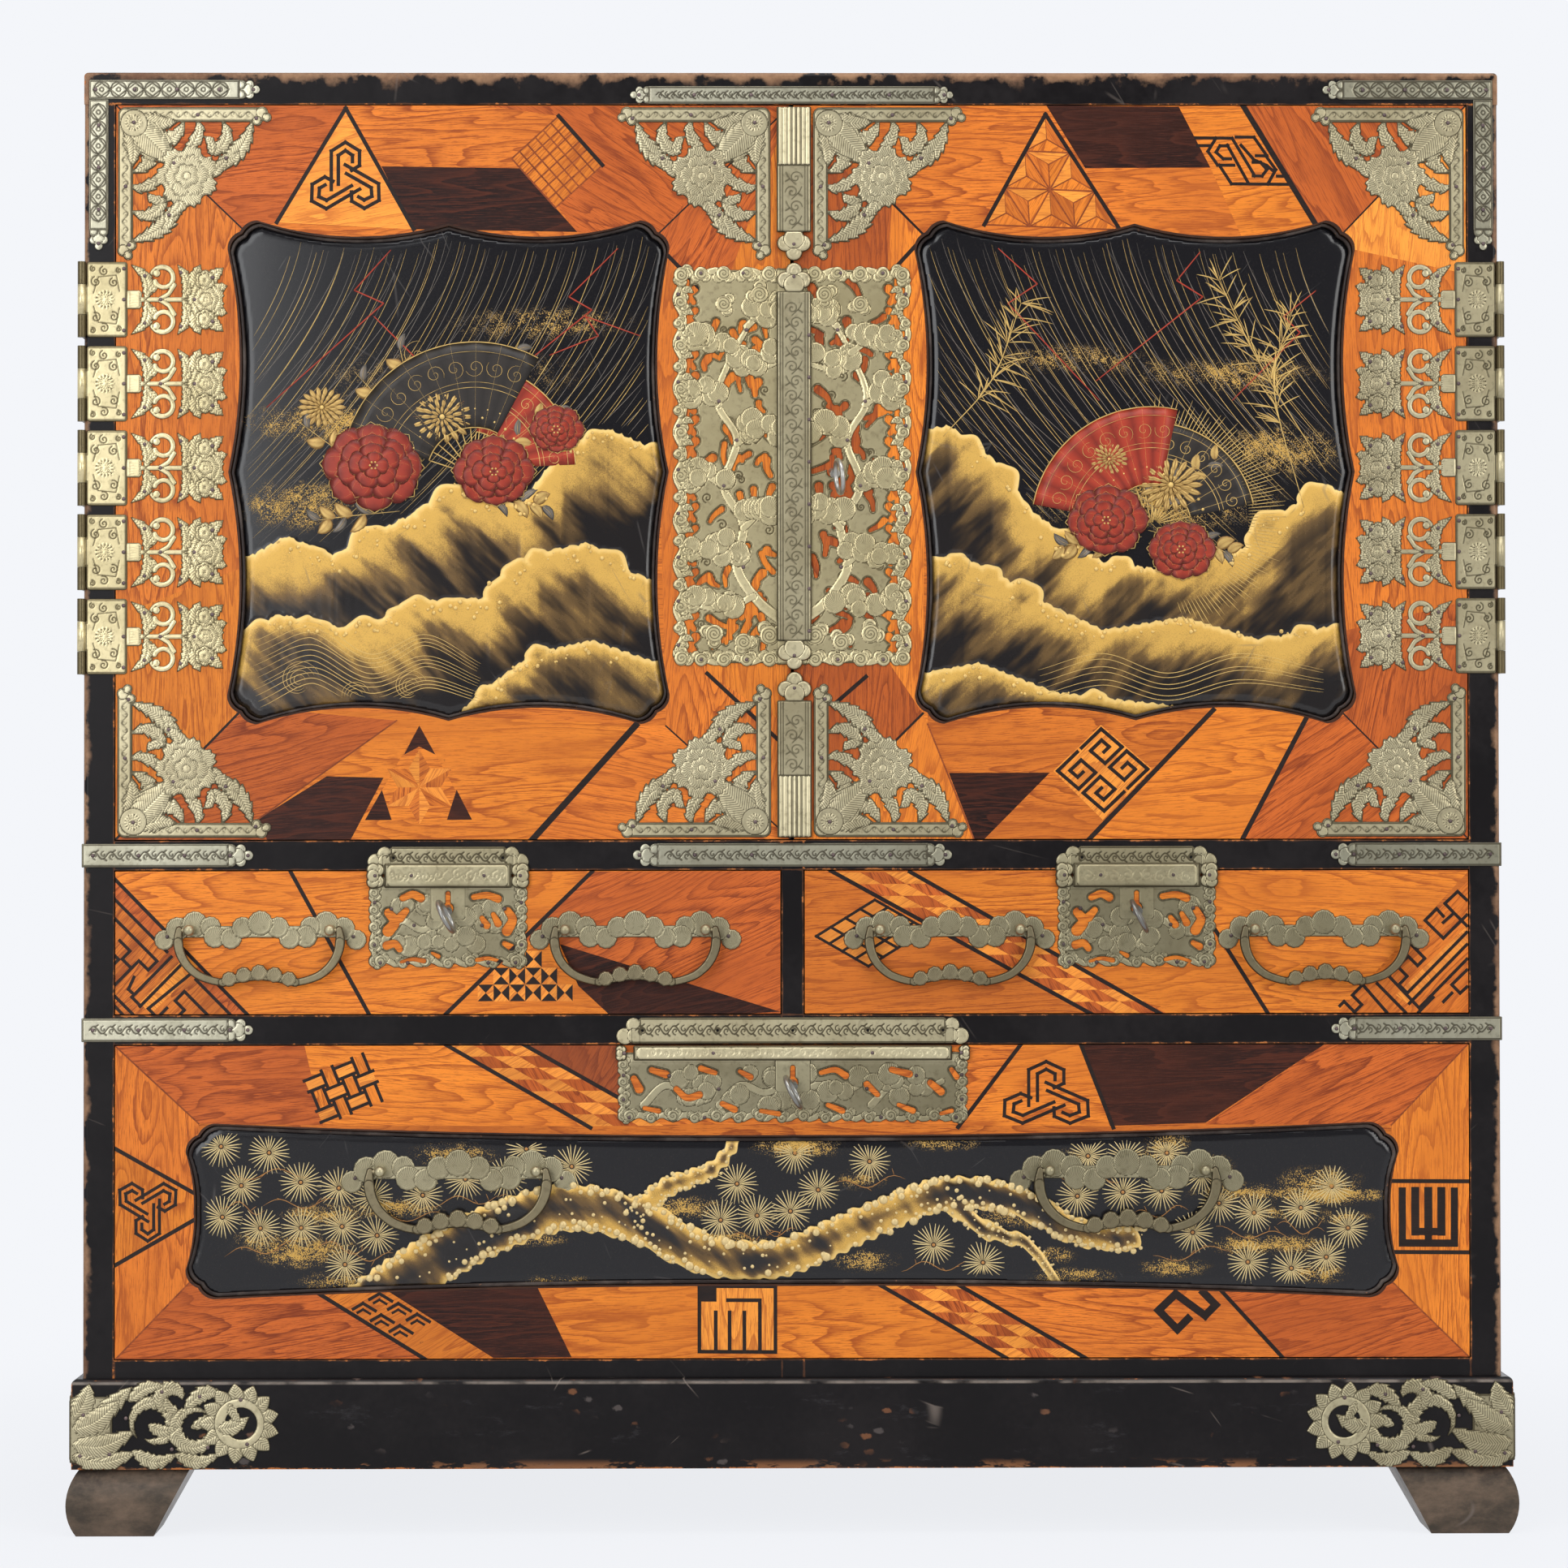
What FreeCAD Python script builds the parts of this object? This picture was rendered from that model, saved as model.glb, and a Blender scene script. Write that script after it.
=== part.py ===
import FreeCAD, Part
import math
import os

# A lacquered and inlaid Japanese cabinet on a low stand: two doors above, two small drawers and one
# long drawer below. Millimetres. X runs to the right, Z up, and the front faces -Y. While it is built,
# y = 0 is the front face of the case; the whole is then moved so that the origin is the middle of its
# footprint on the floor.

os.makedirs("parts", exist_ok=True)
vec = FreeCAD.Vector

# ---- case ----
case_width = 870.0
case_depth = 420.0
side_board = 19.0            # side boards, whose front edges are the stiles
top_board = 20.0
bottom_board = 18.0
back_board = 8.0
door_opening = 453.0         # clear height behind the doors
small_opening = 89.0         # clear height of a small drawer's opening
long_opening = 193.0         # clear height of the long drawer's opening
rail_height = 18.0
rail_depth = 22.0
divider_width = 13.5
dust_board = 8.0
shelf_board = 12.0
cleat_size = 14.0
edge_round = 3.0             # worn round on the case's outer edges

# ---- stand ----
stand_reach = 6.0            # the stand stands proud of the case all round
apron_height = 55.0
apron_wall = 16.0
apron_round = 3.5
seat_depth = 7.0             # how far the case sinks into the stand's rebate
foot_height = 41.0
foot_width = 67.5            # across the foot's top
foot_inset = 4.5             # from the apron's face to the foot's top edge
foot_bulge = 3.0             # the foot's belly past the apron's face

# ---- doors and drawers ----
door_board = 20.0
leaf_gap = 0.75              # round each door and drawer front
meeting_gap = 2.0            # between the two doors
drawer_front = 20.0
drawer_side = 9.0
drawer_floor = 6.0
drawer_rear_gap = 14.0       # behind the drawer boxes
slide_gap = 0.3              # under a drawer box

# ---- lacquer panels ----
panel_half_width = 134.5
panel_half_height = 153.7
panel_shift = 3.0            # towards the hinges
long_panel_half_width = 371.0
long_panel_half_height = 52.7
long_panel_drop = 5.5        # the panel's centre below the drawer front's centre
long_panel_recess = 12.0
lip_width = 4.0
lip_recess = 1.5
panel_recess = 3.5           # panel's edge below the wood's face
panel_thickness = 8.0
panel_crown = 2.6            # how far the panel's middle rises above its edge
long_panel_face = 1.0        # the flat long panel below the wood's face
fit = 0.2                    # between the lip and what it lies against

# ---- metal ----
plate = 1.2
wrap_gap = 0.3               # between a moving lip and the plate behind it
hinge_count = 5
hinge_height = 46.5
hinge_pitch = 51.8
hinge_rise = 2.5             # middle hinge above the middle of the door
barrel_radius = 2.5
pin_radius = 1.2
running_fit = 0.06
pivot_out = 1.2              # pin axis outside the case's side
pivot_front = 1.4            # pin axis in front of the case's face
knuckle_share = 0.3          # each outer knuckle's share of the hinge's height
knuckle_gap = 0.2
leaf_width = 26.5            # plain part of the leaf on the front
side_leaf_reach = 38.0
door_mount = 95.0            # legs of the triangular corner mounts
band = 9.4                   # border bands of the corner mounts
case_mount = 111.0           # arms of the case's corner mounts
case_mount_band = 12.0
strap_length = 115.0
strap_height = 14.5
strap_return = 62.0          # the part of a strap on the case's side
centre_strap = 216.0
top_strap_height = 11.0
strip_width = 21.5           # meeting strips
strip_lap = 9.5              # how far they lie over the other door
strip_thickness = 2.5
strip_gap = 0.6
escutcheon_width = 75.0
escutcheon_height = 251.0
small_lock_width = 99.0
small_lock_height = 51.0
long_lock_width = 216.5
long_lock_height = 40.0
lock_strip_lap = 4.0         # small drawers' raised strip over the rail above
small_strip_height = 15.0
long_strip_height = 10.0
nail_radius = 1.25
nail_proud = 0.8

# ---- pulls ----
small_pull_spread = 230.0
long_pull_spread = 410.0
small_pull_rise = 7.7        # posts above the middle of the small opening
long_pull_rise = 19.0
post_half_span = 43.0
long_pull_scale = 1.11
post_reach = 8.0             # bail axis in front of the wood
post_radius = 1.9
post_head = 3.4
bail_pin = 1.2
bail_thickness = 3.0

# ---- locks ----
key_drop = 20.0              # keyhole below the top of a drawer's opening
door_key_side = 21.5
door_key_rise = 4.0
key_root = 14.0              # where the key's shank ends inside, behind the wood's face
shank_radius = 2.0
shank_out = 11.0             # shank in front of the wood
bow_radius = 10.0
bow_wire = 1.5
key_bore = 3.3
key_droop = 14.0             # degrees, a loose key hangs down in its lock
door_key_lean = 12.0
drawer_key_twist = 28.0
door_key_twist = 6.0
lock_wall = 1.0
lock_half_width = 22.0
lock_height = 36.0
pocket_depth = 11.0
bolt_half_width = 9.0
bolt_thickness = 3.0
bolt_depth = 11.5            # bolt behind the wood's face
bolt_throw = 5.5
bolt_play = 0.3

# ---- levels and places that follow ----
half_case = case_width / 2
opening_half = half_case - side_board
apron_top = foot_height + apron_height
case_floor = apron_top - seat_depth
long_floor = case_floor + bottom_board
long_top = long_floor + long_opening
small_floor = long_top + rail_height
small_top = small_floor + small_opening
door_floor = small_top + rail_height
door_top = door_floor + door_opening
case_top = door_top + top_board
door_middle = (door_floor + door_top) / 2
back_face = case_depth - back_board
pivot_x = half_case + pivot_out
small_width = opening_half - divider_width / 2
small_centre = divider_width / 2 + small_width / 2
drawer_rear = back_face - drawer_rear_gap
stand_half = half_case + stand_reach

nodes = {}


# ---- helpers ----
def block(x0, x1, y0, y1, z0, z1):
    return Part.makeBox(x1 - x0, y1 - y0, z1 - z0, vec(x0, y0, z0))


def mirrored(shape):
    return shape.mirror(vec(0, 0, 0), vec(1, 0, 0))


def moved(shape, x=0.0, y=0.0, z=0.0):
    other = shape.copy()
    other.translate(vec(x, y, z))
    return other


def group(solids):
    return Part.makeCompound(solids)


def joined(solids):
    whole = solids[0].multiFuse(solids[1:]) if len(solids) > 1 else solids[0]
    return whole.removeSplitter()


def outline(start, steps):
    """A closed wire in the XZ plane. A step is an end point, or a pair (a point on the arc, end point)."""
    edges = []
    here = vec(start[0], 0, start[1])
    for step in steps:
        curved = isinstance(step[0], tuple)
        end = step[1] if curved else step
        there = vec(end[0], 0, end[1])
        if curved:
            through = vec(step[0][0], 0, step[0][1])
            edges.append(Part.Arc(here, through, there).toShape())
        else:
            edges.append(Part.LineSegment(here, there).toShape())
        here = there
    return Part.Wire(edges)


def slab(wire, front, back):
    """A flat solid with this outline, between two depths."""
    face = Part.Face(wire)
    solid = face.extrude(vec(0, back - front, 0))
    solid.translate(vec(0, front, 0))
    return solid


def disc(x, z, radius, front=-plate, back=0.0):
    return Part.makeCylinder(radius, back - front, vec(x, front, z), vec(0, 1, 0))


def bar(x0, z0, x1, z1, width, front=-plate, back=0.0):
    """A straight strip of plate from one point to another."""
    length = math.hypot(x1 - x0, z1 - z0)
    side_x = -(z1 - z0) / length * width / 2
    side_z = (x1 - x0) / length * width / 2
    start = (x0 + side_x, z0 + side_z)
    steps = [(x1 + side_x, z1 + side_z), (x1 - side_x, z1 - side_z), (x0 - side_x, z0 - side_z), start]
    return slab(outline(start, steps), front, back)


def trefoil(x, z, along, size):
    """Three-lobed end of a strap, pointing along (dx, dz)."""
    dx, dz = along
    lobes = [disc(x + dx * size * 0.45, z + dz * size * 0.45, size * 0.55)]
    lobes.append(disc(x + dx * size * 1.15, z + dz * size * 1.15, size * 0.36))
    for way in (-1, 1):
        side_x = x + dx * size * 0.55 - way * dz * size * 0.42
        side_z = z + dz * size * 0.55 + way * dx * size * 0.42
        lobes.append(disc(side_x, side_z, size * 0.36))
    return lobes


def cartouche(half_width, half_height, inset=0.0, cusps=True, top_dip=10.0, side_dip=7.5):
    """The lobed outline of a lacquer panel: bowed edges, cusps at their middles and double-lobed corners."""
    a = half_width - inset
    b = half_height - inset
    lobe = (a - 18.0, b)
    lobe_side = (a - 12.0, b - 1.9)
    notch = (a - 7.6, b - 7.0)
    notch_side = (a - 2.1, b - 11.0)
    corner = (a, b - 18.0)
    top = (0.0, b - 2.0)
    top_low = (a * 0.42, b - top_dip)
    side = (a - 0.5, 0.0)
    side_low = (a - side_dip, b * 0.43)
    if not cusps:
        top = (0.0, b - top_dip)
        top_low = (a * 0.5, b - top_dip * 0.78)
        side = (a - side_dip, 0.0)
        side_low = (a - side_dip * 0.8, b * 0.35)

    def at(point, sx, sz):
        return (point[0] * sx, point[1] * sz)

    steps = []
    for sx, sz in ((1, 1), (1, -1), (-1, -1), (-1, 1)):
        quarter = [(top_low, lobe), (lobe_side, notch), (notch_side, corner), (side_low, side)]
        if sx * sz > 0:
            steps += [(at(mid, sx, sz), at(end, sx, sz)) for mid, end in quarter]
        else:
            back = [(side_low, corner), (notch_side, notch), (lobe_side, lobe), (top_low, top)]
            steps += [(at(mid, sx, sz), at(end, sx, sz)) for mid, end in back]
    return outline(top, steps)


def panel_set(half_width, half_height, x, z, recess=0.0, cusps=True, top_dip=10.0, side_dip=7.5):
    """The lacquer panel and the lip round it, in an opening of the same outline. A panel that lies in a
    recess is flat, and one in an open frame is crowned."""
    shape = dict(cusps=cusps, top_dip=top_dip, side_dip=side_dip)
    inner = cartouche(half_width, half_height, lip_width, **shape)
    lip_back = recess or lip_recess + panel_thickness
    lip = slab(cartouche(half_width, half_height, fit, **shape), lip_recess, lip_back)
    lip = lip.cut(slab(inner, 0.0, lip_back + 1.0))
    face = long_panel_face if recess else panel_recess - panel_crown
    back = recess or panel_recess + panel_thickness
    body = slab(cartouche(half_width, half_height, lip_width + fit, **shape), face, back)
    if not recess:
        a = half_width - lip_width
        crown_radius = (a * a + panel_crown * panel_crown) / (2 * panel_crown)
        crown = Part.makeCylinder(crown_radius, 4 * half_height, vec(0, face + crown_radius, -2 * half_height))
        body = body.common(crown)
    return moved(lip, x, 0, z), moved(body, x, 0, z)


# ---- case ----
def rounded_case_edges(solid, x_edges, z_edge=None):
    """Rounds the outer edges of a board that lie on the case's outside corners at the front and back."""
    picked = []
    for edge in solid.Edges:
        box = edge.BoundBox
        upright = box.ZLength > 50 and any(abs(box.XMin - x) < 0.01 and box.XLength < 0.01 for x in x_edges)
        level = z_edge is not None and abs(box.ZMin - z_edge) < 0.01 and box.ZLength < 0.01
        if upright or level:
            picked.append(edge)
    return solid.makeFillet(edge_round, picked)


def build_case():
    left = block(-half_case, -opening_half, 0, case_depth, case_floor, door_top)
    left = rounded_case_edges(left, [-half_case])
    nodes["case_sides"] = group([left, mirrored(left)])
    top = block(-half_case, half_case, 0, case_depth, door_top, case_top)
    nodes["case_top"] = rounded_case_edges(top, [], case_top)
    nodes["case_bottom"] = block(-opening_half, opening_half, 0, case_depth, case_floor, long_floor)
    nodes["case_back"] = block(-opening_half, opening_half, back_face, case_depth, long_floor, door_top)
    upper = block(-opening_half, opening_half, 0, rail_depth, small_top, door_floor)
    lower = block(-opening_half, opening_half, 0, rail_depth, long_top, small_floor)
    slot_x = bolt_half_width + bolt_play
    slot_y0 = bolt_depth - bolt_play
    slot_y1 = bolt_depth + bolt_thickness + bolt_play
    slot_rise = bolt_throw + 2 * bolt_play + leaf_gap
    for x in (-small_centre, small_centre):
        upper = upper.cut(block(x - slot_x, x + slot_x, slot_y0, slot_y1, small_top - 1, small_top + slot_rise))
    lower = lower.cut(block(-slot_x, slot_x, slot_y0, slot_y1, long_top - 1, long_top + slot_rise))
    nodes["front_rails"] = group([upper, lower])
    half = divider_width / 2
    nodes["drawer_divider"] = block(-half, half, 0, back_face, small_floor, small_top)
    boards = []
    for level in (small_floor, door_floor):
        boards.append(block(-opening_half, opening_half, rail_depth, back_face, level - dust_board, level))
    nodes["dust_boards"] = group(boards)
    shelf_front = door_board + 2 * leaf_gap
    shelf = block(-opening_half, opening_half, shelf_front + 20, back_face, door_middle, door_middle + shelf_board)
    cleat = block(-opening_half, -opening_half + cleat_size, shelf_front + 24, back_face,
                  door_middle - cleat_size, door_middle)
    nodes["inner_shelf"] = group([shelf, cleat, mirrored(cleat)])


# ---- stand ----
def foot():
    """One corner foot, its belly towards -X and -Y: two bowed profiles that cross at the corner."""
    drop = foot_height
    inner = foot_inset + foot_width
    steps = [((-foot_bulge, -drop * 0.58), (2.5, -drop)),
             (50.0 * foot_width / 67.5, -drop),
             ((inner * 0.80, -drop * 0.66), (inner, 0.0)),
             (foot_inset, 0.0)]
    profile = Part.Face(outline((foot_inset, 0.0), steps))
    along_y = profile.extrude(vec(0, inner + 10, 0))
    along_y.translate(vec(0, -foot_bulge - 1, 0))
    turned = profile.copy()
    turned.rotate(vec(0, 0, 0), vec(0, 0, 1), 90)
    along_x = turned.extrude(vec(inner + 10, 0, 0))
    along_x.translate(vec(-foot_bulge - 1, 0, 0))
    return along_y.common(along_x)


def build_stand():
    front = -stand_reach
    back = case_depth + stand_reach
    ring = block(-stand_half, stand_half, front, back, foot_height, apron_top)
    rim = [edge for edge in ring.Edges
           if abs(edge.BoundBox.ZMin - apron_top) < 0.01 and edge.BoundBox.ZLength < 0.01]
    ring = ring.makeFillet(apron_round, rim)
    wall = apron_wall
    ring = ring.cut(block(-stand_half + wall, stand_half - wall, front + wall, back - wall, 0, apron_top + 1))
    ring = ring.cut(block(-half_case, half_case, 0, case_depth, case_floor, apron_top + 1))
    middle_y = case_depth / 2
    depth = back - front

    def wedge(corners):
        points = [vec(x, y, 0) for x, y in corners + corners[:1]]
        return Part.Face(Part.makePolygon(points)).extrude(vec(0, 0, apron_top + 1))

    run = depth / 2
    boards = []
    for way in (-1, 1):
        outer_y = middle_y + way * run
        inner_y = outer_y - way * (wall + 30)
        long_side = [(-stand_half, outer_y), (stand_half, outer_y),
                     (stand_half - wall - 30, inner_y), (-stand_half + wall + 30, inner_y)]
        boards.append(ring.common(wedge(long_side)))
        outer_x = way * stand_half
        inner_x = outer_x - way * (wall + 30)
        short_side = [(outer_x, front), (outer_x, back),
                      (inner_x, back - wall - 30), (inner_x, front + wall + 30)]
        boards.append(ring.common(wedge(short_side)))
    nodes["stand_frame"] = group([solid for board in boards for solid in board.Solids])
    near_left = moved(foot(), -stand_half, front, foot_height)
    far_left = near_left.mirror(vec(0, middle_y, 0), vec(0, 1, 0))
    nodes["stand_feet"] = group([near_left, far_left, mirrored(near_left), mirrored(far_left)])


# ---- case metal ----
def strap(length, height, both_ends=False):
    """A strap from x = 0 along +X with a trefoil end; z = 0 is its centre line."""
    body = length - height * 1.5
    pieces = [bar(0, 0, body, 0, height)]
    pieces += trefoil(body, 0, (1, 0), height * 0.62)
    whole = joined(pieces)
    if both_ends:
        whole = joined([whole, mirrored(whole)])
    return whole


def corner_strap(z):
    """A strap on a rail's left end that turns round onto the case's side."""
    face = moved(strap(strap_length, strap_height), -half_case, 0, z)
    side = strap(strap_return, strap_height)
    side.rotate(vec(0, 0, 0), vec(0, 0, 1), 90)
    side = moved(side, -half_case - plate, 0, z)
    low = z - strap_height / 2
    high = z + strap_height / 2
    turn = block(-half_case - plate, -half_case, -plate, 0, low, high)
    return joined([face, side, turn])


def case_corner_mount():
    inner = case_mount_band
    x0 = -half_case + edge_round
    z0 = case_top - edge_round - 2
    body = case_mount - 18.0
    pieces = [bar(x0, z0 - inner / 2, x0 + body, z0 - inner / 2, inner)]
    pieces.append(bar(x0 + inner / 2, z0, x0 + inner / 2, z0 - body, inner))
    pieces += trefoil(x0 + body, z0 - inner / 2, (1, 0), inner * 0.75)
    pieces += trefoil(x0 + inner / 2, z0 - body, (0, -1), inner * 0.75)
    return joined(pieces)


def stand_corner_mount():
    """Leafy scroll on the stand's front corner, with a plain leaf on the side."""
    x0 = -stand_half
    mid = foot_height + apron_height / 2
    front = -stand_reach - plate
    back = -stand_reach
    low = mid - 23
    leaf = slab(outline((0, low), [(45, low), ((52, mid), (38, mid + 18)),
                                   ((15, mid + 25), (0, mid + 17)), (0, low)]), -plate, 0)
    side = leaf.copy()
    side.rotate(vec(0, 0, 0), vec(0, 0, 1), 90)
    pieces = [moved(leaf, x0, back), moved(side, x0 - plate, back)]
    pieces.append(block(x0 - plate, x0, front, back, low, mid + 17))
    for x, z, radius in ((70, 0, 17), (107, 3, 16)):
        ring = disc(x0 + x, mid + z, radius + 4, front, back)
        pieces.append(ring.cut(disc(x0 + x, mid + z, radius - 4, front - 1, back + 1)))
    pieces.append(bar(x0 + 40, mid + 12, x0 + 62, mid + 18, 6, front, back))
    pieces.append(bar(x0 + 84, mid - 3, x0 + 94, mid - 3, 8, front, back))
    return joined(pieces)


def build_case_metal():
    rail_1 = small_top + rail_height / 2
    rail_2 = long_top + rail_height / 2
    corner = case_corner_mount()
    pieces = [corner, mirrored(corner)]
    for z in (rail_1, rail_2):
        turned = corner_strap(z)
        pieces += [turned, mirrored(turned)]
    centre = strap(centre_strap / 2, strap_height, True)
    pieces.append(moved(centre, 0, 0, rail_1))
    top = strap(centre_strap / 2, top_strap_height, True)
    pieces.append(moved(top, 0, 0, door_top + top_strap_height / 2 + 0.3))
    nodes["case_mounts"] = group(pieces)
    mount = stand_corner_mount()
    nodes["stand_mounts"] = group([mount, mirrored(mount)])
    keepers = []
    for x, width, level, height in ((-small_centre, small_lock_width, small_top, strap_height - 0.5),
                                    (small_centre, small_lock_width, small_top, strap_height - 0.5),
                                    (0, long_lock_width, long_top, rail_height - 2)):
        pieces = [block(x - width / 2, x + width / 2, -plate, 0, level + 0.3, level + height * 0.7)]
        pieces.append(block(x - width / 2 + 12, x + width / 2 - 12, -plate, 0, level + 0.3, level + height))
        keepers.append(joined(pieces))
    nodes["lock_keepers"] = group(keepers)


# ---- hinges ----
def hinge_level(number):
    return door_middle + hinge_rise + (number - (hinge_count - 1) / 2) * hinge_pitch


def barrel(z0, z1):
    return Part.makeCylinder(barrel_radius, z1 - z0, vec(-pivot_x, -pivot_front, z0))


def left_hinge(z):
    """Case leaf, door leaf and pin of one hinge of the left door, its middle at height z."""
    low = z - hinge_height / 2
    high = z + hinge_height / 2
    split_low = low + hinge_height * knuckle_share
    split_high = high - hinge_height * knuckle_share
    gap = knuckle_gap / 2
    bore = Part.makeCylinder(pin_radius + running_fit, hinge_height + 2, vec(-pivot_x, -pivot_front, low - 1))

    side_x0 = -half_case - plate
    case_leaf = block(side_x0, -half_case, barrel_radius + wrap_gap, side_leaf_reach, low, high)
    parts = [case_leaf]
    for z0, z1 in ((low, split_low - gap), (split_high + gap, high)):
        parts.append(barrel(z0, z1))
        parts.append(block(side_x0, -half_case, -pivot_front, side_leaf_reach / 2, z0, z1))
    case_leaf = joined(parts).cut(bore)

    start = -pivot_x + barrel_radius + wrap_gap
    parts = [block(start, -half_case + leaf_width, -plate, 0, low, high)]
    parts.append(barrel(split_low + gap, split_high - gap))
    parts.append(block(-pivot_x, start + 1, -plate, 0, split_low + gap, split_high - gap))
    face = -half_case + leaf_width
    parts.append(block(face - 0.5, face + 9, -plate, 0, z - 5.5, z + 5.5))
    for way in (-1, 1):
        parts.append(bar(face + 1, z + way * 20.5, face + 9, z + way * 15, 4))
        parts.append(bar(face + 8, z + way * 17, face + 15, z, 6))
        ring = disc(face + 22, z + way * 13, 8)
        parts.append(ring.cut(disc(face + 22, z + way * 13, 4.8, -plate - 1, 1)))
        parts.append(bar(face + 26, z, face + 33, z + way * 18, 5))
        parts.append(disc(face + 48, z + way * 13, 7.5))
    parts.append(bar(face + 13, z, face + 42, z, 4))
    parts.append(disc(face + 48, z, 11))
    door_leaf = joined(parts).cut(bore)
    pin = Part.makeCylinder(pin_radius, hinge_height, vec(-pivot_x, -pivot_front, low))
    return case_leaf, door_leaf, pin


def build_hinges():
    levels = [hinge_level(number) for number in range(hinge_count)]
    first_case, first_door, first_pin = left_hinge(levels[0])
    case_leaves = [moved(first_case, z=z - levels[0]) for z in levels]
    door_leaves = [moved(first_door, z=z - levels[0]) for z in levels]
    pins = [moved(first_pin, z=z - levels[0]) for z in levels]
    nodes["hinge_side_leaves"] = group(case_leaves + [mirrored(leaf) for leaf in case_leaves])
    nodes["hinge_pins"] = group(pins + [mirrored(pin) for pin in pins])
    nodes["left_door_hinges"] = group(door_leaves)
    nodes["right_door_hinges"] = group([mirrored(leaf) for leaf in door_leaves])


# ---- locks ----
def key_axis(lean):
    """Unit vector out along a key's shank: drooping, and leaning sideways by so many degrees."""
    down = math.radians(key_droop)
    aside = math.radians(lean)
    return vec(math.sin(aside) * math.cos(down), -math.cos(aside) * math.cos(down), -math.sin(down))


def key_hole(x, z, lean, radius=key_bore):
    """The round hole that a key's shank passes through, from behind the lock to in front of the plates."""
    axis = key_axis(lean)
    start = vec(x, key_root, z)
    reach = key_root + 6.0
    return Part.makeCylinder(radius, reach + 8.0, start - axis * 8.0, axis)


def key(x, z, lean, twist):
    axis = key_axis(lean)
    start = vec(x, key_root, z)
    out = (key_root + shank_out) / math.cos(math.radians(key_droop))
    shank = Part.makeCylinder(shank_radius, out + 3.0, start - axis * 3.0, axis)
    collar = Part.makeCylinder(shank_radius + 1.0, 2.0, start + axis * (out - 4.0), axis)
    up = vec(0, 0, 1)
    across = axis.cross(up)
    across.normalize()
    turn = FreeCAD.Rotation(axis, twist)
    normal = turn.multVec(across)
    centre = start + axis * (out + bow_radius - 0.5)
    bow = Part.makeTorus(bow_radius, bow_wire, centre, normal)
    bit_up = turn.multVec(normal.cross(axis) * -1.0)
    bit = Part.makeBox(1.6, 4.5, 2.4)
    bit.Placement = FreeCAD.Placement(start - axis * 0.5, FreeCAD.Rotation(across, bit_up, axis * -1.0, "ZXY"))
    return joined([shank, collar, bow, bit])


def drawer_lock(x, top):
    """Pocket cut, lock case and bolt of a drawer; top is the top of the drawer's opening."""
    z = top - key_drop
    edge = top - leaf_gap
    floor = edge - lock_height
    y0 = drawer_front - pocket_depth
    pocket = block(x - lock_half_width, x + lock_half_width, y0, drawer_front + 1, floor, edge - 3)
    slot_x = bolt_half_width + bolt_play
    slot = block(x - slot_x, x + slot_x, bolt_depth - bolt_play,
                 bolt_depth + bolt_thickness + bolt_play, floor + 4, edge + 1)
    hole = key_hole(x, z, 0)
    bearing = key_hole(x, z, 0, shank_radius + running_fit)
    case = block(x - lock_half_width + fit, x + lock_half_width - fit, y0 + fit, drawer_front,
                 floor + fit, edge - 3 - fit)
    inside = block(x - lock_half_width + fit + lock_wall, x + lock_half_width - fit - lock_wall,
                   y0 + fit + lock_wall, drawer_front - lock_wall, floor + fit + lock_wall,
                   edge - 3 - fit - lock_wall)
    case = case.cut(inside).cut(slot).cut(bearing)
    bolt_low = z + shank_radius + 5.0
    bolt = block(x - bolt_half_width, x + bolt_half_width, bolt_depth, bolt_depth + bolt_thickness,
                 bolt_low, edge - bolt_play)
    return pocket.fuse(slot).fuse(hole), case, bolt, key(x, z, 0, drawer_key_twist)


def door_lock():
    """Pocket cut, lock case, bolt and key in the right door, and the mortise in the left door's edge."""
    x = door_key_side
    z = door_middle + door_key_rise
    edge = meeting_gap / 2
    y0 = door_board - pocket_depth
    half = lock_half_width
    pocket = block(edge + 3, x + 14, y0, door_board + 1, z - half, z + half)
    slot_z = bolt_half_width + bolt_play
    slot_y0 = bolt_depth - bolt_play
    slot_y1 = bolt_depth + bolt_thickness + bolt_play
    slot = block(edge - 1, x - 3, slot_y0, slot_y1, z - slot_z, z + slot_z)
    hole = key_hole(x, z, door_key_lean)
    bearing = key_hole(x, z, door_key_lean, shank_radius + running_fit)
    case = block(edge + 3 + fit, x + 14 - fit, y0 + fit, door_board, z - half + fit, z + half - fit)
    inside = block(edge + 3 + fit + lock_wall, x + 14 - fit - lock_wall, y0 + fit + lock_wall,
                   door_board - lock_wall, z - half + fit + lock_wall, z + half - fit - lock_wall)
    case = case.cut(inside).cut(slot).cut(bearing)
    bolt = block(edge + bolt_play, x - 6.5, bolt_depth, bolt_depth + bolt_thickness,
                 z - bolt_half_width, z + bolt_half_width)
    mortise = block(-edge - bolt_throw - 1, -edge + 1, slot_y0, slot_y1, z - slot_z, z + slot_z)
    return pocket.fuse(slot).fuse(hole), case, bolt, key(x, z, door_key_lean, door_key_twist), mortise


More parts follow.
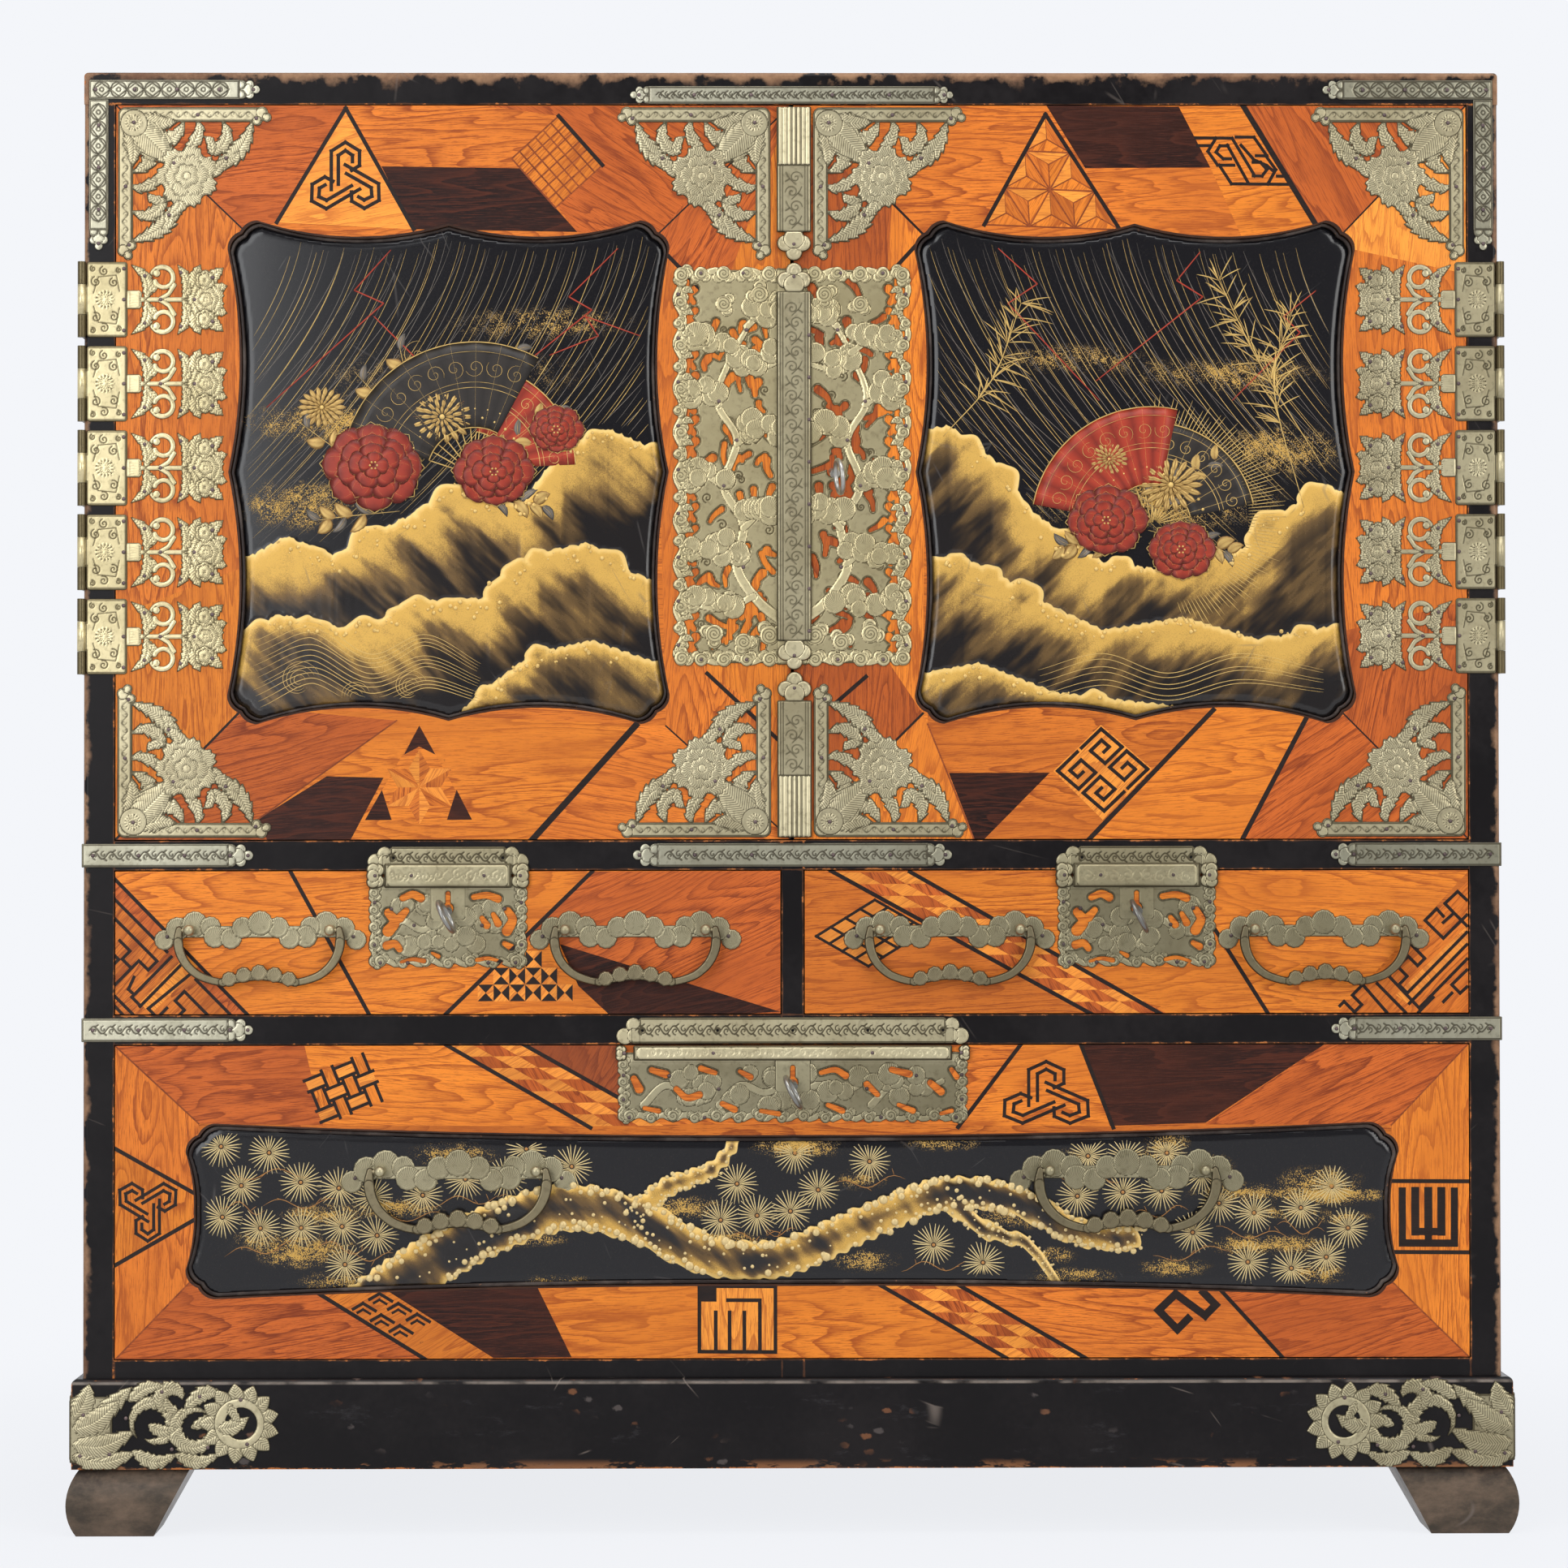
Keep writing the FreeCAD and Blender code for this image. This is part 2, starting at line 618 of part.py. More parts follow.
# ---- doors ----
def mitred_frame(x0, x1, z0, z1, opening):
    """A door's four members, mitred at the corners, round an opening of any outline."""
    board = block(x0, x1, 0, door_board, z0, z1)
    board = board.cut(opening)
    mid_x = (x0 + x1) / 2
    run = (x1 - x0) / 2

    def member(corners):
        points = [vec(x, -1, z) for x, z in corners + corners[:1]]
        wedge = Part.Face(Part.makePolygon(points)).extrude(vec(0, door_board + 2, 0))
        return board.common(wedge).Solids

    left = [(x0, z0), (x0, z1), (mid_x, z1 - run), (mid_x, z0 + run)]
    right = [(x1, z0), (x1, z1), (mid_x, z1 - run), (mid_x, z0 + run)]
    high = [(x0, z1), (x1, z1), (mid_x, z1 - run)]
    low = [(x0, z0), (x1, z0), (mid_x, z0 + run)]
    return [solid for corners in (left, high, right, low) for solid in member(corners)]


def door_corner_mount():
    """Triangular openwork mount; its corner is at x = 0, z = 0 and its legs run to +X and -Z."""
    size = door_mount
    pieces = [bar(0, -band / 2, size - 8, -band / 2, band), bar(band / 2, 0, band / 2, -size + 8, band)]
    pieces += [disc(size - 11, -band * 0.85, 5.5), disc(band * 0.85, -size + 11, 5.5)]
    pieces.append(slab(outline((8, -8), [(26, -8), (28, -13), (13, -28), (8, -26), (8, -8)]), -plate, 0))
    middle = size * 0.455
    pieces.append(disc(middle, -middle, 15))
    for shift in (-9, 9):
        pieces.append(disc(middle + shift, -middle + shift, 9.5))
    for way in (0, 1):
        def put(x, z, x1, z1, width):
            ends = (x, -z, x1, -z1) if way == 0 else (z, -x, z1, -x1)
            pieces.append(bar(*ends, width))
        put(24, 20, 40, 8, 6)
        put(50, 32, 63, 8, 6)
        put(56, 32, 72, 25, 6)
        put(70, 27, 84, 10, 7)
        put(52, 40, 66, 33, 5)
        put(66, 35, 71, 23, 5)
    pieces.append(bar(22, -22, middle, -middle, 5))
    return joined(pieces)


def escutcheon():
    """Cloud-bordered openwork plate beside the meeting edge; x = 0 is that edge, the plate lies at +X."""
    width = escutcheon_width
    half = escutcheon_height / 2
    pieces = [block(meeting_gap / 2 + 0.5, 20, -plate, 0, -half + 4, half - 4)]
    rows = int(escutcheon_height // 22)
    for row in range(rows + 1):
        z = -half + 7 + row * (escutcheon_height - 14) / rows
        swing = 2.5 if row % 2 else 0.0
        pieces.append(disc(width - 8 - swing, z, 7))
    pieces.append(bar(width - 9, -half + 7, width - 9, half - 7, 5))
    for way in (-1, 1):
        for x in (22, 36, 50):
            pieces.append(disc(x, way * (half - 7), 7))
        pieces.append(bar(10, way * (half - 7), width - 9, way * (half - 7), 6))
    pieces.append(slab(outline((10, half - 85), [(width - 14, half - 85), (width - 32, half - 45),
                                                (width - 42, half - 38), (10, half - 38), (10, half - 85)]),
                       -plate, 0))
    for x, z, radius in ((28, 25, 13), (46, 12, 14), (30, -5, 15), (50, -24, 13),
                         (32, -40, 14), (44, -62, 14), (28, -80, 13), (46, -98, 13)):
        pieces.append(disc(x, z, radius))
    return joined(pieces)


def meeting_strip(z0, z1, seat, lobes_low, lobes_high):
    """One length of the moulded strip on the right door that covers the gap between the doors."""
    x0 = -strip_lap
    x1 = strip_width - strip_lap
    front = -plate - strip_thickness
    finial = 20.0
    low = z0 + (finial if lobes_low else 0)
    high = z1 - (finial if lobes_high else 0)
    pieces = [block(x0, x1, front, -plate - wrap_gap, low, high)]
    mid = (x0 + x1) / 2
    for on, edge, way in ((lobes_low, low, -1), (lobes_high, high, 1)):
        if on:
            pieces.append(disc(mid, edge + way * 9.5, 10.5, front, -plate - wrap_gap))
    pieces.append(block(meeting_gap / 2 + 0.5, x1 - 0.5, front + 0.5, seat, low, high))
    return joined(pieces)


def build_doors():
    outer = opening_half - leaf_gap
    inner = meeting_gap / 2
    z0 = door_floor + leaf_gap
    z1 = door_top - leaf_gap
    pocket, lock_case, bolt, door_key, mortise = door_lock()
    hole = key_hole(door_key_side, door_middle + door_key_rise, door_key_lean)

    panel_x = (outer + inner) / 2 + panel_shift
    lip, panel = panel_set(panel_half_width, panel_half_height, panel_x, door_middle)
    opening = slab(cartouche(panel_half_width, panel_half_height), -1, door_board + 1)
    opening.translate(vec(panel_x, 0, door_middle))

    right = [solid.cut(pocket) for solid in mitred_frame(inner, outer, z0, z1, opening)]
    left = [mirrored(solid) for solid in mitred_frame(inner, outer, z0, z1, opening)]
    left = [solid.cut(mortise) for solid in left]
    nodes["left_door_frame"] = group([piece for solid in left for piece in solid.Solids])
    nodes["right_door_frame"] = group([piece for solid in right for piece in solid.Solids])
    for side, turn in (("left", mirrored), ("right", lambda shape: shape.copy())):
        nodes[side + "_door_panel"] = turn(panel)
        nodes[side + "_door_lip"] = turn(lip)

    # four corner mounts and the plate beside the meeting edge
    corner = door_corner_mount()
    upside = corner.mirror(vec(0, 0, 0), vec(0, 0, 1))
    reach = 1.0
    mounts = [moved(corner, inner + strip_width - strip_lap, 0, z1 - reach)]
    mounts.append(moved(upside, inner + strip_width - strip_lap, 0, z0 + reach))
    mounts.append(moved(mirrored(corner), outer - reach, 0, z1 - reach))
    mounts.append(moved(mirrored(upside), outer - reach, 0, z0 + reach))
    cover = moved(escutcheon(), z=door_middle + door_key_rise - 0.6)
    nodes["left_door_mounts"] = group([mirrored(piece) for piece in mounts + [cover]])
    nodes["right_door_mounts"] = group(mounts + [cover.cut(hole)])

    middle_low = door_middle + door_key_rise - 0.6 - escutcheon_height / 2
    middle_high = middle_low + escutcheon_height
    strips = [meeting_strip(middle_high + strip_gap, z1 - reach, 0, True, False)]
    strips.append(meeting_strip(middle_low, middle_high, -plate, True, True))
    strips.append(meeting_strip(z0 + reach, middle_low - strip_gap, 0, False, True))
    nodes["meeting_strips"] = group(strips)
    nodes["door_lock_case"] = lock_case
    nodes["door_bolt"] = bolt
    nodes["door_key"] = door_key


# ---- drawers ----
def pull_plate(size):
    """Backplate of overlapping pine tufts; x = 0 is its middle and z = 0 the height of the posts."""
    lobes = [(0, 4.3, 7.6)]
    for way in (-1, 1):
        lobes += [(way * 10.9, 1.6, 6.6), (way * 18, -5.0, 6.6), (way * 28, -4.0, 6.9)]
        lobes += [(way * 30.6, 2.0, 6.4), (way * 40.2, 3.8, 7.8), (way * 50.8, 0.8, 7.2), (way * 58.8, -6.0, 6.2)]
    pieces = [disc(x * size, z * size, radius * size) for x, z, radius in lobes]
    pieces.append(bar(-54 * size, -1 * size, 54 * size, -1 * size, 8 * size))
    return joined(pieces)


def post():
    """Stud through the backplate with a round head, bored along X for the bail's pin."""
    stem = Part.makeCylinder(post_radius, post_reach - plate, vec(0, -post_reach, 0), vec(0, 1, 0))
    head = Part.makeSphere(post_head, vec(0, -post_reach, 0))
    nut = Part.makeCylinder(post_head, 1.6, vec(0, -plate - 1.6, 0), vec(0, 1, 0))
    bore = Part.makeCylinder(bail_pin + running_fit, 4 * post_head, vec(-2 * post_head, -post_reach, 0), vec(1, 0, 0))
    return joined([stem, head, nut]).cut(bore)


def bail(size):
    """Flat bail with a scalloped grip, hanging from its two pins; z = 0 is the pin axis."""
    half_span = post_half_span * size
    eye = half_span + post_head + 0.3
    out = eye + 2.8
    s = size
    grip = 22 * s
    start = (-out, 1.5)
    steps = [((-52.8 * s, -13 * s), (-44 * s, -25 * s)), (-31 * s, -29.5 * s), (-grip, -34 * s),
             ((0, -30.5 * s), (grip, -34 * s)), (31 * s, -29.5 * s), (44 * s, -25 * s),
             ((52.8 * s, -13 * s), (out, 1.5)), (eye, 1.5),
             ((46.8 * s, -13 * s), (40 * s, -20.5 * s)), (28 * s, -25.5 * s), (grip, -28 * s),
             ((0, -25.5 * s), (-grip, -28 * s)), (-28 * s, -25.5 * s), (-40 * s, -20.5 * s),
             ((-46.8 * s, -13 * s), (-eye, 1.5)), start]
    front = -post_reach - bail_thickness / 2
    back = -post_reach + bail_thickness / 2
    pieces = [slab(outline(start, steps), front, back)]
    for x, z, radius in ((0, -26.0, 5.0), (9, -26.8, 4.6), (17.5, -28.6, 4.2)):
        for way in ((-1, 1) if x else (1,)):
            pieces.append(disc(way * x * s, z * s, radius * s, front, back))
    for way in (-1, 1):
        tip = half_span - post_head * 0.6
        base = vec(way * tip, -post_reach, 0)
        pieces.append(Part.makeCylinder(bail_pin, eye + 1 - tip, base, vec(way, 0, 0)))
    return joined(pieces)


def lock_cover(x, top, width, height):
    """Openwork plate under a drawer's raised strip, scalloped at its sides and foot."""
    high = top - 1.0
    low = high - height
    pieces = [block(x - width * 0.22, x + width * 0.22, -plate, 0, low + 5, high)]
    pieces.append(block(x - width / 2 + 2, x + width / 2 - 2, -plate, 0, high - 8, high))
    lobes = max(3, int(width // 16))
    for number in range(lobes + 1):
        across = x - width / 2 + 6 + number * (width - 12) / lobes
        pieces.append(disc(across, low + 6, 6))
        pieces.append(disc(across, low + 6 + 0.42 * height, 6))
    for row in (low + 6, low + 6 + 0.42 * height):
        pieces.append(bar(x - width / 2 + 6, row, x + width / 2 - 6, row, 5))
    for way in (-1, 1):
        edge = x + way * (width / 2 - 5)
        pieces.append(bar(edge, low + 6, edge, high - 4, 6))
    return joined(pieces)


def raised_strip(x, low, high, opening_top, width):
    """Moulded strip over the lock; where it passes the rail above, it clears the keeper plate."""
    front = -plate - strip_thickness
    whole = block(x - width / 2, x + width / 2, front, -plate, low, high)
    relief = block(x - width / 2 - 1, x + width / 2 + 1, -plate - wrap_gap, 0, opening_top - leaf_gap, high + 1)
    return whole.cut(relief)


def build_drawer(name, x, width, floor, top, pull_spread, pull_rise, pull_size, lock_width, lock_height_here,
                 strip_height, strip_over, panel=None):
    half = width / 2 - leaf_gap
    z0 = floor + leaf_gap
    z1 = top - leaf_gap
    pocket, lock_case, bolt, drawer_key = drawer_lock(x, top)
    front = block(x - half, x + half, 0, drawer_front, z0, z1)
    if panel:
        panel_z = (floor + top) / 2 - long_panel_drop
        shape = dict(cusps=False, top_dip=7.5, side_dip=5.0)
        recess = slab(cartouche(long_panel_half_width, long_panel_half_height, **shape), -1, long_panel_recess)
        front = front.cut(moved(recess, x, 0, panel_z))
        lip, body = panel_set(long_panel_half_width, long_panel_half_height, x, panel_z,
                              recess=long_panel_recess, **shape)
        nodes[name + "_panel"] = group([body, lip])
    front = front.cut(pocket)
    nodes[name + "_front"] = front

    box_low = floor + slide_gap
    box_high = z1 - 4
    left = block(x - half, x - half + drawer_side, drawer_front, drawer_rear, box_low, box_high)
    right = moved(left, 2 * half - drawer_side)
    rear = block(x - half + drawer_side, x + half - drawer_side, drawer_rear - drawer_side, drawer_rear,
                 box_low + drawer_floor, box_high)
    base = block(x - half + drawer_side, x + half - drawer_side, drawer_front, drawer_rear,
                 box_low, box_low + drawer_floor)
    nodes[name + "_box"] = group([left, right, rear, base])

    hole = key_hole(x, top - key_drop, 0)
    strip_low = top + strip_over - strip_height
    pieces = [lock_cover(x, min(strip_low + 6, z1), lock_width, lock_height_here + 5).cut(hole)]
    pieces.append(raised_strip(x, strip_low, top + strip_over if strip_over else z1, top, lock_width + 1))
    pull_z = (floor + top) / 2 + pull_rise
    backplate = pull_plate(pull_size)
    stud = post()
    handle = bail(pull_size)
    base_y = long_panel_face if panel else 0.0
    for way, side in ((-1, "left"), (1, "right")):
        pull_x = x + way * pull_spread / 2
        pieces.append(moved(backplate, pull_x, base_y, pull_z))
        for hand in (-1, 1):
            pieces.append(moved(stud, pull_x + hand * post_half_span * pull_size, base_y, pull_z))
        nodes[name + "_" + side + "_bail"] = moved(handle, pull_x, base_y, pull_z)
    nodes[name + "_mounts"] = group(pieces)
    nodes[name + "_lock_case"] = lock_case
    nodes[name + "_bolt"] = bolt
    nodes[name + "_key"] = drawer_key


def build_drawers():
    for name, x in (("left_drawer", -small_centre), ("right_drawer", small_centre)):
        build_drawer(name, x, small_width, small_floor, small_top, small_pull_spread, small_pull_rise, 1.0,
                     small_lock_width, small_lock_height, small_strip_height, lock_strip_lap)
    build_drawer("long_drawer", 0.0, 2 * opening_half, long_floor, long_top, long_pull_spread, long_pull_rise,
                 long_pull_scale, long_lock_width, long_lock_height, long_strip_height, 0.0, panel=True)


# ---- nails ----
def nail(x, z, front=-plate):
    return Part.makeSphere(nail_radius, vec(x, front - nail_proud + nail_radius, z)).common(
        Part.makeBox(8, nail_proud + 1, 8, vec(x - 4, front - nail_proud - 1, z - 4)))


def build_nails():
    door_nails = []
    for number in range(hinge_count):
        z = hinge_level(number)
        face = -half_case + leaf_width
        places = [(face - 1.5, 0), (face - 1.5, 18.5), (face - 1.5, -18.5), (face + 21, 0), (face + 44, 0)]
        door_nails += [nail(x, z + dz) for x, dz in places]
    inner = meeting_gap / 2
    z0 = door_floor + leaf_gap + 1.0
    z1 = door_top - leaf_gap - 1.0
    outer = opening_half - leaf_gap - 1.0
    near = inner + strip_width - strip_lap
    for x, way_x in ((-outer, 1), (-near, -1)):
        for z, way_z in ((z1, -1), (z0, 1)):
            for dx, dz in ((9, 9), (48, 5), (84, 8), (5, 48), (8, 84)):
                door_nails.append(nail(x + way_x * dx, z + way_z * dz))
    nodes["left_door_nails"] = group(door_nails)
    nodes["right_door_nails"] = group([mirrored(one) for one in door_nails])
    case_nails = []
    for z in (small_top + rail_height / 2, long_top + rail_height / 2):
        for x in (14, 56, 92):
            case_nails.append(nail(-half_case + x, z))
    for step in (30, 70):
        case_nails.append(nail(-half_case + edge_round + step, case_top - edge_round - 2 - case_mount_band / 2))
        case_nails.append(nail(-half_case + edge_round + case_mount_band / 2, case_top - edge_round - 2 - step))
    for x in (32, 78):
        case_nails.append(nail(-x, small_top + rail_height / 2))
        case_nails.append(nail(-x, door_top + top_strap_height / 2))
    nodes["case_nails"] = group(case_nails + [mirrored(one) for one in case_nails])


build_case()
build_stand()
build_case_metal()
build_hinges()
build_doors()
build_drawers()
build_nails()

whole = Part.makeCompound(list(nodes.values()))
box = whole.optimalBoundingBox(False, False)
to_origin = -(box.YMin + box.YMax) / 2
for name, shape in nodes.items():
    moved(shape, y=to_origin).exportStep("parts/" + name + ".step")
print("nodes", len(nodes), "front face at y =", round(to_origin, 3))
print("width", round(box.XLength, 2), "depth", round(box.YLength, 2), "height", round(box.ZLength, 2))
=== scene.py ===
import bpy
import math
import numpy as np
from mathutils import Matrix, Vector, geometry


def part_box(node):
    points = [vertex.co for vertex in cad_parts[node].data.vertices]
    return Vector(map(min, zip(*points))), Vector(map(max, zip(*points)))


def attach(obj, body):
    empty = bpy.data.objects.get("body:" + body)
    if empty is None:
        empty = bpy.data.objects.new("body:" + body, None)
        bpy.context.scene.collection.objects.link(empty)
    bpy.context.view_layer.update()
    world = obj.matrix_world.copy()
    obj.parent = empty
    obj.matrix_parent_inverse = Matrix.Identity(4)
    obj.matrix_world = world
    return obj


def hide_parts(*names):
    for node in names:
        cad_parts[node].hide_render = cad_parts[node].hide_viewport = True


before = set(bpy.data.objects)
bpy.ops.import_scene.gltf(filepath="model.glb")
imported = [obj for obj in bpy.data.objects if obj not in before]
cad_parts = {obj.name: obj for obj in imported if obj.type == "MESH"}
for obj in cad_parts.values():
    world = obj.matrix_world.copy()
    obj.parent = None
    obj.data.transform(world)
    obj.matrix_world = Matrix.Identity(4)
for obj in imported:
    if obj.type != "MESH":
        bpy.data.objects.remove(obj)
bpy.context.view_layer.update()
mm = 0.001
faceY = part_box("left_door_frame")[0].y      # the front face of the case and the doors
materials = {}


# node helpers
class Wire:
    # One output of a node. Sums, products and powers of wires make Math nodes in their tree.

    def __init__(self, tree, socket):
        self.tree, self.socket = tree, socket

    def __abs__(self):
        return calc("ABSOLUTE", self)


for sign, operation in (("add", "ADD"), ("sub", "SUBTRACT"), ("mul", "MULTIPLY"), ("truediv", "DIVIDE"),
                        ("pow", "POWER")):
    setattr(Wire, "__" + sign + "__", lambda self, other, kind=operation: calc(kind, self, other))
    setattr(Wire, "__r" + sign + "__", lambda self, other, kind=operation: calc(kind, other, self))


class Wires:
    # A node's outputs, by number or name.

    def __init__(self, tree, sockets):
        self.tree, self.sockets = tree, sockets

    def __getitem__(self, key):
        return Wire(self.tree, self.sockets[key])


def join(wire, socket):
    wire.tree.links.new(wire.socket, socket)


def put(tree, kind, sockets=None, **settings):
    # A node with its settings, and its inputs set or linked; returns its outputs.
    made = tree.nodes.new(kind)
    for key, value in settings.items():
        setattr(made, key, value)
    for key, value in (sockets or {}).items():
        if isinstance(value, Wire):
            join(value, made.inputs[key])
        else:
            made.inputs[key].default_value = value
    return Wires(tree, made.outputs)


def calc(operation, a, b=0.0, clamp=False):
    tree = (a if isinstance(a, Wire) else b).tree
    return put(tree, "ShaderNodeMath", {0: a, 1: b}, operation=operation, use_clamp=clamp)[0]


def highest(a, b):
    return calc("MAXIMUM", a, b)


def lowest(a, b):
    return calc("MINIMUM", a, b)


def blendColour(factor, a, b, mode="MIX"):
    tree = next(value.tree for value in (factor, a, b) if isinstance(value, Wire))
    return put(tree, "ShaderNodeMix", {0: factor, 6: a, 7: b}, data_type="RGBA", blend_type=mode)[2]


def between(value, low, high, smooth=True):
    # 0 below low and 1 above high.
    kind = "SMOOTHSTEP" if smooth else "LINEAR"
    return put(value.tree, "ShaderNodeMapRange", {0: value, 1: low, 2: high, 3: 0.0, 4: 1.0},
               interpolation_type=kind)[0]


def noise(vector, scale, detail=3.0, rough=0.5, distortion=0.0):
    return put(vector.tree, "ShaderNodeTexNoise", {"Vector": vector, "Scale": scale, "Detail": detail,
                                                   "Roughness": rough, "Distortion": distortion})[0]


def stretched(vector, scale, place=(0, 0, 0), turn=(0, 0, 0)):
    return put(vector.tree, "ShaderNodeMapping", {"Vector": vector, "Scale": scale, "Location": place,
                                                  "Rotation": turn})[0]


def attribute(place, name, output="Fac"):
    return put(place.tree, "ShaderNodeAttribute", attribute_name=name)[output]


def axesOf(vector):
    return put(vector.tree, "ShaderNodeSeparateXYZ", {0: vector})


def newGroup(name, inputs, outputs):
    group = bpy.data.node_groups.new(name, "ShaderNodeTree")
    for label, kind, value in inputs:
        socket = group.interface.new_socket(name=label, in_out="INPUT", socket_type="NodeSocket" + kind)
        if value is not None:
            socket.default_value = value
    for label in outputs:
        group.interface.new_socket(name=label, in_out="OUTPUT", socket_type="NodeSocketFloat")
    inner = Wires(group, group.nodes.new("NodeGroupInput").outputs)
    return group, inner, group.nodes.new("NodeGroupOutput").inputs


def placeGroup(group, **sockets):
    return put(sockets["Vector"].tree, "ShaderNodeGroup", sockets, node_tree=group)


def newMaterial(name, **fixed):
    # A material with one Principled shader; returns the shader and Object coordinates.
    material = bpy.data.materials.new(name)
    material.use_nodes = True
    tree = material.node_tree
    shader = tree.nodes["Principled BSDF"]
    for key, value in fixed.items():
        shader.inputs[key.replace("_", " ")].default_value = value
    materials[name] = material
    return shader, put(tree, "ShaderNodeTexCoord")["Object"]


def finishShader(shader, colour, rough, height, strength, distance):
    # Links the colour, the roughness and a bump of this height.
    join(colour, shader.inputs["Base Color"])
    if rough:
        join(rough, shader.inputs["Roughness"])
    bump = put(height.tree, "ShaderNodeBump", {"Height": height, "Strength": strength, "Distance": distance})
    join(bump[0], shader.inputs["Normal"])


# shared effects
def edgeGroup():
    # Distance in mm from the nearest edge of a board: of the distances to its three pairs of faces the middle one.
    group, ins, outs = newGroup("boardEdge", [("Vector", "Vector", None), ("Centre", "Vector", None),
                                              ("Half", "Vector", None)], ["Distance"])
    away = put(group, "ShaderNodeVectorMath", {0: ins["Vector"], 1: ins["Centre"]}, operation="SUBTRACT")[0]
    away = put(group, "ShaderNodeVectorMath", {0: away}, operation="ABSOLUTE")[0]
    away = put(group, "ShaderNodeVectorMath", {0: away, 1: ins["Half"]}, operation="SUBTRACT")[0]
    away = put(group, "ShaderNodeVectorMath", {0: away}, operation="ABSOLUTE")[0]
    part = axesOf(away)
    low = lowest(part[0], part[1])
    high = highest(part[0], part[1])
    middle = highest(low, lowest(high, part[2]))
    join(middle * 1000.0, outs["Distance"])
    return group


def wearGroup():
    # Worn band and chips beside an edge. The band fades out over Width mm, and the chips break its rim by noise.
    group, ins, outs = newGroup("edgeWear", [("Vector", "Vector", None), ("Distance", "Float", 0.0),
                                             ("Width", "Float", 2.0), ("Chips", "Float", 0.5)],
                                ["Rub", "Chip"])
    rough = noise(ins["Vector"], 55.0, 4.0, 0.6)
    fine = noise(ins["Vector"], 420.0, 2.0)
    reach = ins["Width"] * between(rough, 0.25, 0.75)
    share = ins["Distance"] / (reach + 0.05)
    join(1.0 - between(share, 0.35, 1.5), outs["Rub"])
    gate = rough * 0.7 + fine * 0.45
    near = 1.0 - between(ins["Distance"], 0.2, 2.6)
    chip = between(gate + near * ins["Chips"], 1.0, 1.06)
    join(chip, outs["Chip"])
    return group


def scratchGroup():
    # Fine scratches: cell borders of stretched cells, kept only where a coarse noise is high.
    group, ins, outs = newGroup("scratches", [("Vector", "Vector", None), ("Amount", "Float", 0.5)],
                                ["Mask"])
    total = None
    for turn, scale in ((0.5, 26.0), (-0.8, 34.0), (1.3, 22.0)):
        lean = stretched(stretched(ins["Vector"], (1.0, 1.0, 1.0), turn=(0, turn, 0)), (1.0, 1.0, 0.2))
        cells = put(group, "ShaderNodeTexVoronoi", {"Vector": lean, "Scale": scale}, feature="DISTANCE_TO_EDGE")[0]
        thin = 1.0 - between(cells, 0.0, 0.012)
        kept = between(noise(ins["Vector"], scale * 0.9, 2.0), 0.62, 0.7)
        line = thin * kept
        total = line if total is None else highest(total, line)
    join(total * ins["Amount"], outs["Mask"])
    return group


def woodGroup():
    # Figured wood. Vector is in cm, X along the grain. Figure lines are level lines of a noise stretched along the
    # grain, which gives flames and ovals; fibres are a much finer noise stretched 40 times.
    group, ins, outs = newGroup("woodFigure", [("Vector", "Vector", None), ("Rings", "Float", 9.0)],
                                ["Figure", "Fibre", "Broad"])
    slow = noise(stretched(ins["Vector"], (0.045, 0.3, 1.0)), 1.0, 2.0, 0.45, 0.25)
    slow = slow + noise(stretched(ins["Vector"], (0.4, 2.6, 1.0)), 1.0, 2.0) * 0.025
    rings = calc("FRACT", slow * ins["Rings"])
    saw = rings ** 3.4
    fall = between(rings, 0.94, 1.0)
    figure = saw * (1.0 - fall)
    # pores: short dark dashes, most of them in the late wood of each ring
    pores = noise(stretched(ins["Vector"], (0.75, 15.0, 1.0)), 1.0, 3.0, 0.7)
    fine = noise(stretched(ins["Vector"], (0.35, 34.0, 1.0), place=(5, 2, 0)), 1.0, 3.0, 0.6)
    dashes = between(pores + figure * 0.12, 0.52, 0.61)
    fibre = dashes * 0.7 + between(fine, 0.42, 0.66) * 0.3
    broad = noise(stretched(ins["Vector"], (0.06, 0.25, 1.0), place=(3, 7, 1)), 1.0, 2.0)
    join(figure, outs["Figure"])
    join(fibre, outs["Fibre"])
    join(broad, outs["Broad"])
    return group


def grimeGroup():
    # Dust and dullness: coarse clouds broken by fine grain.
    group, ins, outs = newGroup("grime", [("Vector", "Vector", None), ("Scale", "Float", 1.0)], ["Mask"])
    near = put(group, "ShaderNodeVectorMath", {0: ins["Vector"], 3: ins["Scale"]}, operation="SCALE")[0]
    coarse = noise(near, 14.0, 5.0, 0.62)
    fine = noise(near, 260.0, 3.0, 0.6)
    mixed = coarse * 0.75 + fine * 0.25
    join(between(mixed, 0.4, 0.68), outs["Mask"])
    return group


boardEdge, edgeWear, scratches, woodFigure, grime = edgeGroup(), wearGroup(), scratchGroup(), woodGroup(), grimeGroup()


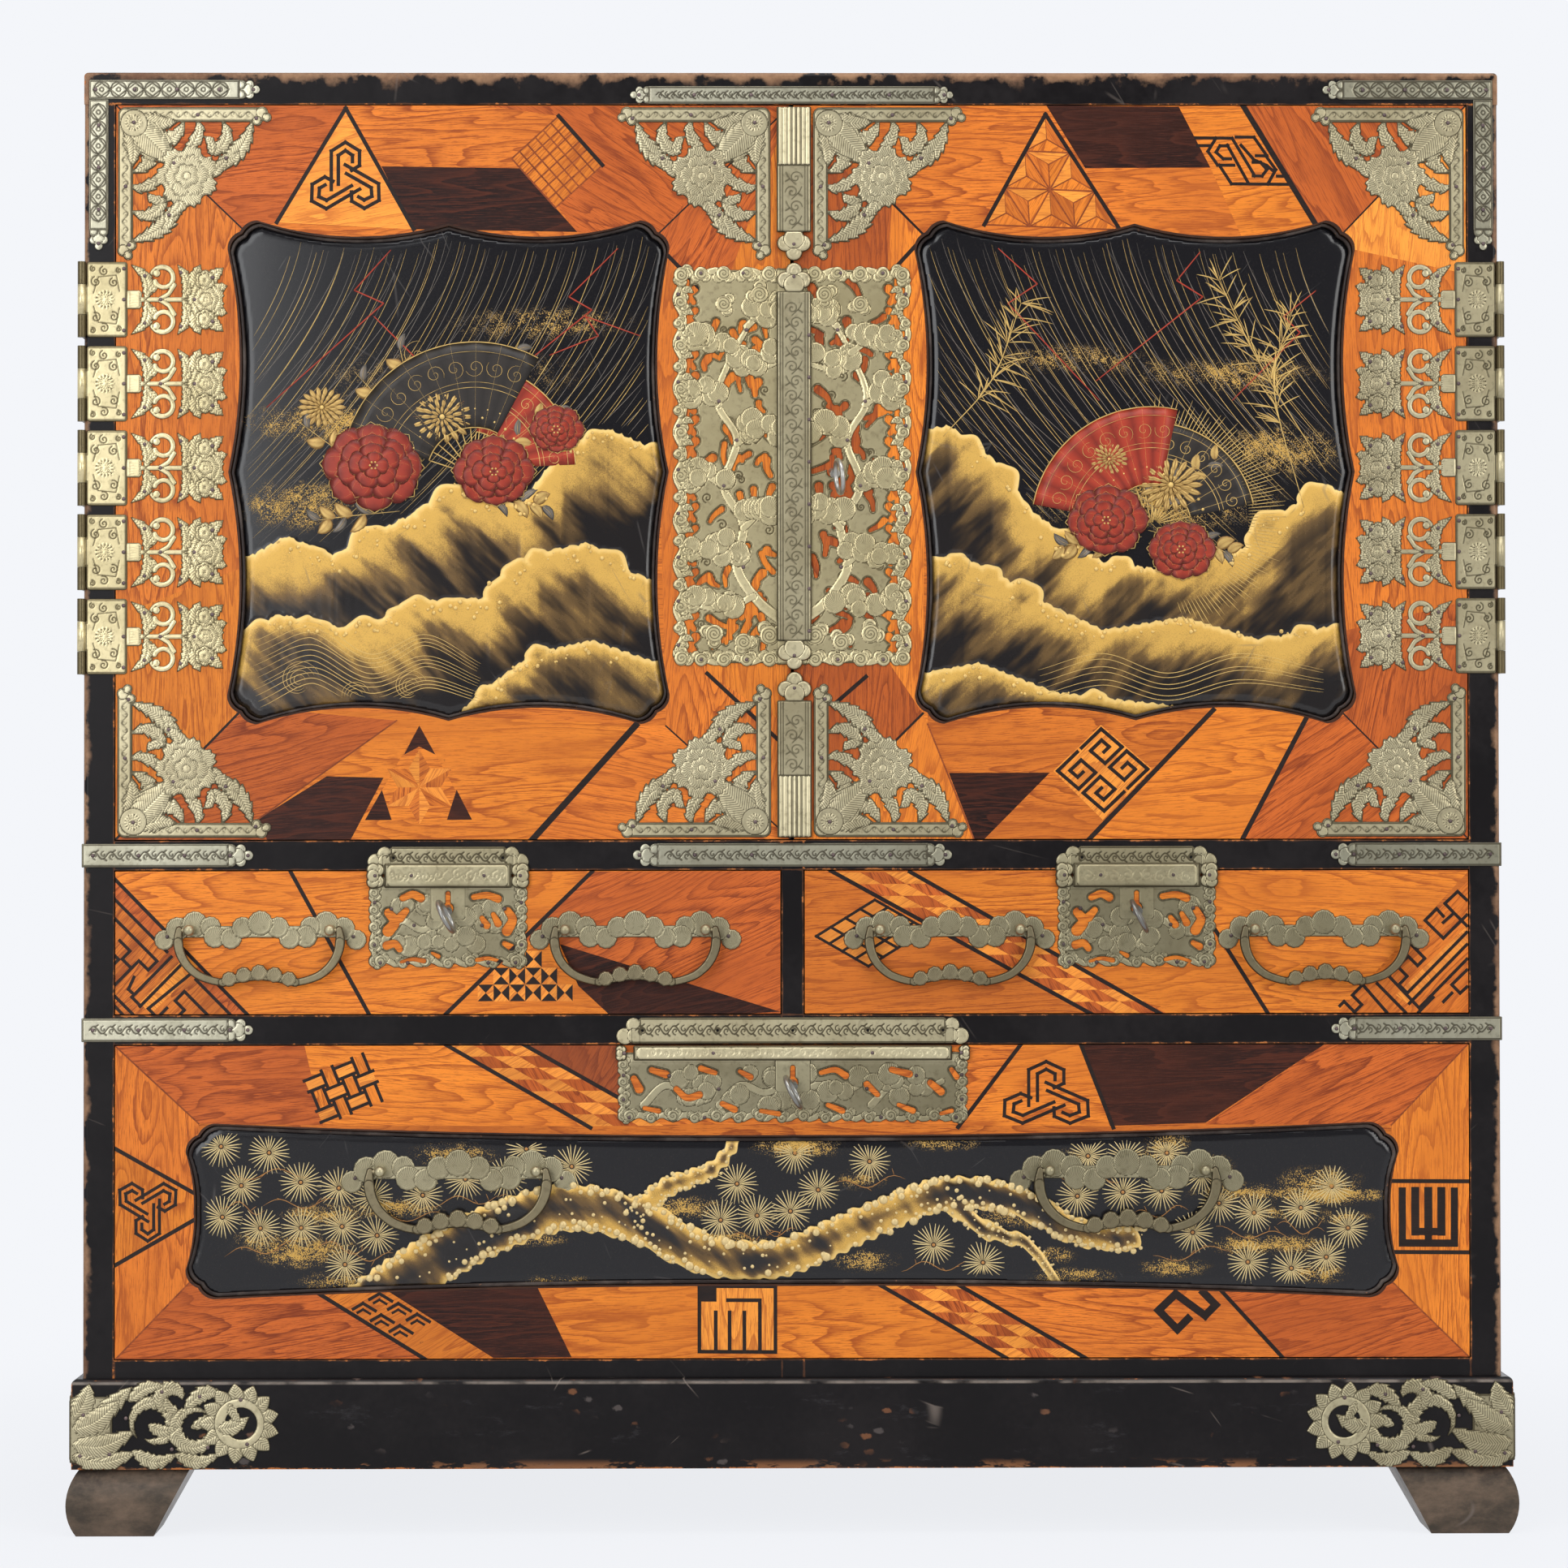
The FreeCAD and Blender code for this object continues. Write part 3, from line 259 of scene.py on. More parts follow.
# lacquer on the boards
lacquer = dict(black=(0.0055, 0.0045, 0.005, 1), dull=(0.019, 0.015, 0.015, 1), brown=(0.085, 0.034, 0.016, 1),
               red=(0.055, 0.014, 0.008, 1), redDull=(0.02, 0.009, 0.008, 1), inner=(0.03, 0.011, 0.007, 1),
               rubbed=(0.30, 0.17, 0.095, 1), rubbedDull=(0.13, 0.062, 0.034, 1), chip=(0.36, 0.12, 0.032, 1),
               bare=((0.05, 0.04, 0.03, 1), (0.17, 0.118, 0.082, 1)), bareEdge=(0.2, 0.085, 0.036, 1),
               knock=((0.075, 0.062, 0.058, 1), (0.16, 0.066, 0.03, 1)), haze=(0.07, 0.066, 0.07, 1),
               dust=(0.16, 0.13, 0.11, 1), dustLine=(0.3, 0.25, 0.21, 1), roughness=0.3, doorBack=22.0)


def boardLacquer(name, boards, outer=None, bandWidth=5.0, scuff=0.25, inside=None, sideX=None, low=None, chips=0.40,
                 dustLine=None, rubs=None):
    # Black lacquer on boards given as (centre, half size) in mm: chips at their edges, a brown worn band at the
    # outer edges of the whole, scratches, and dark red on the sides beyond sideX. Below low the lacquer is worn off.
    shader, place = newMaterial(name, Coat_Weight=0.04, Coat_Roughness=0.1, Specular_IOR_Level=0.14)

    def edge(box):
        return placeGroup(boardEdge, Vector=place, Centre=[c * mm for c in box[0]], Half=[h * mm for h in box[1]])[0]
    distance = None
    for box in boards:
        found = edge(box)
        distance = found if distance is None else lowest(distance, found)
    worn = placeGroup(edgeWear, Vector=place, Distance=distance, Width=1.3, Chips=chips)
    dull = placeGroup(grime, Vector=place, Scale=1.0)[0]
    colour = blendColour(dull * 0.3, lacquer["black"], lacquer["dull"])
    part = axesOf(place)
    if sideX:
        beside = between(abs(part[0]), (sideX - 1.2) * mm, (sideX - 0.4) * mm)
        tone = blendColour(dull, lacquer["red"], lacquer["redDull"])
        colour = blendColour(beside, colour, tone)
    if inside:
        inner = between(abs(part[0]), (inside + 0.3) * mm, (inside - 0.3) * mm)
        back = lacquer["doorBack"]
        inner = inner * between(part[1], faceY + (back - 0.5) * mm, faceY + (back + 0.5) * mm)
        colour = blendColour(inner, colour, lacquer["inner"])
    colour = blendColour(worn[0] * 0.75, colour, lacquer["brown"])
    if outer:
        band = placeGroup(edgeWear, Vector=place, Distance=edge(outer), Width=bandWidth, Chips=0.3)
        tone = blendColour(dull, lacquer["rubbed"], lacquer["rubbedDull"])
        colour = blendColour(band[0], colour, tone)
        colour = blendColour(band[1], colour, lacquer["chip"])
    colour = blendColour(worn[1], colour, lacquer["chip"])
    if low is not None:
        down = between(part[2] + dull * 0.012, (low + 16) * mm, (low - 4) * mm)
        cloudy = noise(stretched(place, (0.7, 1.0, 1.3)), 34.0, 6.0, 0.72)
        bare = blendColour(between(cloudy, 0.3, 0.72), *lacquer["bare"])
        colour = blendColour(down * 0.92, colour, bare)
    if rubs:
        # knocks and rubs: angular grey and brown patches, thinned out by a coarse noise, and a bare lower edge
        patch = put(place.tree, "ShaderNodeTexVoronoi", {"Vector": stretched(place, (1.0, 1.0, 1.7)), "Scale": 62.0})
        blot = 1.0 - between(patch[0] + noise(place, 240.0, 3.0, 0.7) * 0.35, 0.32, 0.42)
        few = between(noise(place, 26.0, 2.0), 0.52, 0.62)
        tones = put(place.tree, "ShaderNodeSeparateColor", {0: patch[1]})[0]
        tone = blendColour(between(tones, 0.35, 0.6), *lacquer["knock"])
        colour = blendColour(blot * few * 0.85, colour, tone)
        foot = between(part[2], rubs * mm + 0.0065, rubs * mm + 0.0005)
        foot = foot * between(noise(stretched(place, (1.0, 1.0, 3.0)), 16.0, 5.0, 0.7), 0.53, 0.57)
        colour = blendColour(foot, colour, lacquer["bareEdge"])
        haze = between(noise(stretched(place, (1.0, 1.0, 3.0)), 24.0, 6.0, 0.75), 0.58, 0.8)
        colour = blendColour(haze * 0.5, colour, lacquer["haze"])
    marks = placeGroup(scratches, Vector=place, Amount=scuff)[0]
    colour = blendColour(marks, colour, lacquer["dust"])
    if dustLine:
        gap = abs(part[2] - dustLine * mm)
        line = 1.0 - between(gap, 0.3 * mm, 1.3 * mm)
        line = line * between(noise(place, 60.0, 4.0), 0.3, 0.6)
        colour = blendColour(line * 0.6, colour, lacquer["dustLine"])
    rough = lacquer["roughness"] + dull * 0.18
    rough = rough + highest(worn[1], marks) * 0.3
    relief = noise(place, 30.0, 2.0) * 0.5 - highest(worn[1], marks * 0.5)
    finishShader(shader, colour, rough, relief, 0.25, 0.0006)


depthMiddle = 11.3      # of the case, behind the doors' face, in mm
wholeCase = ((0, depthMiddle, 493.5), (435, 210, 404.5))
boards = dict(
    stileLacquer=dict(boards=[((-425.5, depthMiddle, 483.5), (9.5, 210, 394.5)),
                              ((425.5, depthMiddle, 483.5), (9.5, 210, 394.5))],
                      outer=wholeCase, inside=416.5, sideX=435),
    topLacquer=dict(boards=[((0, depthMiddle, 888), (435, 210, 10))], outer=wholeCase, bandWidth=9.0),
    railLacquer=dict(boards=[((0, -187.7, 416), (416, 11, 9)), ((0, -187.7, 309), (416, 11, 9)),
                             ((0, 0, 362.5), (6.75, 198.7, 44.5)), ((0, depthMiddle, 98), (416, 210, 9))],
                             scuff=0.15),
    standLacquer=dict(boards=[((0, depthMiddle, 68.5), (441, 216, 27.5))], scuff=0.7, chips=0.45, dustLine=93.5,
                      rubs=41.0),
    footLacquer=dict(boards=[((0, depthMiddle, 20), (440, 215, 20.5))], scuff=0.6, low=40.0))
for name, values in boards.items():
    boardLacquer(name, **values)


# inside wood
def plainWood(name, light, dark, turn):
    shader, place = newMaterial(name, Roughness=0.55)
    grain = stretched(place, (100.0, 100.0, 100.0), turn=(turn, 0, 0))      # metres to centimetres
    wood = placeGroup(woodFigure, Vector=grain, Rings=6.0)
    colour = blendColour(wood[0], light, dark)
    colour = blendColour(wood[1] * 0.35, colour, dark)
    dull = placeGroup(grime, Vector=place, Scale=1.0)[0]
    colour = blendColour(dull * 0.3, colour, [c * 0.45 for c in dark[:3]] + [1])
    finishShader(shader, colour, None, wood[1], 0.25, 0.0004)


insideWoods = dict(paleWood=((0.46, 0.30, 0.16, 1), (0.30, 0.17, 0.08, 1), 0.0),
                   backWood=((0.20, 0.11, 0.055, 1), (0.11, 0.055, 0.028, 1), math.pi / 2),
                   doorWood=((0.12, 0.05, 0.024, 1), (0.05, 0.02, 0.01, 1), math.pi / 2))
for name, values in insideWoods.items():
    plainWood(name, *values)


def blackPaint():
    # Black edges and lips, greyed where they are rubbed.
    shader, place = newMaterial("lipLacquer", Specular_IOR_Level=0.2)
    rubbed = between(noise(place, 38.0, 5.0, 0.65), 0.42, 0.72)
    fine = noise(place, 500.0, 3.0)
    colour = blendColour(rubbed * 0.7, (0.02, 0.013, 0.011, 1), (0.1, 0.078, 0.066, 1))
    colour = blendColour(between(fine, 0.68, 0.74), colour, (0.2, 0.09, 0.045, 1))
    finishShader(shader, colour, 0.28 + rubbed * 0.25, fine, 0.2, 0.0004)


blackPaint()


# metal
# painted light on the metal: gain, the drawers' shade and the rail's and stand's light; blotch and dirt are tarnish
tarnishAndLight = dict(gain=1.34, drawers=(0.46, 0.38), drawersDull=0.40, railFoot=(0.286, 0.291), railTop=(0.318, 0.324),
               railBright=0.42, stand=(0.16, 0.12), standBright=0.28, blotch=0.55, dirt=0.9)


def metalMaterial(name, light, dark, tint, roughness, carved=True, lampDrift=0.26):
    # Old silvered brass: bright on the high places, tarnished in the chased lines, with blotches of another tint.
    # The attribute relief is 1 on the high places and 0 in the cut lines, and low at a sheet's rim for painted shade.
    shader, place = newMaterial(name, Metallic=0.85)
    cloud = noise(place, 22.0, 4.0, 0.6)
    grainy = noise(place, 300.0, 3.0, 0.6)
    colour = blendColour(between(cloud, 0.38, 0.68) * tarnishAndLight["blotch"], light, tint)
    colour = blendColour(between(grainy, 0.5, 0.75) * 0.3, colour, dark)
    part = axesOf(place)
    # painted light by place: the tone falls by lampDrift from left to right as a painted lamp reflection, has painted
    # shade below the doors, and painted light again on the lower rail and the stand; each band's heights are in metres
    gain = tarnishAndLight["gain"] - between(part[0], -0.46, 0.46) * lampDrift
    gain = gain - between(part[2], *tarnishAndLight["drawers"]) * tarnishAndLight["drawersDull"]
    rail = between(part[2], *tarnishAndLight["railFoot"]) - between(part[2], *tarnishAndLight["railTop"])
    gain = gain + rail * tarnishAndLight["railBright"]
    gain = gain + between(part[2], *tarnishAndLight["stand"]) * tarnishAndLight["standBright"]
    shade = put(place.tree, "ShaderNodeCombineColor", {0: gain, 1: gain + 0.02, 2: gain - 0.02})[0]
    colour = blendColour(1.0, colour, shade, "MULTIPLY")
    if carved:
        depth = attribute(place, "relief")
        hollow = 1.0 - between(depth, 0.18, 0.62)
        stain = between(noise(place, 75.0, 5.0, 0.7), 0.5, 0.75)
        colour = blendColour(stain * 0.4, colour, tint)
        # mark counts the fine lines of the graver: a line where it passes a half
        cut = attribute(place, "mark")
        line = abs(calc("FRACT", cut) - 0.5)
        line = (1.0 - between(line, 0.08, 0.26)) * calc("GREATER_THAN", cut, 0.5)
        hollow = highest(hollow, line * 0.8)
        colour = blendColour(hollow * tarnishAndLight["dirt"], colour, dark)
    finishShader(shader, colour, roughness + cloud * 0.16, grainy + cloud * 1.5, 0.12, 0.0005)


metals = dict(mountMetal=((0.46, 0.40, 0.265, 1), (0.045, 0.035, 0.018, 1), (0.25, 0.205, 0.12, 1), 0.36),
              brightMetal=((0.47, 0.44, 0.345, 1), (0.06, 0.05, 0.032, 1), (0.27, 0.245, 0.175, 1), 0.32, True, 0.42),
              yellowMetal=((0.52, 0.44, 0.265, 1), (0.06, 0.043, 0.018, 1), (0.30, 0.245, 0.13, 1), 0.32),
              bailMetal=((0.36, 0.295, 0.185, 1), (0.04, 0.03, 0.016, 1), (0.20, 0.165, 0.10, 1), 0.38),
              nailMetal=((0.12, 0.085, 0.085, 1), (0.03, 0.022, 0.022, 1), (0.07, 0.05, 0.055, 1), 0.36, False),
              keySteel=((0.34, 0.325, 0.31, 1), (0.08, 0.07, 0.065, 1), (0.15, 0.14, 0.14, 1), 0.22, False),
              lockIron=((0.24, 0.22, 0.17, 1), (0.06, 0.05, 0.04, 1), (0.14, 0.12, 0.09, 1), 0.42, False))
for name, values in metals.items():
    metalMaterial(name, *values)
print("finishes ready")


# meshes
def meshObject(name, solid, material, body, stands=(), uv=None):
    # A solid is its points in mm, y from the front face, a list of (array of corner numbers, smooth or not), and a
    # dictionary of the points' attributes.
    points, faces, attributes = solid
    points = np.asarray(points, float) * mm + np.array([0.0, faceY, 0.0])
    mesh = bpy.data.meshes.new(name)
    mesh.vertices.add(len(points))
    mesh.vertices.foreach_set("co", points.astype(np.float32).ravel())
    counts = np.concatenate([np.full(len(f), f.shape[1]) for f, _ in faces])
    corners = np.concatenate([f.ravel() for f, _ in faces]).astype(np.int32)
    mesh.loops.add(len(corners))
    mesh.loops.foreach_set("vertex_index", corners)
    mesh.polygons.add(len(counts))
    mesh.polygons.foreach_set("loop_start", np.concatenate([[0], np.cumsum(counts)[:-1]]).astype(np.int32))
    mesh.update(calc_edges=True)
    mesh.polygons.foreach_set("use_smooth", np.concatenate([np.full(len(f), s, bool) for f, s in faces]))
    for label, values in attributes.items():
        made = mesh.attributes.new(label, "FLOAT", "POINT")
        made.data.foreach_set("value", np.asarray(values, np.float32))
    if uv is not None:
        layer = mesh.uv_layers.new(name="grain")
        layer.data.foreach_set("uv", np.asarray(uv, np.float32).ravel())
    mesh.validate(clean_customdata=False)
    mesh.update()
    piece = bpy.data.objects.new(name, mesh)
    bpy.context.scene.collection.objects.link(piece)
    mesh.materials.append(materials[material])
    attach(piece, body)
    if stands:
        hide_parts(*stands)
    return piece


def ease(t):
    t = np.clip(t, 0.0, 1.0)
    return t * t * (3.0 - 2.0 * t)


def bow(points, steps=8):
    # A smooth line through the points (Catmull-Rom), steps points to a span.
    p = np.asarray(points, float)
    p = np.vstack([2 * p[0] - p[1], p, 2 * p[-1] - p[-2]])
    t = np.linspace(0, 1, steps, endpoint=False)[:, None]
    spans = [0.5 * (2 * b + (c - a) * t + (2 * a - 5 * b + 4 * c - d) * t ** 2 + (3 * b - a - 3 * c + d) * t ** 3)
             for a, b, c, d in zip(p[:-3], p[1:-2], p[2:-1], p[3:])]
    return np.vstack(spans + [p[-2]])


def coil(x, z, r0, r1, start, turns, steps=22):
    # A spiral from radius r0 to r1; start and turns count whole turns, anticlockwise.
    t = np.linspace(0, 1, steps)
    a = 2 * np.pi * (start + turns * t)
    r = r0 + (r1 - r0) * t
    return np.stack([x + r * np.cos(a), z + r * np.sin(a)], 1)


class Relief:
    # Sheet metal on a grid in mm. gap is the signed distance to the outline, below 0 inside; lift is the chased
    # height. Each shape that is laid on rises from its own edge, so that shapes that overlap read apart.

    def __init__(self, x0, x1, z0, z1, step=0.5):
        self.step = step
        self.xs = np.arange(x0, x1 + step / 2, step)
        self.zs = np.arange(z0, z1 + step / 2, step)
        self.x, self.z = np.meshgrid(self.xs, self.zs)
        self.gap = np.full(self.x.shape, 9.0)
        self.mark = np.full(self.x.shape, -9.0)     # counts the graver's lines; none below 0
        self.lift = np.zeros(self.x.shape)

    def window(self, points, reach):
        lo = np.min(points, 0) - reach
        hi = np.max(points, 0) + reach
        i0, i1 = np.searchsorted(self.xs, (lo[0], hi[0]))
        j0, j1 = np.searchsorted(self.zs, (lo[1], hi[1]))
        return slice(max(j0 - 1, 0), j1 + 1), slice(max(i0 - 1, 0), i1 + 1)

    def lineGap(self, line, w, r0=0.0, r1=None):
        # Distance to a line of points less a radius that runs from r0 to r1 along it.
        x, z = self.x[w], self.z[w]
        best = np.full(x.shape, 99.0)
        line = np.asarray(line, float)
        r1 = r0 if r1 is None else r1
        count = max(len(line) - 1, 1)
        for k in range(len(line) - 1):
            a, d = line[k], line[k + 1] - line[k]
            t = np.clip(((x - a[0]) * d[0] + (z - a[1]) * d[1]) / max(d @ d, 1e-9), 0, 1)
            away = np.hypot(x - a[0] - t * d[0], z - a[1] - t * d[1]) - (r0 + (r1 - r0) * (k + t) / count)
            np.minimum(best, away, out=best)
        return best

    def lay(self, w, gap, lift=0.3, edge=0.8, mark=-9.0):
        # the outline is a groove that the metal finish darkens: tarnish between shapes, painted shade at a sheet's
        # open rim
        dome = 0.8 * lift * ease(-gap / edge) - 0.26 * ease(1.0 + gap / 0.75)      # with a dark outline
        self.lift[w] = np.where(gap < 0, dome, self.lift[w])
        self.mark[w] = np.where(gap < -0.45, mark, np.where(gap < 0, -9.0, self.mark[w]))
        self.gap[w] = np.minimum(self.gap[w], gap)

    def cutLine(self, w, away, depth=0.16, width=0.34):
        # a groove of raised cosine section; wider than the grid step, so that it is not missed
        self.lift[w] -= 1.5 * depth * ease(1.0 - np.abs(away) / (1.75 * width))

    def box(self, x0, x1, z0, z1, corner=0.0, lift=0.0, edge=0.6):
        w = self.window([(x0, z0), (x1, z1)], 3.0)
        x, z = self.x[w], self.z[w]
        qx = np.abs(x - (x0 + x1) / 2) - (x1 - x0) / 2 + corner
        qz = np.abs(z - (z0 + z1) / 2) - (z1 - z0) / 2 + corner
        gap = np.hypot(np.maximum(qx, 0), np.maximum(qz, 0)) + np.minimum(np.maximum(qx, qz), 0) - corner
        self.lay(w, gap, lift, edge)

    def disc(self, x, z, r, lift=0.3, edge=0.8):
        w = self.window([(x, z)], r + 2)
        self.lay(w, np.hypot(self.x[w] - x, self.z[w] - z) - r, lift, edge)

    def hole(self, x, z, r):
        w = self.window([(x, z)], r + 3)
        self.gap[w] = np.maximum(self.gap[w], r - np.hypot(self.x[w] - x, self.z[w] - z))

    def slit(self, line, reach, r0, r1=None):
        w = self.window(line, reach)
        self.gap[w] = np.maximum(self.gap[w], -self.lineGap(line, w, r0, r1))

    def stroke(self, line, r0, r1=None, lift=0.3, edge=0.7):
        w = self.window(line, max(r0, r1 or r0) + 2)
        self.lay(w, self.lineGap(line, w, r0, r1), lift, edge)

    def engrave(self, line, depth=0.16, width=0.34):
        w = self.window(line, 1.5)
        self.cutLine(w, self.lineGap(line, w), depth, width)

    def leaf(self, line, width, teeth=0, bite=0.34, lift=0.35, vein=True, full=0.42):
        # A leaf along a line: half width times sin(pi u^k), its edge cut into teeth that point to the tip.
        line = bow(line, 5) if len(line) < 6 else np.asarray(line, float)
        w = self.window(line, width + 2)
        x, z = self.x[w], self.z[w]
        best = np.full(x.shape, 99.0)
        u = np.zeros(x.shape)
        count = len(line) - 1
        for k in range(count):
            a, d = line[k], line[k + 1] - line[k]
            t = np.clip(((x - a[0]) * d[0] + (z - a[1]) * d[1]) / max(d @ d, 1e-9), 0, 1)
            away = np.hypot(x - a[0] - t * d[0], z - a[1] - t * d[1])
            nearer = away < best
            u = np.where(nearer, (k + t) / count, u)
            best = np.minimum(best, away)
        half = width * np.sin(np.pi * np.clip(u, 0, 1) ** (np.log(0.5) / np.log(full))) ** 0.8 + 0.25
        if teeth:
            half = half * (1.0 - bite * np.mod(u * teeth + 0.12 * best, 1.0))
        gap = best - half
        length = np.linalg.norm(np.diff(line, axis=0), axis=1).sum()
        self.lay(w, gap, lift, max(0.7, width * 0.45), 10 + (u * length - 0.8 * best) / 1.75)
        if vein:
            self.cutLine(w, best + np.where(np.abs(u - 0.5) < 0.42, 0, 9), 0.17, 0.34)

    def blossom(self, x, z, r, petals=9, rings=3, ruffle=0.16, lift=0.55):
        # A ruffled flower: rings of petals, each ring a radius waved by |sin|, laid over the wider one.
        w = self.window([(x, z)], r + 2)
        dx, dz = self.x[w] - x, self.z[w] - z
        away, angle = np.hypot(dx, dz), np.arctan2(dz, dx)
        for ring in range(rings):
            size = r * (1.0 - 0.30 * ring)
            count = max(5, petals - ring)
            wave = np.abs(np.sin(0.5 * count * angle + 1.3 * ring)) ** 0.7
            frill = 0.035 * np.cos(count * 4.0 * angle + ring)
            gap = away - size * (1.0 - ruffle * (1 - wave) + frill)
            rays = round(size * 3.6)
            self.lay(w, gap, lift * (0.7 + 0.15 * ring), 2.2, 40 + rays * angle / (2 * np.pi) + 0.6 * np.sin(away))
        self.lay(w, away - r * 0.13, lift, 1.2)

    def daisy(self, x, z, r, petals=16, lift=0.2):
        # A chrysanthemum: rings of narrow petals round a button, chased into what is there.
        w = self.window([(x, z)], r + 1.5)
        dx, dz = self.x[w] - x, self.z[w] - z
        away, angle = np.hypot(dx, dz), np.arctan2(dz, dx)
        for ring, outer in enumerate((1.0, 0.62)):
            half = np.cos(petals * angle + np.pi * ring)
            gap = away - r * outer * (0.86 + 0.14 * np.sqrt(np.clip(half * 0.5 + 0.5, 0, 1)))
            self.lift[w] = np.where(gap < 0, lift * ease(-gap / 0.6) - 0.34 * ease((-half - 0.1) / 0.7), self.lift[w])
        self.lift[w] = np.where(away < r * 0.22, lift * ease((r * 0.22 - away) / 0.5), self.lift[w])

    def tuft(self, x, z, r, ribs=13, lift=0.35, aim=0.25):
        # A pine tuft: a disc with lines that run out from its lower middle.
        w = self.window([(x, z)], r + 1.5)
        dx, dz = self.x[w] - x, self.z[w] - z
        away = np.hypot(dx, dz)
        angle = np.arctan2(dz, dx)
        scallop = 0.3 * np.cos(angle * ribs)
        turn = 2 * np.pi * aim
        hx, hz = dx + 0.6 * r * np.cos(turn), dz + 0.6 * r * np.sin(turn)
        fan = np.arctan2(hz * np.cos(turn) - hx * np.sin(turn), hx * np.cos(turn) + hz * np.sin(turn))
        self.lay(w, away - r + scallop * 0.5, lift, 1.3, 40.5 + fan * 2.1 * ribs / np.pi)
        self.lift[w] += np.where(np.abs(away - r + 1.0) < 0.6, 0.12, 0)

    def cloud(self, x, z, r, way=1.0, aim=0.0):
        # A curled cloud: three lobes round one, with a spiral cut in each.
        a = 2 * np.pi * aim
        for turn, reach, size in ((2.2, 0.62, 0.55), (-2.2, 0.62, 0.55), (0.0, 0.0, 0.72)):
            px, pz = x + r * reach * np.cos(a + turn), z + r * reach * np.sin(a + turn)
            w = self.window([(px, pz)], r * size + 2)
            dx, dz = self.x[w] - px, self.z[w] - pz
            away = np.hypot(dx, dz)
            self.lay(w, away - r * size, 0.4, 0.9, 20.2 + away / 1.9 + way * np.arctan2(dz, dx) / (2 * np.pi))


def outlineGap(x, z, line):
    # Signed distance to a closed line, below 0 inside it.
    line = np.asarray(line, float)
    nxt = np.roll(line, -1, 0)
    best = np.full(x.shape, 1e9)
    inside = np.zeros(x.shape, bool)
    for (ax, az), (bx, bz) in zip(line, nxt):
        dx, dz = bx - ax, bz - az
        t = np.clip(((x - ax) * dx + (z - az) * dz) / max(dx * dx + dz * dz, 1e-12), 0, 1)
        np.minimum(best, (x - ax - t * dx) ** 2 + (z - az - t * dz) ** 2, out=best)
        crosses = (az > z) != (bz > z)
        if dz:
            inside ^= crosses & (x < ax + (z - az) * dx / dz)
    return np.where(inside, -1, 1) * np.sqrt(best)


def solidSide(tris, rim):
    # Which triangles lie on the solid's side of the rim: those that run along a rim edge the same way, and all that
    # join them without crossing the rim.
    size = int(tris.max()) + 1
    ways = np.concatenate([tris[:, [k, (k + 1) % 3]] for k in range(3)]).astype(np.int64)
    owner = np.tile(np.arange(len(tris)), 3)
    forward, backward = ways[:, 0] * size + ways[:, 1], ways[:, 1] * size + ways[:, 0]
    edge = np.unique(rim[:, 0].astype(np.int64) * size + rim[:, 1])
    known = np.zeros(len(tris), int)
    known[owner[np.isin(forward, edge)]] = 1
    known[owner[np.isin(backward, edge)]] = -1
    order = np.argsort(forward)
    spot = np.clip(np.searchsorted(forward[order], backward), 0, len(order) - 1)
    joined = (forward[order][spot] == backward) & ~np.isin(forward, edge) & ~np.isin(backward, edge)
    a, b = owner[joined], owner[order][spot[joined]]
    for _ in range(200):
        fresh = (known[a] == 0) & (known[b] != 0)
        if not fresh.any():
            break
        known[a[fresh]] = known[b[fresh]]
    return known > 0


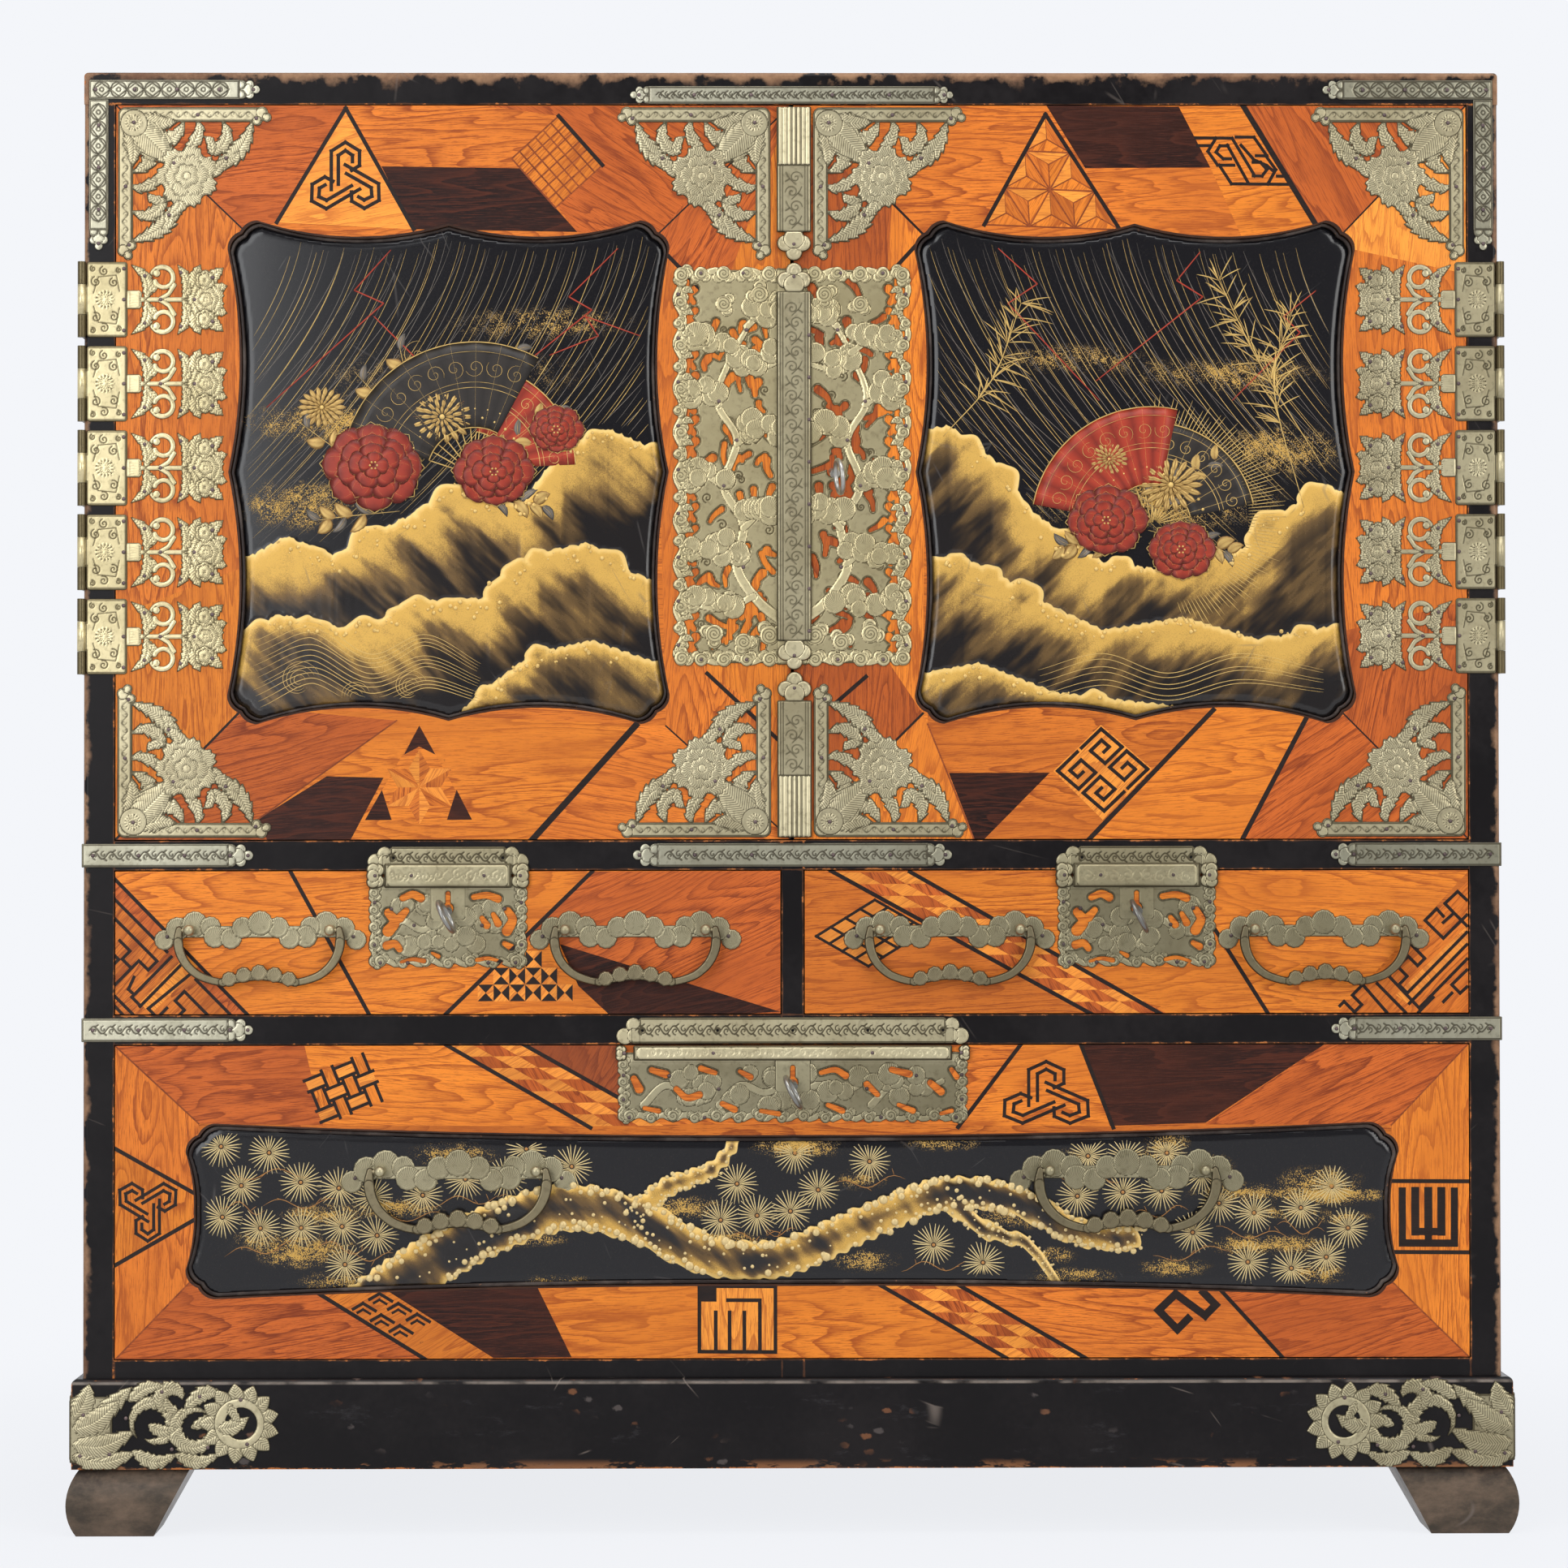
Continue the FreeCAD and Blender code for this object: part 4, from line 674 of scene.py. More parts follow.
def sheetSolid(relief, thickness=0.9, bevel=0.45, bent=None, extra=None):
    # A closed sheet from a relief: whole grid cells inside the outline, their border moved onto the outline along
    # the slope of gap, a front that rises from the border, walls, and a flat back filled between its borders.
    # Returns points (across, up, out), faces and the attribute values.
    gap, step = relief.gap, relief.step
    node = gap < 0.5 * step
    cell = node[:-1, :-1] & node[1:, :-1] & node[:-1, 1:] & node[1:, 1:]
    for _ in range(3):      # cells that meet only at a corner
        one = cell[:-1, :-1] & cell[1:, 1:] & ~cell[1:, :-1] & ~cell[:-1, 1:]
        two = cell[1:, :-1] & cell[:-1, 1:] & ~cell[:-1, :-1] & ~cell[1:, 1:]
        cell[:-1, :-1] &= ~one
        cell[:-1, 1:] &= ~two
    cols = gap.shape[1]
    j, i = np.nonzero(cell)
    start = j * cols + i
    quads = np.stack([start, start + 1, start + cols + 1, start + cols], 1)
    used, renumbered = np.unique(quads, return_inverse=True)
    quads = renumbered.reshape(-1, 4)
    edges = np.concatenate([quads[:, [k, (k + 1) % 4]] for k in range(4)])
    key = edges.min(1).astype(np.int64) * len(used) + edges.max(1)
    _, first, times = np.unique(key, return_index=True, return_counts=True)
    rim = edges[first[times == 1]]
    px, pz = relief.x.ravel()[used], relief.z.ravel()[used]
    slopeZ, slopeX = np.gradient(gap, step)
    sx, sz, g = slopeX.ravel()[used], slopeZ.ravel()[used], gap.ravel()[used]
    border = np.unique(rim)
    reach = g[border] / np.maximum(sx[border] ** 2 + sz[border] ** 2, 0.3)
    size = np.abs(reach) * np.hypot(sx[border], sz[border])
    reach *= np.minimum(1.0, 0.95 * step / np.maximum(size, 1e-9))
    px[border] -= reach * sx[border]
    pz[border] -= reach * sz[border]
    rise = ease(-g / bevel)
    rise[border] = 0.0
    out = thickness * (0.62 + 0.38 * rise) + relief.lift.ravel()[used] * rise
    # relief is low in the cut lines, darkened as tarnish, and towards the sheet's rim, where that darkening is painted
    # shade
    reliefWithRimShade = np.clip(0.44 + relief.lift.ravel()[used] * 2.3, 0, 1) * (0.45 + 0.55 * rise)
    if bent is not None:
        out = out + bent(px)
    front = np.stack([px, pz, out], 1)
    back = np.stack([px[border], pz[border], np.zeros(len(border))], 1)
    toBack = np.full(len(used), -1)
    toBack[border] = len(used) + np.arange(len(border))
    walls = np.stack([rim[:, 1], rim[:, 0], toBack[rim[:, 0]], toBack[rim[:, 1]]], 1)
    local = np.full(len(used), -1)
    local[border] = np.arange(len(border))
    flat = [Vector((float(a), float(b))) for a, b in back[:, :2]]
    found = geometry.delaunay_2d_cdt(flat, [tuple(int(n) for n in pair) for pair in local[rim]], [], 1, 1e-5)
    numbers, extraPoints = [], []
    for spot, same in zip(found[0], found[3]):
        if same:
            numbers.append(len(used) + same[0])
        else:
            numbers.append(len(used) + len(border) + len(extraPoints))
            extraPoints.append((spot.x, spot.y, 0.0))
    numbers = np.array(numbers)
    corners = numbers[np.array([tuple(f) for f in found[2]], int).reshape(-1, 3)]
    corners = corners[solidSide(corners, toBack[rim])]
    points = np.vstack([front, back] + ([np.array(extraPoints)] if extraPoints else []))
    values = {"relief": np.concatenate([reliefWithRimShade, np.full(len(points) - len(used), 0.3)])}
    for label, grid in (extra or {"mark": relief.mark}).items():
        values[label] = np.concatenate([grid.ravel()[used], np.full(len(points) - len(used), -9.0)])
    return points, [(quads, True), (walls, False), (corners[:, ::-1], False)], values


def placed(solid, at=(0, 0, 0), across=(1, 0, 0), up=(0, 0, 1), out=(0, -1, 0)):
    # The solid with its axes along these and its origin at a point in mm, y from the front face. A mirrored one is
    # turned right side out.
    points, faces, values = solid
    axes = np.array([across, up, out], float)
    moved = points @ axes + np.array(at, float)
    if np.linalg.det(axes) < 0:
        faces = [(f[:, ::-1], s) for f, s in faces]
    return moved, faces, values


def together(solids):
    # Several solids as one.
    points, byKind, count = [], {}, 0
    labels = {label for _, _, v in solids for label in v}
    values = {label: [v.get(label, np.zeros(len(p))) for p, _, v in solids] for label in labels}
    for p, faces, _ in solids:
        for f, s in faces:
            byKind.setdefault((f.shape[1], s), []).append(f + count)
        points.append(p)
        count += len(p)
    faces = [(np.concatenate(parts), s) for (_, s), parts in byKind.items()]
    return np.vstack(points), faces, {label: np.concatenate(parts) for label, parts in values.items()}


def sweptAlong(path, tangents, profile, closed=True, up=(0.0, -1.0, 0.0)):
    # A closed profile of (out, rise) carried along a path: out is square to the path, rise along up.
    path, tangents, profile = (np.asarray(a, float) for a in (path, tangents, profile))
    up = np.asarray(up, float)
    tangents = tangents / np.linalg.norm(tangents, axis=1)[:, None]
    side = np.cross(tangents, up)
    points = (path[:, None, :] + side[:, None, :] * profile[None, :, :1] + up * profile[None, :, 1:]).reshape(-1, 3)
    n, m = len(path), len(profile)
    k = np.arange(n if closed else n - 1)[:, None] * m
    l = np.arange(m)[None, :]
    ahead = (k + m) % (n * m)
    quads = np.stack([k + l, k + (l + 1) % m, ahead + (l + 1) % m, ahead + l], 2).reshape(-1, 4)
    faces = [(quads, True)]
    if not closed:
        faces += [(np.arange(m)[None, ::-1], False), (np.arange(m)[None, :] + (n - 1) * m, False)]
    # right side out: the signed volume of the quads is positive
    a, b, c, d = (points[quads[:, q]] for q in range(4))
    volume = np.einsum("ij,ij->", a, np.cross(b, c)) + np.einsum("ij,ij->", a, np.cross(c, d))
    if volume < 0:
        faces = [(f[:, ::-1], s) for f, s in faces]
    return points, faces, {}


def studs(places, radius=1.25, height=0.8, around=10):
    # Domed nail heads at (x, y, z, dx, dy, dz): a profile turned round each, closed at the top by one point.
    a = np.linspace(0, 2 * np.pi, around, endpoint=False)
    rings = [(1.0, -0.3), (1.0, 0.15), (0.82, 0.62), (0.45, 0.92)]
    parts = []
    for x, y, z, dx, dy, dz in places:
        out = np.array([dx, dy, dz], float)
        side = np.cross(out, (0.0, 0.0, 1.0) if abs(dz) < 0.9 else (1.0, 0.0, 0.0))
        side /= np.linalg.norm(side)
        other = np.cross(out, side)
        ring = np.cos(a)[:, None] * side + np.sin(a)[:, None] * other
        layers = [np.array([x, y, z]) + ring * r * radius + out * h * height for r, h in rings]
        points = np.vstack(layers + [np.array([x, y, z]) + out * height, np.array([x, y, z]) - out * 0.3 * height])
        quads, k, nxt = ringQuads(around, len(rings))
        top, low = len(rings) * around, len(rings) * around + 1
        caps = np.vstack([np.stack([(len(rings) - 1) * around + k, (len(rings) - 1) * around + nxt,
                                    np.full(around, top)], 1),
                          np.stack([nxt, k, np.full(around, low)], 1)])
        parts.append((points, [(quads, True), (caps, True)], {}))
    return together(parts)


print("mesh tools ready")


# chased and pierced metal
def vine(relief, x0, x1, z, swing, pitch):
    # A running scroll cut into a band: a sine stem with a curl and a leaf in each bend.
    t = np.linspace(x0, x1, max(8, int((x1 - x0) / 1.4)))
    relief.engrave(np.stack([t, z + swing * np.sin(2 * np.pi * (t - x0) / pitch)], 1), 0.15, 0.36)
    count = int((x1 - x0) / pitch * 2)
    for k in range(count):
        way = 1 if k % 2 else -1
        cx = x0 + (k + 0.5) * pitch / 2
        curl = coil(cx + 0.8, z + way * swing * 0.25, swing * 0.85, 0.3, 0.25 * way, way * 0.9, 10)
        relief.engrave(curl, 0.13, 0.3)
        relief.engrave([(cx + 1.2, z - way * swing * 0.9), (cx + 2.6, z - way * swing * 1.35)], 0.13, 0.45)


def frameLine(relief, inset=1.1, depth=0.14):
    # A line cut all round, at a set distance inside the outline.
    relief.lift -= 1.5 * depth * ease(1.0 - np.abs(relief.gap + inset) / 0.55)


def cornerMount():
    # A door's corner mount with its corner at 0, 0: two banded legs, and between them a fan, leaves and a peony.
    r = Relief(-1.0, 97.0, -97.0, 1.0, 0.52)
    sides = (lambda p: [(u, -v) for u, v in p], lambda p: [(v, -u) for u, v in p])
    for side in sides:
        for line, width, teeth in (([(21, 18), (29, 20), (36, 17), (41, 8)], 6.1, 5),
                                   ([(40, 28), (46, 23), (50, 14), (48, 8)], 4.6, 4),
                                   ([(55, 28), (63, 25), (67, 17), (64, 8)], 5.4, 5),
                                   ([(60, 35), (70, 31), (78, 21), (83, 8)], 6.8, 8),
                                   ([(64, 30), (71, 32), (75, 27)], 3.7, 3), ([(52, 38), (61, 38), (68, 31)], 5.4, 4),
                                   ([(58, 30), (57, 22), (53, 18)], 3.6, 3),
                                   ([(30, 22), (32, 28), (37, 31)], 3.3, 2)):
            r.leaf(side(line), width, teeth)
    r.stroke([(20, -20), (34, -34)], 2.4, 1.9, 0.3)
    for side in sides:
        r.stroke(side([(4.7, 4.7), (87, 4.7)]), 4.6, lift=0.05)
    for side in sides:
        r.leaf(side([(12, 6), (24, 10), (37, 9)]), 6.2, 6, 0.3, 0.3)
        r.leaf(side([(12, 9), (25, 18), (34, 22)]), 6.4, 6, 0.3, 0.4)
    r.leaf([(8, -8), (22, -22), (37, -37)], 9.5, 6, 0.2, 0.45)
    for side in sides:
        r.disc(*side([(88.5, 3.3)])[0], 3.7, 0.1)
        r.disc(*side([(91.5, 6.4)])[0], 2.9, 0.1)
        r.disc(*side([(85.5, 8.6)])[0], 3.0, 0.1)
        line = [(t, 4.7 + 1.9 * math.sin((t - 16) * 0.66)) for t in np.arange(16, 84, 1.3)]
        r.engrave(side(line), 0.07, 0.34)
        for k in range(14):
            cx, way = 17.5 + 4.76 * k, 1 if k % 2 else -1
            curl = coil(cx + 1.0, 4.7 - way * 0.5, 1.7, 0.3, 0.25 * way, way * 0.9, 10)
            r.engrave(side([tuple(p) for p in curl]), 0.07, 0.3)
    r.disc(10, -10, 8.5, 0.02)
    r.blossom(42.5, -42.5, 19.5, 7, 4, 0.24)
    r.daisy(9.8, -9.6, 5.4)
    frameLine(r, 1.0)
    return sheetSolid(r)


mountNails = [(9.8, 9.6), (49, 4.8), (4.8, 49), (85, 7), (7, 85), (34.5, 34.5), (66.5, 31.5), (31.5, 66.5)]


def hingeLeaf():
    # The hinge's leaf on the door: a plain chased plate, then a vase, leaves, a heart of two scrolls and a peony.
    r = Relief(-2.0, 89.0, -25.0, 25.0, 0.5)
    r.stroke([(33, 0), (70, 0)], 1.5, lift=0.2)
    for way in (-1, 1):
        def side(p):
            return [(u, way * v) for u, v in p]
        r.leaf(side([(38, 0), (39.5, 8), (37, 15), (29, 21.5)]), 4.3, 5, 0.3)
        r.leaf(side([(39, 4), (43.5, 8), (42.5, 12)]), 2.5, 3)
        r.stroke(coil(48.5, way * 13.2, 7.2, 5.2, 0.42 * way if way > 0 else 0.58, -0.86 * way, 26), 1.7, 1.5, 0.32)
        r.disc(44.6, way * 16.2, 2.4)
        r.stroke(side([(47, 0.5), (52, 3.5), (55.5, 9)]), 1.5, lift=0.3)
        for line, width, teeth, bite in (([(61, 0), (64, 7), (62.5, 14), (57.5, 21.5)], 4.5, 5, 0.3),
                                         ([(62, 3), (66.5, 6), (68.5, 11)], 2.6, 3, 0.34),
                                         ([(70, 4), (68.5, 14), (71.5, 21.5)], 5.0, 5, 0.34),
                                         ([(74, 8), (79, 14), (85.5, 19.5)], 5.2, 6, 0.34),
                                         ([(76, 3), (83, 7), (88, 8.5)], 4.0, 4, 0.34)):
            r.leaf(side(line), width, teeth, bite)
    r.box(25.0, 35.5, -5.8, 5.8, 2.2, 0.3, 1.2)
    for t in np.linspace(-4.2, 4.2, 6):
        r.engrave([(28.5, t), (34.5, t * 0.8)], 0.13, 0.28)
    r.blossom(75.0, 0.0, 11.5, 7, 3, 0.15)
    for way in (-1, 1):
        r.blossom(74.5, way * 12.0, 6.5, 6, 2, 0.18, 0.4)
    r.box(-1.2, 4.0, -9.2, 9.2, 0.2, 0.02)
    r.box(1.6, 26.8, -23.2, 23.2, 2.0, 0.03)
    r.daisy(13.2, 0, 6.0, 14)
    for way in (-1, 1):
        for cx, cz, size in ((7.5, 11, 3.2), (18.5, 10.5, 3.0), (12.5, 17.5, 3.0), (21.5, 18, 1.8), (5.6, 19, 1.9)):
            r.engrave(coil(cx, way * cz, size, 0.4, 0.3, way * 1.4, 20), 0.13, 0.32)
        r.engrave([(6, way * 4), (9, way * 14), (20, way * 15), (22, way * 5)], 0.10, 0.3)
    frameLine(r, 1.0, 0.1)
    return sheetSolid(r, bevel=0.5)


hingeNails = [(24.6, 0), (24.6, 19), (24.6, -19), (37.4, 14.6), (37.4, -14.6), (47.2, 0), (59.5, 16.5), (59.5, -16.5),
              (68, 0), (79, 13.5), (79, -13.5)]


def cloudPlate(seed):
    # The pierced plate beside the meeting edge: a rim of curled clouds, and inside it pine tufts on branches.
    r = Relief(-0.5, 77.0, -126.5, 126.5, 0.56)
    chance = np.random.default_rng(seed)
    half = 125.0
    edge = [(69 + 2.6 * math.sin(z * 0.23 + seed), z) for z in np.linspace(-half + 9, half - 9, 90)]
    r.stroke(edge, 2.0, lift=0.3)
    for way in (-1, 1):
        r.stroke([(t, way * (half - 6 + 1.5 * math.sin(t * 0.3))) for t in np.linspace(8, 68, 24)], 2.2, lift=0.3)
    trunk = bow([(4, -96), (20, -84), (34, -62), (30, -36), (42, -12), (34, 16), (46, 40), (38, 66), (26, 88)], 8)
    r.stroke(trunk, 3.4, 1.8, 0.4)
    branches = [[(33, -60), (46, -52), (62, -58)], [(30, -38), (18, -28), (4, -30)], [(40, -14), (54, -6), (68, -12)],
                [(34, 14), (20, 22), (4, 18)], [(45, 38), (58, 46), (69, 40)], [(38, 64), (22, 60), (4, 66)],
                [(24, -80), (42, -88), (66, -84)], [(36, 70), (50, 78), (68, 74)], [(28, 86), (16, 96), (5, 92)]]
    for line in branches:
        line = bow(line, 6)
        r.stroke(line, 2.3, 1.5, 0.35)
        for share in (0.3, 0.62, 0.95):
            spot = line[int(share * (len(line) - 1))]
            for _ in range(3):
                dx, dz = chance.uniform(-8, 8), chance.uniform(-2, 9)
                size = chance.uniform(5.2, 7.8)
                x = min(max(spot[0] + dx, 7), 62)
                r.tuft(x, spot[1] + dz, size, ribs=11, aim=0.25 + chance.uniform(-0.06, 0.06))
    for k, z in enumerate(np.arange(-half + 12, half - 10, 13.4)):
        big = k % 2 == 0
        r.cloud(70 - (1.5 if big else 0), z, 5.6 if big else 4.6, 1 if big else -1, 0.0)
        r.leaf([(68, z + 5), (64.5, z + 7.5), (60.5, z + 5.5)], 2.2, 0)
    for way in (-1, 1):
        for k, x in enumerate((14, 28, 42, 56)):
            r.cloud(x, way * (half - 6.2), 6.4 - 0.5 * (k % 2), way, 0.25 * way)
        r.cloud(68, way * (half - 7), 6.6, way, 0.1 * way)
    for x, z, size in ((14, -104, 8.5), (30, -108, 7.5), (48, -103, 8.0), (20, 106, 7.5), (42, 100, 7.0)):
        r.cloud(x, z, size, 1, chance.uniform(0, 1))
    r.box(0.8, 9.5, -half + 3, half - 3, 1.0, 0.05)
    base = Relief(-0.5, 77.0, -126.5, 126.5, 0.56)
    base.box(0.8, 63.0, -half + 4, half - 4, 6.0, 0.0)
    for k, z in enumerate(np.arange(-half + 16, half - 12, 13.4)):
        size = chance.uniform(2.0, 3.0)
        base.slit(bow([(60.5, z - 4.5), (63.0, z), (59.5, z + 4.0)], 4), 8, size * 0.7, size)
    for _ in range(64):
        x, z = chance.uniform(13, 55), chance.uniform(-half + 13, half - 13)
        a, long = chance.uniform(-1.2, 1.2), chance.uniform(2.5, 7.0)
        c = np.array([math.sin(a), math.cos(a)]) * long
        spots = bow([(x - c[0], z - c[1]), (x + 1.2, z), (x + c[0], z + c[1])], 4)
        base.slit(spots, 6, chance.uniform(0.9, 1.7), chance.uniform(1.8, 2.9))
    r.gap = np.minimum(r.gap, base.gap)
    for _ in range(26):
        x, z = chance.uniform(14, 58), chance.uniform(-half + 12, half - 12)
        r.engrave(coil(x, z, chance.uniform(2.2, 3.6), 0.4, chance.uniform(0, 1), 1.4, 16), 0.13, 0.32)
    frameLine(r, 0.9, 0.1)
    return r


lockOpenings = dict(
    small=(([(-0.74, -0.36), (-0.66, -0.46), (-0.74, -0.56)], 2.6, 3.6),
           ([(-0.56, -0.20), (-0.44, -0.16), (-0.34, -0.20)], 2.0, 2.6),
           ([(-0.52, -0.34), (-0.60, -0.42)], 2.0, 2.8), ([(-0.76, -0.72), (-0.66, -0.70), (-0.60, -0.76)], 2.6, 2.0),
           ([(-0.58, -0.90), (-0.44, -0.87), (-0.30, -0.89)], 0.9, 1.5),
           ([(0.32, -0.19), (0.48, -0.17), (0.62, -0.21)], 1.8, 2.4),
           ([(0.42, -0.42), (0.48, -0.50)], 1.5, 2.3), ([(0.56, -0.38), (0.62, -0.48)], 1.5, 2.3),
           ([(0.74, -0.34), (0.80, -0.44), (0.73, -0.56)], 2.2, 3.2),
           ([(0.36, -0.88), (0.50, -0.86), (0.66, -0.90)], 1.3, 1.0), ([(0.70, -0.70), (0.78, -0.74)], 1.6, 2.2),
           ([(-0.20, -0.80), (-0.12, -0.84)], 0.8, 1.4)),
    long=(([(-0.90, -0.36), (-0.87, -0.50)], 2.6, 3.4), ([(-0.80, -0.24), (-0.72, -0.30)], 2.2, 3.0),
          ([(-0.84, -0.76), (-0.76, -0.80)], 1.6, 2.0),
          ([(-0.66, -0.50), (-0.60, -0.62), (-0.53, -0.58)], 2.2, 2.8), ([(-0.52, -0.22), (-0.44, -0.28)], 2.4, 1.8),
          ([(-0.40, -0.70), (-0.33, -0.78)], 2.0, 2.6),
          ([(-0.30, -0.26), (-0.24, -0.34)], 1.6, 2.4), ([(-0.18, -0.80), (-0.08, -0.84)], 1.6, 2.0),
          ([(0.16, -0.28), (0.24, -0.24), (0.30, -0.32)], 1.8, 2.6),
          ([(0.20, -0.72), (0.28, -0.80)], 1.8, 2.4), ([(0.42, -0.44), (0.48, -0.58)], 2.6, 2.0),
          ([(0.56, -0.24), (0.66, -0.30)], 2.2, 2.8),
          ([(0.60, -0.72), (0.68, -0.80)], 1.6, 2.4), ([(0.78, -0.42), (0.84, -0.54)], 2.4, 3.0),
          ([(0.90, -0.24), (0.93, -0.34)], 1.8, 2.2),
          ([(0.84, -0.84), (0.90, -0.80)], 1.4, 1.8)))


def lockPlate(width, height, seed):
    # A drawer's pierced lock plate, its top middle at 0, 0: clouds down the sides and along the foot, tufts inside.
    r = Relief(-width / 2 - 1.5, width / 2 + 1.5, -height - 1.5, 1.0, 0.5)
    chance = np.random.default_rng(seed)
    half = width / 2
    rows = max(1, round(width / 60))
    for k in range(rows):
        cx = (k - (rows - 1) / 2) * width * 0.86 / rows
        span = width * 0.40 / rows
        r.stroke(bow([(cx - span, -height * 0.72), (cx - span * 0.4, -height * 0.45),
                      (cx + span * 0.3, -height * 0.55),
                      (cx + span, -height * 0.4)], 6), 2.6, 2.0, 0.35)
        for _ in range(int(8 + 60 / rows / 8)):
            x, z = cx + chance.uniform(-span, span), -height * chance.uniform(0.26, 0.74)
            r.tuft(x, z, chance.uniform(4.6, 7.2), ribs=11)
    r.box(-half + 2, half - 2, -6.5, 0.0, 0.5, 0.05)
    for way in (-1, 1):
        r.stroke([(way * (half - 4 + 1.2 * math.sin(z)), z) for z in np.linspace(-height + 7, -4, 20)], 2.1, lift=0.3)
        for k, z in enumerate(np.arange(-height + 6, -6, 10.5)):
            r.cloud(way * (half - 4.2), z, 4.9, way, 0.5 if way < 0 else 0.0)
    foot = [(x, -height + 5.4 + 1.4 * math.sin(x * 0.45)) for x in np.linspace(-half + 6, half - 6, int(width / 3))]
    r.stroke(foot, 2.0, lift=0.3)
    for k, x in enumerate(np.linspace(-half + 8, half - 8, max(4, int(width / 13)))):
        r.cloud(x, -height + (4.8 if k % 2 else 6.2), 5.2 - 0.6 * (k % 2), 1, 0.75)
    base = Relief(-width / 2 - 1.5, width / 2 + 1.5, -height - 1.5, 1.0, 0.5)
    base.box(-half + 5, half - 5, -height + 5, -0.5, 5.0, 0.0)
    # openings as shares of the plate: a line with a radius that grows along it
    share = height / 56
    r.gap = np.minimum(r.gap, base.gap)
    for line, r0, r1 in lockOpenings["small" if width < 150 else "long"]:
        r.slit(bow([(u * half, v * height) for u, v in line], 4), 7, r0 * share, r1 * share)
    r.box(-11, 11, -25, -2, 3.0, 0.06)
    frameLine(r, 0.9, 0.1)
    return r


def keyHole(relief, x, z):
    relief.hole(x, z, 3.3)
    relief.slit([(x, z), (x, z + 9.0)], 3, 1.5)


def bandPlate(length, height, both=False, engraving="vine"):
    # A strap from x = 0: a chased band with a three-lobed end at +x, or at both ends.
    body = length - height * 1.15
    r = Relief(-length - 1 if both else -1.5, length + 1.5, -height / 2 - 1.5, height / 2 + 1.5)
    for way in ((-1, 1) if both else (1,)):
        e = height * 0.5
        r.disc(way * (body + e * 1.62), 0, e * 0.42, 0.25)
        r.disc(way * (body + e * 0.98), e * 0.52, e * 0.44, 0.25)
        r.disc(way * (body + e * 0.98), -e * 0.52, e * 0.44, 0.25)
        r.disc(way * (body + e * 0.75), 0, e * 0.62, 0.2)
        r.disc(way * (body + 0.15 * e), e * 0.5, e * 0.48, 0.1)
        r.disc(way * (body + 0.15 * e), -e * 0.5, e * 0.48, 0.1)
    r.box(-body if both else 0.0, body, -height / 2, height / 2, 0.3, 0.03)
    if engraving == "vine":
        vine(r, (-body if both else 0) + 5, body + 2, 0.0, height * 0.16, height * 0.72)
    else:
        for k in range(int(body / 10.4)):
            cx = 8 + 10.4 * k
            r.engrave(coil(cx, 0, height * 0.40, height * 0.40, 0, 1, 26), 0.16, 0.36)
            lozenge = [(cx - 5.2, 0), (cx, height * 0.34), (cx + 5.2, 0), (cx, -height * 0.34), (cx - 5.2, 0)]
            r.engrave(lozenge, 0.16, 0.34)
            r.engrave(coil(cx, 0, 1.3, 1.3, 0, 1, 10), 0.14, 0.3)
    frameLine(r, 1.0, 0.12)
    return r


def keeperPlate(width, height):
    # The lock keeper on the rail: a chased band whose ends are stepped into lobes.
    half = width / 2
    r = Relief(-half - 1, half + 1, -1.0, height + 1, 0.5)
    for way in (-1, 1):
        for x, z, size in ((5.2, 4.6, 5.2), (10.5, height - 4.6, 4.6), (11.5, 5, 5)):
            r.disc(way * (half - x), z, size, 0.2)
    r.box(-half + 9, half - 9, 0.0, height * 0.62, 1.5, 0.03)
    r.box(-half + 14, half - 14, 0.0, height, 1.5, 0.03)
    vine(r, -half + 12, half - 12, height * 0.52, height * 0.17, 10.5)
    for x in np.linspace(-half + 16, half - 16, max(2, int(width / 40))):
        r.hole(x, height * 0.5, 0.8)
    frameLine(r, 1.0, 0.12)
    return sheetSolid(r)


def raisedStrip(width, height):
    # The moulded strip over a lock: a raised panel with clipped corners between lobed ends.
    half = width / 2
    r = Relief(-half - 1, half + 1, -height / 2 - 1, height / 2 + 1, 0.5)
    lobe = height * 0.27
    r.box(-half + 11, half - 11, -height / 2, height / 2, 1.0, 0.0)
    for way in (-1, 1):
        for x, z in ((0.5, 0.23), (0.5, -0.23), (1.15, 0.0), (1.3, 0.26), (1.3, -0.26)):
            r.disc(way * (half - lobe * (2.3 - x)), z * height, lobe if x != 1.15 else lobe * 0.9, 0.3, 1.4)
        r.disc(way * (half - lobe), 0, lobe, 0.4, 1.4)
    r.box(-half + 13, half - 13, -height / 2 + 0.8, height / 2 - 0.8, 2.6, 0.6, 1.6)
    for way in (-1, 1):
        for k in range(int(half / 9)):
            cx = way * (6 + 8.0 * k)
            if abs(cx) < half - 18:
                r.engrave(coil(cx, 0.6 * (-1) ** k, height * 0.25, 0.4, 0.25, way * 1.3, 18), 0.2, 0.36)
                r.engrave(coil(cx + way * 4, -0.8 * (-1) ** k, height * 0.14, 0.3, 0.75, -way * 1.2, 12), 0.2, 0.34)
        r.engrave([(0, -height * 0.25), (way * 4, 0), (0, height * 0.25)], 0.15, 0.34)
    frameLine(r, 0.9, 0.12)
    return sheetSolid(r, thickness=2.5, bevel=1.0)


